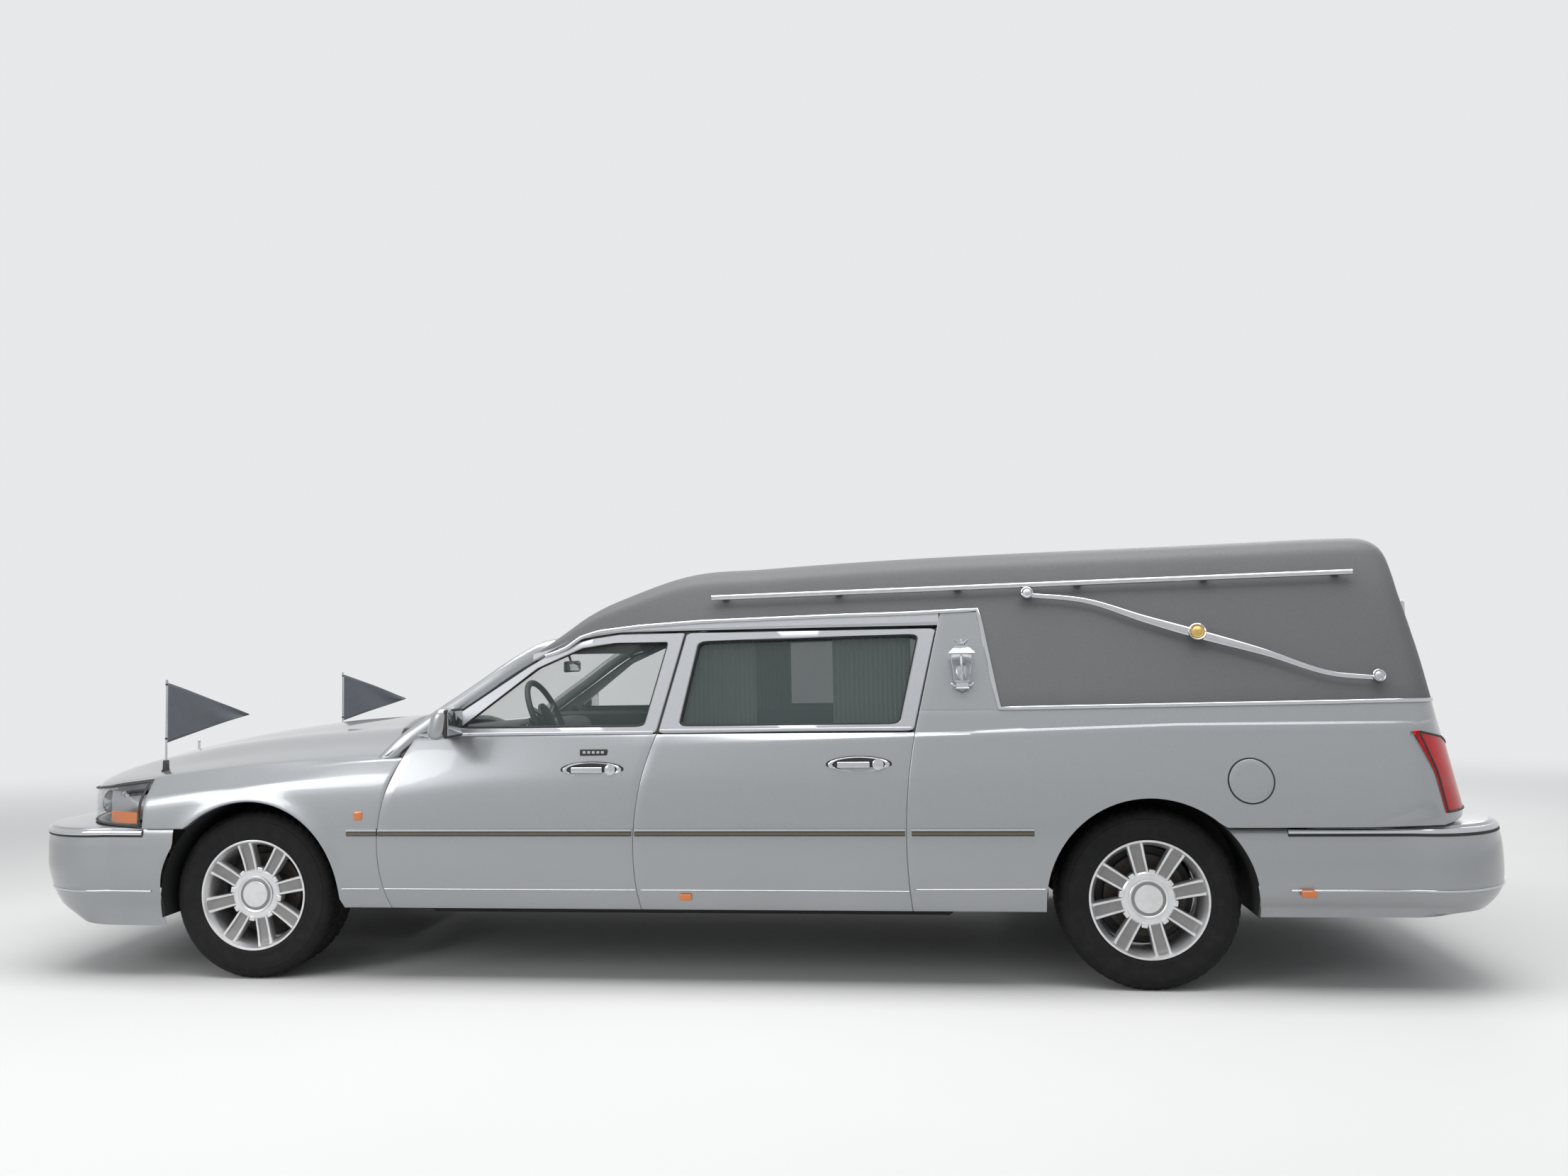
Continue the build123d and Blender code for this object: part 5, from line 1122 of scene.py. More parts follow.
class HEARSE_OT_quarters(bpy.types.Operator):
    """Both rear quarters: painted sides with the wheel arches, wrapped round the tail to the gate"""
    bl_idname = "hearse.quarters"
    bl_label = "Rear quarters"

    def execute(self, context):
        arch_x, line_foot = REAR_AXLE - ARCH_LENGTH, 1.096
        ahead = np.linspace(0, 1, 14)[:-1]
        nominal = np.concatenate([2.80 + ahead * (arch_x - 2.80), arch_columns(REAR_AXLE)])
        edge = np.where(nominal < 3.125, line_foot, vinyl_z(np.maximum(nominal, 3.128)))

        def heights(s, b, edge):
            return flank_knots(s, b, (0.25, 0.5, 0.75, 1.0)) + [b + (edge - b) * t
                                                               for t in (0.1, 0.4, 0.7, 1.0)]

        def half_width(x, z):
            return np.where(z < belt_z(x), cabin_y(x, z), side_plane_y(z))

        z = from_lower(arch_z(nominal, REAR_AXLE, SILL_Z, BUMPER_TOP + 0.001),
                       heights(shoulder_z(nominal), belt_z(nominal), edge))
        x = np.broadcast_to(nominal, z.shape).copy()
        first = quarter_gap(z[:, :len(ahead)]) + GAP
        x[:, :len(ahead)] = first + (arch_x - first) * ahead
        side_part = side_grid(x, half_width(x, z), z)
        tail_z = from_lower(np.array((BUMPER_TOP + 0.001,)),
                            heights(*(np.array((v,)) for v in (1.025, 1.033, 1.110))))[:, 0]
        tail_y = half_width(np.array(4.4), tail_z)
        round_by = np.interp(tail_z, (0.64, 1.0, 1.11), (0.03, 0.045, 0.06))
        start, corner = tail_rows(4.4, tail_y, tail_z, round_by)
        run = np.linspace(0, 1, 10)[1:-1]
        last = side_part[:, -1]
        run_x = last[:, None, 0] + (start - last[:, 0])[:, None] * run
        run_z = last[:, None, 2] + (tail_z - last[:, 2])[:, None] * run
        bridge = side_grid(run_x, half_width(run_x, run_z), run_z)
        core, window_core = (3.9, 0.0, 0.9), (3.0, 0.0, 1.2)
        skin = rolled(np.concatenate([side_part, bridge, corner * (1, -1, 1)], 1), ROLL, 0.020, core)
        rise = np.linspace(1.090, 1.486, 16)[:, None]
        gap_x, line_x = quarter_gap(rise) + GAP, 3.128 - (rise - line_foot) * 0.171
        column = side_grid(gap_x + (line_x - gap_x) * np.linspace(0, 1, 8), side_plane_y(rise), rise)
        for side, word in SIDES:
            pile = Pile(side)
            pile.add(skin, PAINT, core)
            waist_strips(pile, 2.772, 3.243, cabin_y)
            sill_strip(pile, 2.785, 3.28, (0.400, 0.404), cabin_y)
            pile.add(rolled(column, ROLL, 0.020, window_core, borders="c"), PAINT, window_core)
            for gap in (door_gap, quarter_gap):
                gap_seal(pile, gap)
            wheel_house(pile, REAR_AXLE, 4, 188)
            if side < 0:
                self.disc(pile, ((-0.001, 0.0885), (0.0008, 0.0870), (0.0008, 0.0815),
                                 (-0.0005, 0.0812)), SEAL)
                self.disc(pile, ((0.0002, 0.0815), (0.0002, 0.060), (0.0002, 0.0)), BLACK)
            lining = side_grid(x, half_width(x, z) - 0.045, z)[8:]
            pile.add(lining, LINER, (3.5, -2.0, 0.9))
            pile.piece("quarter_skin_" + word, BODY_LOOKS, replaces=("quarter_" + word,))
        flap = Pile()
        self.disc(flap, ((0.0, 0.0812), (0.0026, 0.0812), (0.0034, 0.0800), (0.0034, 0.060),
                         (0.0034, 0.030), (0.0034, 0.0)), PAINT)
        flap.piece("fuel_flap_disc", BODY_LOOKS, body="fuel_flap", replaces=("fuel_flap",))
        return {"FINISHED"}

    def disc(self, pile, profile, mark):
        """Rings of (distance off the panel, radius) about the filler, laid on the quarter's curve."""
        filler_x, filler_z = 4.060, 0.815
        flat = lathe(profile, (0, 0, 0), (0, -1, 0), 48)
        x, z = filler_x + flat[..., 0], filler_z + flat[..., 2]
        core = (filler_x, 0.0, filler_z)
        pile.add(side_grid(x, cabin_y(x, z) - flat[..., 1], z), mark, core, loop="u")


def roof_columns():
    """Half section of the vinyl at each column, bent back at the windshield, and on round the
    tail."""
    front_x, tail_at = 1.13, 4.55
    xs = spread((front_x, 1.235, 6), (1.235, 1.60, 16), (1.60, 2.2, 14), (2.2, 3.056, 16),
                (3.056, 3.130, 6), (3.130, 4.50, 26))
    y, z = roof_rows(xs, 9, 22)
    front = 1.145 + (y / 0.742) ** 2 * 0.06
    share = np.clip((xs - front_x) / 0.40, 0, 1)[:, None]
    x = xs[:, None] + (front - front_x) * (1 - ease(share))
    tail_y, tail_z = (v[0] for v in roof_rows(np.array((tail_at,)), 9, 22))
    round_by = np.interp(tail_z, (1.11, 1.60, 1.70), (0.06, 0.075, 0.115))
    start, corner = tail_rows(tail_at, tail_y, tail_z, round_by, 9, 8)
    run = np.linspace(0, 1, 6)[1:-1, None]
    bridge = side_grid(*(v[-1] + (goal - v[-1]) * run
                         for v, goal in ((x, start), (y, tail_y), (z, tail_z))))
    return np.concatenate([side_grid(x, y, z), bridge, np.swapaxes(corner, 0, 1) * (1, -1, 1)])


class HEARSE_OT_roof(bpy.types.Operator):
    """Vinyl landau roof in one skin, its chrome border, the ceiling and the pillars"""
    bl_idname = "hearse.roof"
    bl_label = "Landau roof"

    def execute(self, context):
        skin, core = roof_columns(), (3.0, 0.0, 1.0)
        away = outward(skin, core)
        pile = Pile(-1, 1)
        pile.add(rolled(skin, 0.006, 0.020, core, borders="abc"), VINYL, core)
        border = skin[:, 0] + away[:, 0] * 0.002
        pile.tube(border[2:], 0.008, 0.0045, CHROME, 10, 2.6, up=away[2:, 0])
        pile.add(skin[:-16, 2:] - away[:-16, 2:] * 0.034, LINER, (3.0, 0.0, 3.0))
        self.cant_rail(pile)
        self.pillars(pile)
        pile.piece("landau_roof", BODY_LOOKS, replaces=("roof",), slot="vinyl")
        return {"FINISHED"}

    def cant_rail(self, pile):
        """A satin strip between the door tops and the vinyl, over a recessed gutter whose dark seal
        rubber is painted shadow.
        """
        xs = np.concatenate([np.linspace(1.20, 1.60, 16), np.linspace(1.64, 2.90, 20)])
        door_z = np.interp(xs, (1.18, 1.33, 1.46, 1.57, 2.9), (1.296, 1.386, 1.414, 1.428, 1.428))
        rise = np.array((-0.010, 0.10, 0.12, 0.30, 0.34, 1.05))
        out = np.array((-0.026, -0.026, -0.004, -0.002, 0.0, 0.001))
        zs = door_z[:, None] + (vinyl_z(xs) - door_z)[:, None] * rise
        rail = side_grid(xs[:, None], side_plane_y(zs) + out, zs)
        # Painted shadow: the gutter's back wall is dark seal rubber that stands in for the shadow under
        # the roof's edge, in a recess that shades it as well.
        pile.add(rail[:, :2], SEAL, (2.0, 0.0, 1.2))
        pile.add(rail[:, 1:], SATIN, (2.0, 0.0, 1.2))

    def pillars(self, pile):
        """Windshield pillars along a table of (x, height, distance in), and upright middle ones."""
        line = np.array(((0.540, 0.870, 0.060), (0.600, 0.925, 0.040), (0.660, 0.980, 0.027),
                         (0.751, 1.046, 0.024), (0.95, 1.180, 0.024), (1.161, 1.322, 0.026),
                         (1.235, 1.362, 0.036), (1.31, 1.380, 0.085)))
        xs = np.linspace(0.540, 1.310, 34)
        zs = smooth_table(xs, line[:, :2])
        post = side_grid(xs, frame_y(zs) - smooth_table(xs, line[:, ::2]), zs)
        pile.tube(post, 0.033, 0.027, PAINT, 24, 3.2, up=(0.0, -0.96, 0.28))
        foot, head = np.array((1.752, -0.842, 0.400)), np.array((1.850, -0.742, 1.440))
        middle_post = foot + (head - foot) * np.linspace(0, 1, 14)[:, None]
        pile.tube(middle_post, 0.017, 0.045, LINER, 16, 4, up=(1, 0, 0))


NOSE_CORNER = ((-0.9, 0.62), (-0.655, 0.905), (-0.29, 0.991))


def nose_x(y):
    """x of the nose's plan at a half width: a shallow arc over the middle, a tight one at each
    corner."""
    front = arc((-1.0, 0.0), (-0.975, 0.32), NOSE_CORNER[0], 30)
    path = np.concatenate([front, arc(*NOSE_CORNER, 40)[1:]])
    return np.interp(np.abs(y), path[:, 1], path[:, 0])


def lamp_line(x):
    """Height of the lamps' upper edge, a line that rises to the rear."""
    return 0.752 + (x + 1.1) * 0.1138


class HEARSE_OT_hood(bpy.types.Operator):
    """Hood skin with a dark underside and a slim plain post, and the two pennants on poles"""
    bl_idname = "hearse.hood"
    bl_label = "Hood and pennants"

    def execute(self, context):
        run = spread((0, 0.12, 8), (0.12, 1, 34))[:, None]
        y = 0.901 * np.linspace(-1, 1, 61)
        front, rear = nose_x(y) + 0.012, 0.415 + 0.22 * (y / 0.9) ** 2
        x = front + (rear - front) * run
        gap, crown = smooth_table(x, HOOD_SIDE), smooth_table(x, HOOD_CROWN)
        shoulder = 0.010 * hump(np.abs(y), 0.56, 0.09) - 0.006 * hump(np.abs(y), 0.74, 0.1)
        full = (gap + (crown - gap) * (1 - (y / HOOD_HALF) ** 2)
                + shoulder * np.clip((x - front) / 0.5, 0, 1))
        lip = lamp_line(x) + 0.012
        z = lip + (full - lip) * np.sqrt(1 - (1 - np.clip((x - front) / 0.10, 0, 1)) ** 2)
        skin, core = stacked(x, y, z), (-0.2, 0.0, 0.4)
        pile = Pile()
        pile.add(rolled(skin, ROLL, 0.022, core), PAINT, core)
        pile.add(skin[4:-1, 3:-3] - (0, 0, 0.026), BLACK, (-0.2, 0.0, 3.0))
        post_x = -0.83
        pile.turn(((0, 0.017), (0.004, 0.017), (0.009, 0.008), (0.05, 0.0045), (0.062, 0.007),
                   (0.068, 0.007), (0.074, 0.004), (0.075, 0.0)),
                  (post_x, 0, float(smooth_table(post_x, HOOD_CROWN)) - 0.003), UP, CHROME, 20)
        pile.piece("hood_skin", BODY_LOOKS, body="hood", replaces=("hood",))
        self.poles()
        self.pennants()
        return {"FINISHED"}

    def poles(self):
        """Chrome poles in black clamps, with a clip at each end of the pennant."""
        poles, x, y, foot = Pile(-1, 1), -0.47, -0.8, 0.876
        poles.turn(((-0.012, 0.018), (-0.007, 0.018), (-0.005, 0.0135), (0.031, 0.0125), (0.034, 0.010),
                    (0.0345, 0.0)), (x, y, foot), UP, 1, 20)
        poles.turn(((0.030, 0.0045), (0.372, 0.0035), (0.374, 0.006), (0.384, 0.0055), (0.386, 0.0)),
                   (x, y, foot), UP, 0, 20)
        for z in (1.000, 1.236):
            poles.turn(((0, 0.0055), (0.008, 0.0055)), (x, y, z), UP, 1, 16)
        poles.piece("pennant_poles", ("chrome", "black_plastic"), body="hood", replaces=("flag_poles",),
                    slot="chrome")

    def pennants(self):
        """Triangles that wave: two sines along the cloth that grow from nothing at the pole."""
        length, hoist = metres("pennant_length"), metres("pennant_hoist")
        u = np.linspace(0, 1, 41)[:, None]
        v = np.linspace(-1, 1, 21)[None]
        flow = 0.010 * np.sin(2 * math.pi * (u * 1.3 + 0.08 * v)) * u + 0.004 * np.sin(9 * u + 3 * v) * u
        grid = stacked(-0.464 + length * u * 0.985, -0.8 + flow,
                       1.117 - 0.012 * u * u + hoist / 2 * v * (1 - 0.985 * u))
        for side, word in SIDES:
            pile = Pile(side)
            pile.add(grid, 0, (0, -3.0, 1.1))
            flag = pile.piece("pennant_" + word, ("pennant",), body="hood", slot="pennant_cloth",
                              wall=0.0012)
            if side < 0:
                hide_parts("pennants")


def gate_face(y, z):
    """Points of the gate's outer face."""
    return stacked(tail_x(y, z), y, z)


class HEARSE_OT_gate(bpy.types.Operator):
    """Rear loading door: painted skin round its window, lining, plate recess, handle and seals"""
    bl_idname = "hearse.gate"
    bl_label = "Rear loading door"

    def execute(self, context):
        centre, core = np.array((0.0, 1.32)), (4.0, 0.0, 1.1)
        a, b = matched_rings(rounded_outline(GATE_HALF, GATE_FOOT, GATE_HEAD, 0.060),
                             rounded_outline(0.520, 1.080, 1.560, 0.050), centre)
        shares = np.array((0, 0, 0.006, 0.02, 0.15, 0.3, 0.45, 0.6, 0.75, 0.9, 0.975, 1, 1))
        depths = np.array((0.060, 0.004, 0.001, 0, 0, 0, 0, 0, 0, 0, 0, 0.004, 0.040))
        rows = a + (b - a) * shares[:, None, None]
        crease = 0.004 * hump(rows[..., 1], 0.99, 0.018) * (shares[:, None] > 0.02)
        skin = gate_face(rows[..., 0], rows[..., 1])
        skin[..., 0] -= depths[:, None] - crease
        pile = Pile()
        pile.add(skin, PAINT, core, loop="v")
        card = gate_face(rows[3:-1, :, 0], rows[3:-1, :, 1]) - (0.058, 0, 0)
        pile.add(card, LINER, (8.0, 0, 1.1), loop="v")
        ring = np.stack([b, b + (centre - b) * 0.035])
        pile.add(gate_face(ring[..., 0], ring[..., 1]) - (0.003, 0, 0), SEAL, core, loop="v")
        plate_z = 0.90
        x = float(tail_x(0.0, plate_z))
        for low, high, radius, mark in (
                ((-0.010, -0.265, 0.770), (0.0055, 0.265, 0.905), 0.005, BLACK),
                ((0.002, -0.250, 0.780), (0.0080, 0.250, 0.895), 0.002, LINER),
                ((-0.010, -0.330, 0.925), (0.0160, 0.330, 0.955), 0.010, CHROME)):
            block = rounded_box(low, high, radius) + (x, 0, 0)
            block[..., 0] += (plate_z - block[..., 2]) * TAIL_SLOPE
            pile.add(block, mark)
        for z in (0.985, 1.045):
            line = gate_face(np.linspace(-0.60, 0.60, 30), np.full(30, z)) + (0.001, 0, 0)
            pile.tube(line, 0.005, 0.006, CHROME)
        pile.block((4.975, 0.50, 0.985), (4.987, 0.60, 1.015), 0.006, CHROME)
        for z in (0.86, 1.45):
            x = float(tail_x(GATE_HALF, z))
            pile.block((x - 0.030, -0.668, z - 0.05), (x + 0.006, -0.630, z + 0.05), 0.010, CHROME)
        pile.piece("gate_skin", BODY_LOOKS, body="rear_loading_door", replaces=("rear_loading_door",))
        dress("rear_loading_glass", "tinted_glass", "rear_loading_door", name="gate_pane")
        return {"FINISHED"}


def bumper_path(inset, end, reach):
    """Half plan of a bumper, inset from its widest: across the tip, round the corner and back along
    the side to a reach from the car's middle."""
    tuck = min(inset, 0.040)
    tip = 3.082 - inset
    corner, side = (tip - 0.017, 0.600), (2.642, 0.972 - tuck)
    path = np.concatenate([
        arc((tip, 0.0), (tip - 0.0045, 0.310), corner, 16),
        arc(corner, (tip - 0.118, 0.880 - 0.7 * tuck), side, 26)[1:],
        np.linspace(side, (reach, 0.982 - tuck), 10)[1:]])
    return path * (end, 1) - (AXLE_X, 0)


class HEARSE_OT_bumpers(bpy.types.Operator):
    """Front and rear bumper covers with their chrome strips, blank plate, intake and repeaters"""
    bl_idname = "hearse.bumpers"
    bl_label = "Bumpers"

    def execute(self, context):
        # Height and inset of the covers' sections
        front = ((0.228, 0.150), (0.300, 0.048), (0.400, 0.012), (0.470, 0.0), (0.560, 0.0),
                 (0.622, 0.006), (BUMPER_TOP, 0.012))
        rear = ((0.296, 0.150), (0.306, 0.074), (0.337, 0.033), (0.388, 0.007), (0.500, 0.0),
                (0.613, 0.014), (BUMPER_TOP, 0.034))
        core = (0.0, 0.0, 0.45)
        pile, skin, away = self.cover(front, -1, 2.328, FRONT_ARCH_X, core, (0.12, 0.88), 8, -0.44)
        self.intake(pile, skin, away, core)
        pile.piece("bumper_front_cover", BODY_LOOKS, replaces=("front_bumper",))
        pile, _, _ = self.cover(rear, 1, 1.951, REAR_AXLE, (3.9, 0.0, 0.45), (-0.30, 0.72), 7, 4.14)
        pile.block((4.226, -0.995, 0.378), (4.279, -0.972, 0.406), 0.006, AMBER)
        pile.piece("bumper_rear_cover", BODY_LOOKS, replaces=("rear_bumper",))
        return {"FINISHED"}

    def cover(self, rings, end, reach, wheel_x, core, shelf_in, low_strip, strip_x):
        """The plan drawn in at each height, cut back to the wheel's ellipse, with a shelf on top and
        strips laid along rows of the grid."""
        foot = rings[0][0]
        zs = np.concatenate([np.linspace(foot, 0.615, 22), (0.622, 0.630, 0.636, 0.641, BUMPER_TOP)])
        insets = np.maximum((np.interp(zs, *np.array(rings).T) + smooth_table(zs, rings)) / 2, 0.0)
        insets[-2:] += (0.002, 0.010)
        lines = np.stack([bumper_path(inset, end, reach) for inset in insets])
        skin = side_grid(lines[..., 0], lines[..., 1], zs[:, None])
        inwards, share = shelf_in
        shelf = (skin[-1:] - (-inwards, 0, 0.003)) * (1, share, 1)
        skin = np.concatenate([skin, shelf])
        z = skin[..., 2]
        edge = wheel_x + end * ARCH_LENGTH * np.sqrt(np.clip(1 - ((z - HUB_Z) / ARCH_RISE) ** 2, 0, 1))
        skin[..., 0] = np.where(arch_reach(skin[..., 0], z, wheel_x) < 1, edge, skin[..., 0])
        pile = Pile(-1, 1)
        pile.add(skin, PAINT, core)
        away = outward(skin, core)
        for row, width, thick, mark in ((-6, 0.0120, 0.0075, CHROME), (-7, 0.0125, 0.0035, SEAL),
                                        (low_strip, 0.0045, 0.0045, CHROME)):
            keep = end * (skin[row, :, 0] - strip_x) > 0
            if row == low_strip:
                keep = np.arange(len(keep)) < len(keep) - 3
            up = away[row, keep]
            pile.tube(skin[row, keep] + up * 0.001, width, thick, mark, 14, 2.4, up=up)
        return pile, skin, away

    def intake(self, pile, skin, away, core):
        """Blank plate, and the dark mouth with four bars across."""
        pile.block((-1.0738, -0.275, 0.430), (-1.050, 0.275, 0.552), 0.005, BLACK, once=True)
        pile.block((-1.0756, -0.260, 0.440), (-1.060, 0.260, 0.542), 0.002, LINER, 2, once=True)
        first, last, half_width = 6, 12, 0.42
        columns = np.searchsorted(-skin[8, :, 1], half_width)
        mouth, lip = skin[first:last, :columns], away[first:last, :columns]
        pile.add(mouth + lip * 0.0015, BLACK, core)
        for bar in mouth[1:5] + lip[1:5] * 0.003:
            pile.tube(np.concatenate([bar[:1] * (1, -1, 1), bar]), 0.0022, 0.003, SATIN)


def surround(grid):
    """The border of a grid as one closed path."""
    return np.concatenate([grid[0], grid[1:, -1], grid[-1, ::-1][1:], grid[::-1, 0][1:]])


class HEARSE_OT_lamps(bpy.types.Operator):
    """Grille, headlamps, tail lamps and the high brake lamp"""
    bl_idname = "hearse.lamps"
    bl_label = "Grille and lamps"

    def execute(self, context):
        self.grille()
        self.headlamps()
        self.tail_lamps()
        return {"FINISHED"}

    def grille(self):
        """A bowed chrome ring round upright bars."""
        pile = Pile()
        x0, x1, foot, head, lip = -1.012, -0.952, 0.646, 0.748, 0.006
        a, b = matched_rings(rounded_outline(0.330, foot, head, 0.022),
                             rounded_outline(0.309, foot + 0.020, head - 0.018, 0.012), (0, 0.697))

        def bow(y):
            return 0.0245 * (y / 0.62) ** 2

        rows = ((a, x1), (a, x0 + lip), (a + (b - a) * 0.25, x0), (a + (b - a) * 0.75, x0),
                (b, x0 + lip), (b, x1))
        ring = np.stack([stacked(x + bow(p[:, 0]), p[:, 0], p[:, 1]) for p, x in rows])
        pile.add(ring, 0, (-0.7, 0, 0.69), loop="v")
        half, bars = 0.292, settings().grille_bars
        for y in np.linspace(-half, half, bars):
            x = x0 + bow(y)
            pile.block((x + 0.006, y - 0.004, foot + 0.012), (x + 0.036, y + 0.004, head - 0.010), 0.003)
        pile.block((x1 - 0.010, -0.312, foot + 0.008), (x1, 0.312, head - 0.008), 0.004, 1, 2)
        pile.piece("grille_bars", ("chrome", "black_plastic"), replaces=("grille",), slot="chrome")

    def headlamps(self):
        """Lens on the nose's plan, its housing a step inside, two reflectors and an amber block."""
        clear, black, chrome, orange, bulb, satin = range(6)
        lamps, foot, core = Pile(-1, 1), 0.648, (-0.3, 0.0, 0.7)
        corner = arc(*NOSE_CORNER, 120)
        corner = corner[corner[:, 0] < -0.458]
        ahead = np.linspace(0.338, 0.61, 12)
        ys = np.concatenate([ahead, corner[::2, 1], corner[-1:, 1]])
        front = np.concatenate([nose_x(ahead), corner[::2, 0], corner[-1:, 0]])
        share = np.linspace(0, 1, 12)[:, None]
        z = foot + (lamp_line(front) + 0.004 - foot) * share
        bulge, aside = 0.006 * np.sin(share * math.pi), ys >= 0.7
        leaned = np.minimum(ys + bulge * aside, front_y(front, z) + 0.001)
        face = side_grid(front - bulge * ~aside - 0.002, leaned, z)
        lamps.add(rolled(face, 0.005, 0.012, core), clear, core)
        behind = face - outward(face, core) * 0.060
        lamps.add(rolled(behind[1:-1, 1:-1], 0.004, 0.004, core), satin, core)
        for edge, wall_core in ((np.s_[0], (-0.3, -0.6, 3.0)), (np.s_[-1], (-0.3, -0.6, -3.0)),
                                (np.s_[:, -1], (-3.0, -0.9, 0.7))):
            lamps.add(np.stack([face[edge], behind[edge]]), satin, wall_core)
        for y, size in ((0.455, 0.044), (0.590, 0.046)):
            x, height = float(nose_x(y)), 0.706
            lamps.turn(((0.0, 0.008), (0.006, 0.022), (0.018, size * 0.75), (0.034, size * 0.95),
                        (0.046, size), (0.048, size + 0.004), (0.044, size + 0.005)),
                       (x + 0.072, -y, height), (-1, 0, 0), chrome, 32, (x - 1.0, -y, height))
            lamps.turn(((0.0, 0.0), (0.0, 0.008), (0.022, 0.008), (0.028, 0.005), (0.030, 0.0)),
                       (x + 0.062, -y, height), (-1, 0, 0), bulb, 16)
        lamps.tube(surround(face), 0.0060, 0.0045, black)
        block = (ys > 0.72) & (front > -0.655) & (front < -0.482)
        block_z = 0.659 + 0.048 * np.linspace(0, 1, 5)[:, None]
        lamps.add(side_grid(front[block] + 0.004, ys[block] - 0.006, block_z), orange, core)
        finishes = ("lens", "black_plastic", "chrome", "amber", "clear_glass", "satin")
        lamps.piece("headlamp_units", finishes, replaces=("headlamps",), slot="lamp_lens")

    def tail_lamps(self):
        """Red lenses round the tail's corners with a clear band, and the high brake lamp."""
        tails, core, foot = Pile(-1, 1), (4.3, 0.0, 0.85), 0.692
        share = np.linspace(0, 1, 26)
        v = np.linspace(0, 1, 14)[:, None]
        z = foot + v * (np.interp(share, (0, 0.35, 1), (0.925, 0.968, 0.996)) - foot)
        inner_x = -0.120
        outer_x = np.interp(z, (0.69, 0.845, 0.996), (4.774, 4.742, 4.674)) - tail_back(z)
        back = inner_x + (outer_x - inner_x) * share
        face = side_grid(tail_back(z) + back, np.interp(back, *TAIL_ARC.T), z)
        out = outward(face, core)
        face = face + out * 0.005
        tails.add(rolled(face, 0.005, 0.012, core), 0, core)
        tails.add(face[4:7, 1:-1] + out[4:7, 1:-1] * 0.0012, 1, core)
        tails.tube(surround(face), 0.004, 0.004, 3)
        x = float(tail_x(0.0, 1.690))
        tails.block((x - 0.03, -0.130, 1.672), (x + 0.014, 0.130, 1.708), 0.008, 0, 4, once=True)
        tails.block((x - 0.03, -0.137, 1.665), (x + 0.008, 0.137, 1.715), 0.008, 3, 4, once=True)
        tails.piece("tail_lamp_units", ("red_lens", "lens", "chrome", "black_plastic"),
                    replaces=("tail_lamps",), slot="red_lens")


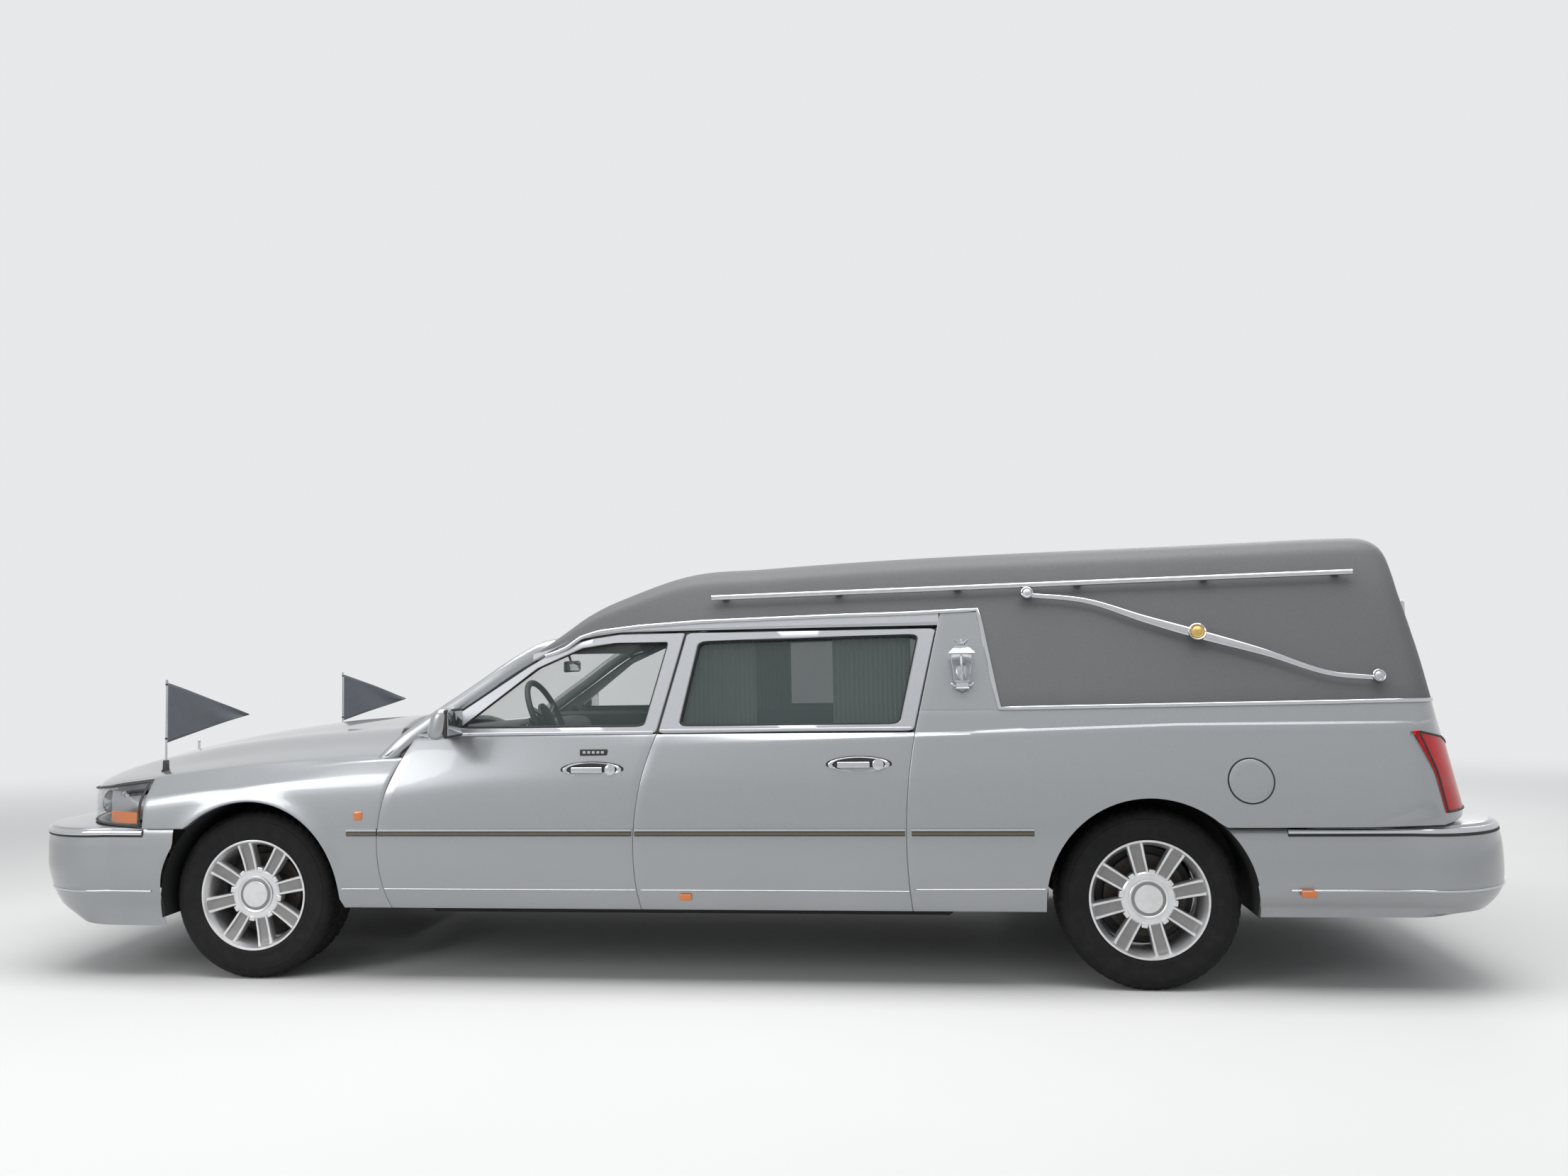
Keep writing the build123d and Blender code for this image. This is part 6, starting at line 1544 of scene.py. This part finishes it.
class HEARSE_OT_wheels(bpy.types.Operator):
    """Four tyres with grooved treads and four eight-spoke alloy rims with brake discs"""
    bl_idname = "hearse.wheels"
    bl_label = "Wheels"

    def execute(self, context):
        for place, wheel_x in (("front", 0.0), ("rear", REAR_AXLE)):
            for side, word in SIDES:
                centre = np.array((wheel_x, side * WHEEL_Y, HUB_Z))
                self.tyre(centre, side, f"{place}_{word}")
                self.rim(centre, side, f"{place}_{word}")
        return {"FINISHED"}

    def tyre(self, centre, side, word):
        """Lathe of the section; blocks are cut where a sawtooth of angle and width falls under a
        share."""
        steps, blocks = 224, 56
        wall = [(-0.094, 0.217), (-0.100, 0.226), (-0.106, 0.250), (-0.1115, 0.285), (-0.112, 0.305),
                (-0.108, 0.322), (-0.100, 0.3355), (-0.090, 0.345), (-0.084, 0.3485)]
        tread = [(groove + across, r) for groove in (-0.055, -0.018, 0.018, 0.055)
                 for across, r in ((-0.006, 0.3495), (-0.004, 0.3415), (0.004, 0.3415), (0.006, 0.3495))]
        outer = [(0.084, 0.3485), (0.090, 0.345), (0.100, 0.3355), (0.108, 0.322), (0.1095, 0.313),
                 (0.1115, 0.311), (0.1122, 0.303), (0.1122, 0.285), (0.109, 0.262), (0.1075, 0.252),
                 (0.1085, 0.249), (0.1065, 0.240), (0.101, 0.228), (0.094, 0.217)]
        grid = lathe(wall + tread + outer, (0, 0, 0), (0, 1, 0), steps)
        across, radius = grid[..., 1], np.hypot(grid[..., 0], grid[..., 2])
        saw = (np.arange(steps)[:, None] / steps * blocks + np.abs(across) * 14) % 1
        cut = np.where((saw < 0.25) & (radius > 0.336) & (np.abs(across) > 0.02), 0.0055, 0.0)
        grid = grid * stacked((radius - cut) / radius, 1, (radius - cut) / radius)
        inner = lathe(((0.094, 0.217), (-0.094, 0.217)), (0, 0, 0), (0, 1, 0), steps)
        pile = Pile()
        pile.add(np.concatenate([grid, inner], 1) * (1, side, 1) + centre, 0, centre, loop="uv")
        pile.piece("tyre_tread_" + word, ("tyre_rubber",), body="wheel_" + word,
                   replaces=("tyre_" + word,), slot="tyre", sharp=32)

    def rim(self, centre, side, word):
        """Turned barrel, brake disc, shield, hub and cap, with spokes, lug covers and slots."""
        pile, out = Pile(), np.array((0, side, 0))
        bright, grey, disc, dark = range(4)
        for mark, profile in (
                (bright, ((-0.094, 0.2155), (-0.094, 0.224), (-0.090, 0.2155), (-0.06, 0.205),
                          (0.03, 0.200), (0.075, 0.207), (0.086, 0.212), (0.100, 0.219),
                          (0.1065, 0.2225), (0.108, 0.227), (0.107, 0.2305), (0.1035, 0.231),
                          (0.100, 0.229), (0.0945, 0.2165))),
                (disc, ((-0.018, 0.030), (-0.018, 0.1595), (-0.016, 0.160), (0.004, 0.160),
                        (0.006, 0.1595), (0.006, 0.030))),
                (dark, ((-0.032, 0.045), (-0.032, 0.186), (-0.026, 0.192), (-0.023, 0.188),
                        (-0.023, 0.045))),
                (bright, ((-0.012, 0.070), (0.062, 0.066), (0.078, 0.068), (0.084, 0.0725),
                          (0.087, 0.076), (0.090, 0.0765), (0.0915, 0.074), (0.0905, 0.069),
                          (0.0875, 0.066))),
                (grey, ((0.0875, 0.066), (0.0882, 0.0645), (0.0892, 0.0545))),
                (bright, ((0.0892, 0.0545), (0.0908, 0.0530), (0.0918, 0.040), (0.092, 0.020),
                          (0.092, 0.0))),
                (bright, ((0.050, 0.088), (0.072, 0.106), (0.080, 0.1045), (0.0846, 0.0985),
                          (0.0850, 0.076)))):
            pile.turn(profile, centre, out, mark, 96, centre + out * 0.02)
        # Spoke section: share of the half width, height off the face, share of the pocket's depth
        section = np.array((
            (-1, -0.036, 0), (-1.04, -0.006, 0), (-0.93, 0, 0), (-0.66, 0, 0), (-0.60, 0, 1),
            (0.60, 0, 1), (0.66, 0, 0), (0.93, 0, 0), (1.04, -0.006, 0), (1, -0.036, 0)))
        r = np.array((0.064, 0.078, 0.090, 0.098, 0.104, 0.12, 0.15, 0.18, 0.198, 0.204, 0.212,
                      0.222))[:, None]
        face = 0.084 + 0.013 * np.clip((r - 0.12) / 0.10, 0, 1) ** 2
        pocket = 0.007 * np.clip(np.minimum((r - 0.099) / 0.004, (0.208 - r) / 0.006), 0, 1)
        across = section[:, 0] * (0.026 + (r - 0.064) * 0.045)
        high = face + section[:, 1] - section[:, 2] * pocket
        spokes = settings().spokes
        for number in range(spokes):
            angle = math.radians(13 + number * 360 / spokes) * -side
            frame_of = self.directions(angle, out)
            grid = centre + stacked(r, across, high) @ frame_of
            core = centre + (0.15, 0, 0.06) @ frame_of
            for part, mark in ((grid[:, :5], bright), (grid[:, 4:6], grey), (grid[:, 5:], bright),
                               (grid[:, (0, -1)], bright)):
                pile.add(part, mark, core)
            between = self.directions(angle + math.pi / spokes, out)
            cover = rounded_box((0.092, -0.0125, 0.050), (0.114, 0.0125, 0.0865), 0.004)
            cover = centre + cover @ between
            pile.add(cover, bright, cover.mean((0, 1)))
            pile.turn(((0.0061, 0.006), (0.0072, 0.005), (0.0072, 0.0)),
                      centre + between[0] * 0.135, out, dark, 10)
        pile.piece("rim_alloy_" + word, ("alloy", "alloy_grey", "cast_iron", "black_plastic"),
                   body="wheel_" + word, replaces=("rim_" + word,), slot="wheel_alloy", sharp=35)

    def directions(self, angle, out):
        """Rows that turn (outwards from the hub, along the rim, off the wheel) into x, y, z."""
        c, s = math.cos(angle), math.sin(angle)
        return np.array(((c, 0, s), (-s, 0, c), out))


class HEARSE_OT_landau_trim(bpy.types.Operator):
    """Landau bars, coach lamps and roof rails"""
    bl_idname = "hearse.landau_trim"
    bl_label = "Landau bars, lamps and rails"
    lean = (0, -0.958, 0.287)

    def execute(self, context):
        self.bars()
        self.lanterns()
        self.rails()
        return {"FINISHED"}

    def bars(self):
        """S-shaped bars, thicker by a bell curve about the middle, with a boss at each rest."""
        bars = Pile(-1, 1)
        points = ((3.259, 1.550), (3.500, 1.518), (3.720, 1.440), (3.913, 1.378), (4.160, 1.302),
                  (4.400, 1.216), (4.570, 1.197))
        first, boss, last = points[0], points[3], points[-1]
        xs = np.linspace(first[0], last[0], 80)
        zs = smooth_table(xs, points)
        bars.tube(side_grid(xs, side_plane_y(zs) + 0.026, zs), 0.006, 0.0125, 0, 14, 2.6,
                  scale=0.72 + 0.75 * hump(xs, boss[0], 0.30))
        for (x, z), radius, inlay, cap in (
                (first, 0.025, 0, 2), (last, 0.025, 0, 2), (boss, 0.036, 1, 1)):
            base = (x, -float(side_plane_y(z)) - 0.001, z)
            for mark, profile in (
                    (0, ((0.0, 0.013), (0.014, 0.011), (0.016, radius * 0.9), (0.020, radius),
                         (0.032, radius), (0.036, radius * 0.95), (0.0375, radius * 0.86),
                         (0.036, radius * 0.80))),
                    (inlay, ((0.036, radius * 0.80), (0.034, radius * 0.76), (0.0365, radius * 0.70),
                             (0.036, radius * 0.55))),
                    (cap, ((0.036, radius * 0.55), (0.038, radius * 0.4), (0.0385, 0.0)))):
                bars.turn(profile, base, self.lean, mark, 40)
        bars.piece("landau_irons", ("chrome", "boss_gold", "satin"), replaces=("landau_bars",),
                   slot="chrome")

    def lanterns(self):
        """Six-sided lanterns with an edge towards the viewer, flattened against the body."""
        lamps = Pile(-1, 1)
        x, y, foot = 2.986, float(side_plane_y(1.27)) + 0.044, 1.165
        base, flat, corner = np.array((x, -y, foot)), np.array((1, 0.54, 1)), 0.866
        for profile, mark in (
                (((0.0, 0.002), (0.005, 0.008), (0.010, 0.020), (0.015, 0.027), (0.018, 0.024),
                  (0.020, 0.0235), (0.037, 0.0245), (0.040, 0.030), (0.044, 0.031), (0.045, 0.0)), 0),
                (((0.044, 0.0285), (0.152, 0.0450)), 1),
                (((0.150, 0.044), (0.151, 0.051), (0.156, 0.052), (0.161, 0.046), (0.180, 0.027),
                  (0.184, 0.026), (0.184, 0.0)), 0)):
            grid = lathe([(z, r / corner) for z, r in profile], (0, 0, 0), UP, 6)
            lamps.add(grid * flat + base, mark, loop="u")
        lamps.turn(((0.045, 0.0), (0.046, 0.010), (0.070, 0.010), (0.072, 0.006), (0.105, 0.006),
                    (0.112, 0.0)), base, UP, 2, 16)

        def radial(ray, points):
            """Points from (distance along a ray, height) of the lantern."""
            return np.array([ray * r + (0, 0, z) for r, z in points])

        for number in range(6):
            angle = math.pi / 2 + math.radians(60 * number)
            ray = np.array((math.cos(angle), math.sin(angle), 0)) / corner
            post = radial(ray, ((0.0290, 0.042), (0.0455, 0.153)))
            lamps.tube(post * flat + base, 0.0026, 0.0026)
            leaf = radial(ray, ((0.008, 0.182), (0.011, 0.192), (0.020, 0.202), (0.031, 0.209)))
            lamps.tube(leaf * flat + base, 0.0045, 0.0022, up=ray, scale=(1.0, 1.3, 1.1, 0.3))
        for sign in (-1, 1):
            scroll = radial(np.array((sign, 0, 0)), ((0.022, 0.026), (0.032, 0.024), (0.040, 0.030),
                                                    (0.044, 0.035)))
            lamps.tube(scroll + base, 0.004, 0.003, scale=(1.0, 1.2, 1.0, 0.4))
        wall_y = float(side_plane_y(1.25))
        plate = lathe(((0.0, 0.026), (0.004, 0.025), (0.006, 0.020), (0.007, 0.0)), (0, 0, 0),
                      self.lean, 32)
        lamps.add(plate * (0.8, 1, 1.4) + (x, -wall_y, 1.245), 0, loop="u")
        arm = ((x, -wall_y - 0.002, 1.200), (x, -wall_y - 0.016, 1.190), (x, -y + 0.010, 1.190),
               (x, -y, 1.194))
        lamps.tube(arm, 0.006, 0.006, 0, 10, up=(1, 0, 0))
        lamps.piece("coach_lanterns", ("chrome", "lens", "satin"), replaces=("coach_lamps",),
                    slot="chrome", sharp=25)

    def rails(self):
        """A straight tube that rises to the rear, on six feet."""
        rails = Pile(-1, 1)
        xs = np.linspace(1.959, 4.532, 60)
        zs = np.linspace(1.567, 1.614, 60)
        rails.tube(side_grid(xs, side_plane_y(zs) + 0.028, zs), 0.0090, 0.0115, 0, 14)
        for x in (2.015, 2.492, 2.981, 3.463, 3.963, 4.471):
            z = zs[0] + (x - xs[0]) * 0.01827
            y = float(side_plane_y(z))
            rails.block((x - 0.016, -y - 0.028, z - 0.010), (x + 0.016, -y + 0.002, z + 0.008), 0.006, 1)
        rails.piece("roof_rail_tubes", ("chrome", "black_plastic"), replaces=("roof_rails",),
                    slot="chrome")


def bench(profile, half_width, crown, channels=()):
    """A padded form: a side outline carried across the car, drawn in towards its ends by a
    superellipse, crowned by a parabola and dipped by a bell curve at each sewn channel."""
    outline = softened(profile, 0.30, 7)
    heart = outline.mean(0)
    s = np.linspace(-1, 1, 97)[:, None]
    pull = (1 - np.abs(s) ** 14) ** (1 / 6)
    dip = sum(hump(s, channel, 0.014) for channel in channels)
    grow = (1 + crown * (1 - s * s) - 0.05 * dip) * (0.80 + 0.20 * pull)
    x, z = np.moveaxis(heart + (outline - heart) * grow[..., None], -1, 0)
    grid = stacked(x, s * half_width, z)
    first, last = (np.broadcast_to((heart[0], y, heart[1]), grid[:1].shape)
                   for y in (-half_width, half_width))
    return np.concatenate([first, grid, last])


class HEARSE_OT_cabin(bpy.types.Operator):
    """Front bench, dashboard, steering wheel, inner mirror, windshield, casket deck and curtains"""
    bl_idname = "hearse.cabin"
    bl_label = "Cabin"
    tilt = math.radians(24)
    column = np.array((math.cos(tilt), 0, math.sin(tilt)))
    hub = np.array((1.112, -0.370, 1.052))

    def execute(self, context):
        self.seat()
        self.dash()
        self.steering()
        self.deck()
        self.curtains()
        dress("windshield", "clear_glass", name="windshield_pane")
        return {"FINISHED"}

    def seat(self):
        """Cushion and back with sewn channels, the base, and two head rests on posts."""
        seat, front = Pile(), 1.240
        cushion = ((-0.022, 0.470), (-0.028, 0.570), (0.020, 0.612), (0.250, 0.606), (0.420, 0.584),
                   (0.470, 0.530), (0.440, 0.450), (0.100, 0.440))
        back = ((0.430, 0.560), (0.452, 0.760), (0.535, 1.010), (0.570, 1.048), (0.640, 1.044),
                (0.655, 1.000), (0.610, 0.700), (0.570, 0.480), (0.480, 0.480))
        for outline, half, crown in ((cushion, 0.655, 0.012), (back, 0.650, 0.010)):
            padded = bench(np.array(outline) + (front, 0), half, crown,
                           (-0.62, -0.30, -0.10, 0.10, 0.30, 0.62))
            seat.add(padded, loop="v")
        seat.block((front + 0.02, -0.60, 0.335), (front + 0.52, 0.60, 0.470), 0.02, 1)
        x = front + 0.618
        for y in (-0.37, 0.37):
            seat.block((x - 0.038, y - 0.128, 1.062), (x + 0.038, y + 0.128, 1.234), 0.034, 0, 6)
            for post in (y - 0.05, y + 0.05):
                seat.turn(((0, 0.006), (0.06, 0.006)), (x, post, 1.02), UP, 2, 10)
        piece = seat.piece("bench_seat", ("seat_leather", "carpet", "chrome"), replaces=("front_seat",),
                           slot="trim_cloth", sharp=60)

    def dash(self):
        """Padded form with the gauges' hood, vents, keys, glove box, column, stalks and mirror."""
        dash = Pile()
        skin, black, chrome, satin = range(4)
        outline = ((0.832, 0.985), (0.870, 1.004), (0.930, 1.011), (0.985, 1.008), (1.015, 0.992),
                   (1.034, 0.950), (1.030, 0.880), (1.010, 0.780), (0.998, 0.705), (0.900, 0.645),
                   (0.832, 0.684))
        dash.add(bench(outline, 0.698, 0.0), loop="v")
        dash.block((0.940, -0.515, 0.975), (1.042, -0.225, 1.034), 0.024, skin, 5)
        dash.block((1.030, -0.500, 0.955), (1.044, -0.240, 1.020), 0.008, black)
        for y in (-0.44, -0.30):
            dash.turn(((0.0, 0.040), (0.004, 0.040), (0.006, 0.037), (0.004, 0.035), (0.0035, 0.0)),
                      (1.0435, y, 0.988), (1, 0, 0), chrome, 32)
        dash.block((1.016, -0.145, 0.790), (1.040, 0.115, 0.945), 0.010, black)
        dash.block((1.030, -0.115, 0.880), (1.043, 0.085, 0.930), 0.004, satin, 2)
        for y in (-0.60, -0.17, 0.17, 0.60):
            for z in 0.905 + 0.016 * np.arange(4):
                dash.block((1.022, y - 0.045, z), (1.038, y + 0.045, z + 0.006), 0.002, black, 2)
        for z in 0.805 + 0.023 * np.arange(3):
            for y in -0.10 + 0.042 * np.arange(5):
                dash.block((1.030, y, z), (1.043, y + 0.03, z + 0.015), 0.003, satin, 2)
        dash.block((1.012, 0.200, 0.770), (1.030, 0.560, 0.890), 0.010, skin)
        start = self.hub - self.column * 0.034
        dash.turn(((0.0, 0.0), (0.0, 0.030), (-0.006, 0.034), (-0.110, 0.036), (-0.120, 0.036)), start,
                  self.column, skin, 28)
        for sign in (-1, 1):
            stalk = [start + (0, sign * y, z) - self.column * back
                     for y, z, back in ((0.03, 0, 0.02), (0.11, 0.006, 0.01), (0.145, 0.010, 0))]
            dash.tube(stalk, 0.006, 0.006, black, 10)
        dash.block((1.112, -0.115, 1.254), (1.132, 0.115, 1.308), 0.009, black, 4)
        dash.block((1.130, -0.108, 1.260), (1.1345, 0.108, 1.302), 0.002, chrome, 2)
        stem = ((1.118, 0, 1.300), (1.108, 0, 1.330), (1.092, 0, 1.362))
        dash.tube(stem, 0.006, 0.006, black, up=(0, 1, 0))
        dash.piece("dash_panel", ("dash_skin", "black_plastic", "chrome", "satin"),
                   replaces=("dashboard",), slot="black_plastic")

    def steering(self):
        """Ring, boss and four spokes, square to the column."""
        wheel = Pile()
        ring = [(0.013 * math.sin(a), 0.175 + 0.0145 * math.cos(a))
                for a in np.linspace(0, 2 * math.pi, 16, endpoint=False)]
        wheel.add(lathe(ring, self.hub, self.column, 96), loop="uv")
        wheel.turn(((-0.014, 0.0), (-0.014, 0.060), (-0.006, 0.072), (0.006, 0.070), (0.013, 0.055),
                    (0.016, 0.03), (0.017, 0.0)), self.hub, self.column, 0, 40)
        right = np.array((0.0, -1.0, 0.0))
        up = np.cross(right, self.column)
        up *= math.copysign(1, up[2])
        for degrees, mark in ((20, 1), (160, 1), (215, 0), (325, 0)):
            angle = math.radians(degrees)
            ray = right * math.cos(angle) + up * math.sin(angle)
            spoke = self.hub + ray * np.linspace(0.055, 0.168, 8)[:, None]
            wheel.tube(spoke, 0.0125, 0.007, mark, 12, 3, up=self.column)
        wheel.piece("steering_wheel_rim", ("dash_skin", "satin"), body="steering_wheel",
                    replaces=("steering_wheel",), slot="black_plastic")

    def deck(self):
        """Boards, side panels and rails along the car, and seven rollers across."""
        deck, front, rear, half, top, boards, rollers = Pile(), 1.960, 4.792, 0.560, 0.640, 8, 7
        board = 2 * half / boards
        for y in -half + board * np.arange(boards):
            deck.block((front, y + 0.001, top - 0.024), (rear, y + board - 0.001, top), 0.003, 0, 2)
        for side in (-1, 1):
            y = side * 0.545
            deck.block((front, y - 0.015, 0.332), (3.2, y + 0.015, top - 0.024), 0.004, 2, 2)
            rail = [(x, side * 0.50, top + 0.012) for x in (front + 0.03, 3.3, rear - 0.03)]
            deck.tube(rail, 0.009, 0.009, 1, 10)
        for number in range(rollers):
            x = front + (number + 0.5) * (rear - front) / rollers
            deck.turn(((0.0, 0.0), (0.0, 0.018), (0.003, 0.022), (0.697, 0.022), (0.70, 0.018),
                       (0.70, 0.0)), (x, -0.35, top + 0.010), (0, 1, 0), 1, 24)
        deck.piece("casket_table", ("wood", "chrome", "carpet"), replaces=("casket_deck",), slot="deck")

    def curtains(self):
        """Folds as a sine of the share along the car, its phase a sine of the height."""
        panels = (("front", 1.828, 0.302, 15), ("rear", 2.455, 0.318, 16))
        for (side, word), (place, start, long, folds) in product(SIDES, panels):
            s = np.linspace(0, 1, 14 * folds + 1)[None, :]
            v = np.linspace(0, 1, 31)[:, None]
            fold = 0.0085 * np.sin(2 * math.pi * folds * s + 0.5 * np.sin(v * 4)) * (0.75 + 0.25 * v)
            grid = side_grid(start + long * s, 0.703 + fold, 1.022 + 0.392 * v)
            pile = Pile(side)
            pile.add(grid, core=(start, 0.0, 1.2))
            piece = pile.piece(f"curtain_{word}_{place}", ("curtain",), slot="curtain_cloth",
                               wall=0.001, sharp=80)
            if (word, place) == ("left", "front"):
                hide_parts("curtains")


class HEARSE_OT_underside(bpy.types.Operator):
    """Chassis, floor, engine bay, axles, exhaust, tank and cowl in their own finishes"""
    bl_idname = "hearse.underside"
    bl_label = "Underside and cowl"

    def execute(self, context):
        for node, finish, body, slot, bevel in (
                ("floor_pan", "carpet", "root", "steel", 0.0),
                ("engine_bay", "under_steel", "root", "steel", 0.002),
                ("engine_block", "cast_iron", "root", "cast", 0.006),
                ("chassis_frame", "under_steel", "root", "steel", 0.004),
                ("front_suspension", "cast_iron", "root", "steel", 0.003),
                ("rear_axle", "cast_iron", "root", "cast", 0.002),
                ("exhaust", "pipe_steel", "root", "pipe", 0.004),
                ("fuel_tank", "under_steel", "root", "steel", 0.012),
                ("knuckle_left", "cast_iron", "knuckle_left", "cast", 0.003),
                ("knuckle_right", "cast_iron", "knuckle_right", "cast", 0.003),
                ("cowl", "black_plastic", "root", "black_plastic", 0.002)):
            dress(node, finish, body, bevel)
        return {"FINISHED"}


BACKDROP = (0.80, 0.81, 0.82)


class HEARSE_OT_stage(bpy.types.Operator):
    """Pale floor, soft lamps, world and the camera at the photograph's view"""
    bl_idname = "hearse.stage"
    bl_label = "Floor, lamps and camera"

    def execute(self, context):
        scene = context.scene
        self.floor(scene)
        self.world(scene)
        self.lamps(scene)
        self.camera(scene)
        scene.view_settings.view_transform = "Standard"
        return {"FINISHED"}

    def floor(self, scene):
        """A pale floor that fades into the backdrop with the distance."""
        mesh, size = bpy.data.meshes.new("floor"), 60.0
        corners = [(x * size, y * size, 0) for x, y in ((-1, -1), (1, -1), (1, 1), (-1, 1))]
        mesh.from_pydata(corners, [], [(0, 1, 2, 3)])
        floor = bpy.data.objects.new("floor", mesh)
        scene.collection.objects.link(floor)
        shade = Shade("floor_pale")
        pale = shade.tint(shade.noise(0.6, 3.0), (0.60, 0.60, 0.59), (0.64, 0.64, 0.63))
        lit = shade.node("ShaderNodeBsdfPrincipled", {}, Base_Color=pale, Roughness=0.8)
        far = (shade.axis("X") ** 2.0 * 0.35 + shade.axis("Y") ** 2.0 * 0.8) ** 0.5
        glow = shade.node("ShaderNodeEmission", {}, BACKDROP, 1.0)
        mixed = shade.node("ShaderNodeMixShader", {}, far.step(3.0, 9.0) * shade.seen(), lit, glow)
        shade.node("ShaderNodeOutputMaterial", {}, mixed)
        mesh.materials.append(shade.material)

    def world(self, scene):
        """The backdrop where it is seen, and soft light from all round."""
        scene.world = bpy.data.worlds.new("studio")
        air = Shade("studio", scene.world)
        light = air.node("ShaderNodeBackground", {}, (0.93, 0.96, 1.0), settings().sky_strength)
        back = air.node("ShaderNodeBackground", {}, BACKDROP, 1.0)
        mixed = air.node("ShaderNodeMixShader", {}, air.seen(), light, back)
        air.node("ShaderNodeOutputWorld", {}, mixed)

    def lamps(self, scene):
        """Three soft boxes, each turned to a point of the car."""
        for name, place, target, width, depth, power in (
                ("top_light", (0.0, -1.5, 6.0), (0, 0, 0.8), 9.0, 4.0, 520.0),
                ("front_light", (-5.5, -6.0, 3.6), (-1.0, 0, 0.8), 3.0, 3.0, 130.0),
                ("back_light", (4.5, 6.0, 4.0), (0.5, 0, 1.0), 5.0, 2.5, 150.0)):
            data = bpy.data.lights.new(name, "AREA")
            data.shape = "RECTANGLE"
            data.size, data.size_y, data.energy = width, depth, power
            lamp = bpy.data.objects.new(name, data)
            lamp.location = place
            lamp.rotation_euler = (Vector(target) - lamp.location).to_track_quat("-Z", "Y").to_euler()
            scene.collection.objects.link(lamp)

    def camera(self, scene):
        """The photograph's view, from the fitted place and angles."""
        data = bpy.data.cameras.new("camera")
        data.sensor_width = 36.0
        data.lens = settings().lens
        yaw, pitch, roll = -0.1108, 0.0526, -0.0178
        ahead = Vector((math.sin(yaw), math.cos(yaw), 0))
        right = Vector((math.cos(yaw), -math.sin(yaw), 0))
        view = ahead * math.cos(pitch) + Vector(UP) * math.sin(pitch)
        top = Vector(UP) * math.cos(pitch) - ahead * math.sin(pitch)
        across = right * math.cos(roll) + top * math.sin(roll)
        upright = top * math.cos(roll) - right * math.sin(roll)
        camera = bpy.data.objects.new("camera", data)
        turned = Matrix((across, upright, -view)).transposed().to_4x4()
        camera.matrix_world = Matrix.Translation((0.79668, -5.65474, 1.34368)) @ turned
        scene.collection.objects.link(camera)
        scene.camera = camera


def colour_of(name, description, default):
    """A colour that a user may change."""
    return FloatVectorProperty(name=name, description=description, default=default, subtype="COLOR",
                               size=3, min=0, max=1)


class HearseSettings(bpy.types.PropertyGroup):
    """Colours, sizes and light that a user may change"""
    paint_colour: colour_of("Paint", "Body colour in full light", (0.340, 0.350, 0.363))
    # Paint shade is also the painted shade that the lower flank is tinted towards near the sill.
    paint_shade: colour_of("Paint shade", "Body colour of the flakes turned away",
                           (0.215, 0.223, 0.234))
    vinyl_colour: colour_of("Vinyl", "Colour of the landau roof", (0.105, 0.109, 0.113))
    vinyl_faded: colour_of("Vinyl faded", "Colour where the sun has faded it", (0.155, 0.160, 0.165))
    pennant_length: FloatProperty(name="Pennant length", description="From the pole to the tip",
                                  default=0.380, min=0.1, max=0.6, unit="LENGTH")
    pennant_hoist: FloatProperty(name="Pennant hoist", description="Height at the pole",
                                 default=0.262, min=0.1, max=0.4, unit="LENGTH")
    grille_bars: IntProperty(name="Grille bars", description="Upright bars in the grille",
                             default=21, min=3, max=60)
    spokes: IntProperty(name="Spokes", description="Spokes of each rim", default=8, min=3, max=16)
    sky_strength: FloatProperty(name="Sky", description="Strength of the light from all round",
                                default=0.52, min=0, max=3)
    lens: FloatProperty(name="Lens", description="Focal length of the camera in millimetres",
                        default=27.03, min=10, max=200)


OPERATORS = (HEARSE_OT_stage, HEARSE_OT_fenders, HEARSE_OT_doors, HEARSE_OT_quarters, HEARSE_OT_roof,
             HEARSE_OT_hood, HEARSE_OT_gate, HEARSE_OT_bumpers, HEARSE_OT_lamps, HEARSE_OT_wheels,
             HEARSE_OT_landau_trim, HEARSE_OT_cabin, HEARSE_OT_underside)


class HEARSE_PT_panel(bpy.types.Panel):
    """Lists the pieces and the settings"""
    bl_label = "Hearse"
    bl_idname = "HEARSE_PT_panel"
    bl_space_type = "VIEW_3D"
    bl_region_type = "UI"
    bl_category = "Hearse"

    def draw(self, context):
        for name in HearseSettings.__annotations__:
            self.layout.prop(context.scene.hearse, name)
        for operator in OPERATORS:
            self.layout.operator(operator.bl_idname)


CLASSES = (HearseSettings, *OPERATORS, HEARSE_PT_panel)


def register():
    """Registers the classes and hangs the settings on the scene."""
    for kind in CLASSES:
        bpy.utils.register_class(kind)
    bpy.types.Scene.hearse = PointerProperty(type=HearseSettings)


def unregister():
    """Takes them away again."""
    del bpy.types.Scene.hearse
    for kind in reversed(CLASSES):
        bpy.utils.unregister_class(kind)


def main():
    """Makes all pieces and the stage."""
    register()
    for operator in OPERATORS:
        family, name = operator.bl_idname.split(".")
        getattr(getattr(bpy.ops, family), name)()


if __name__ == "__main__":
    main()
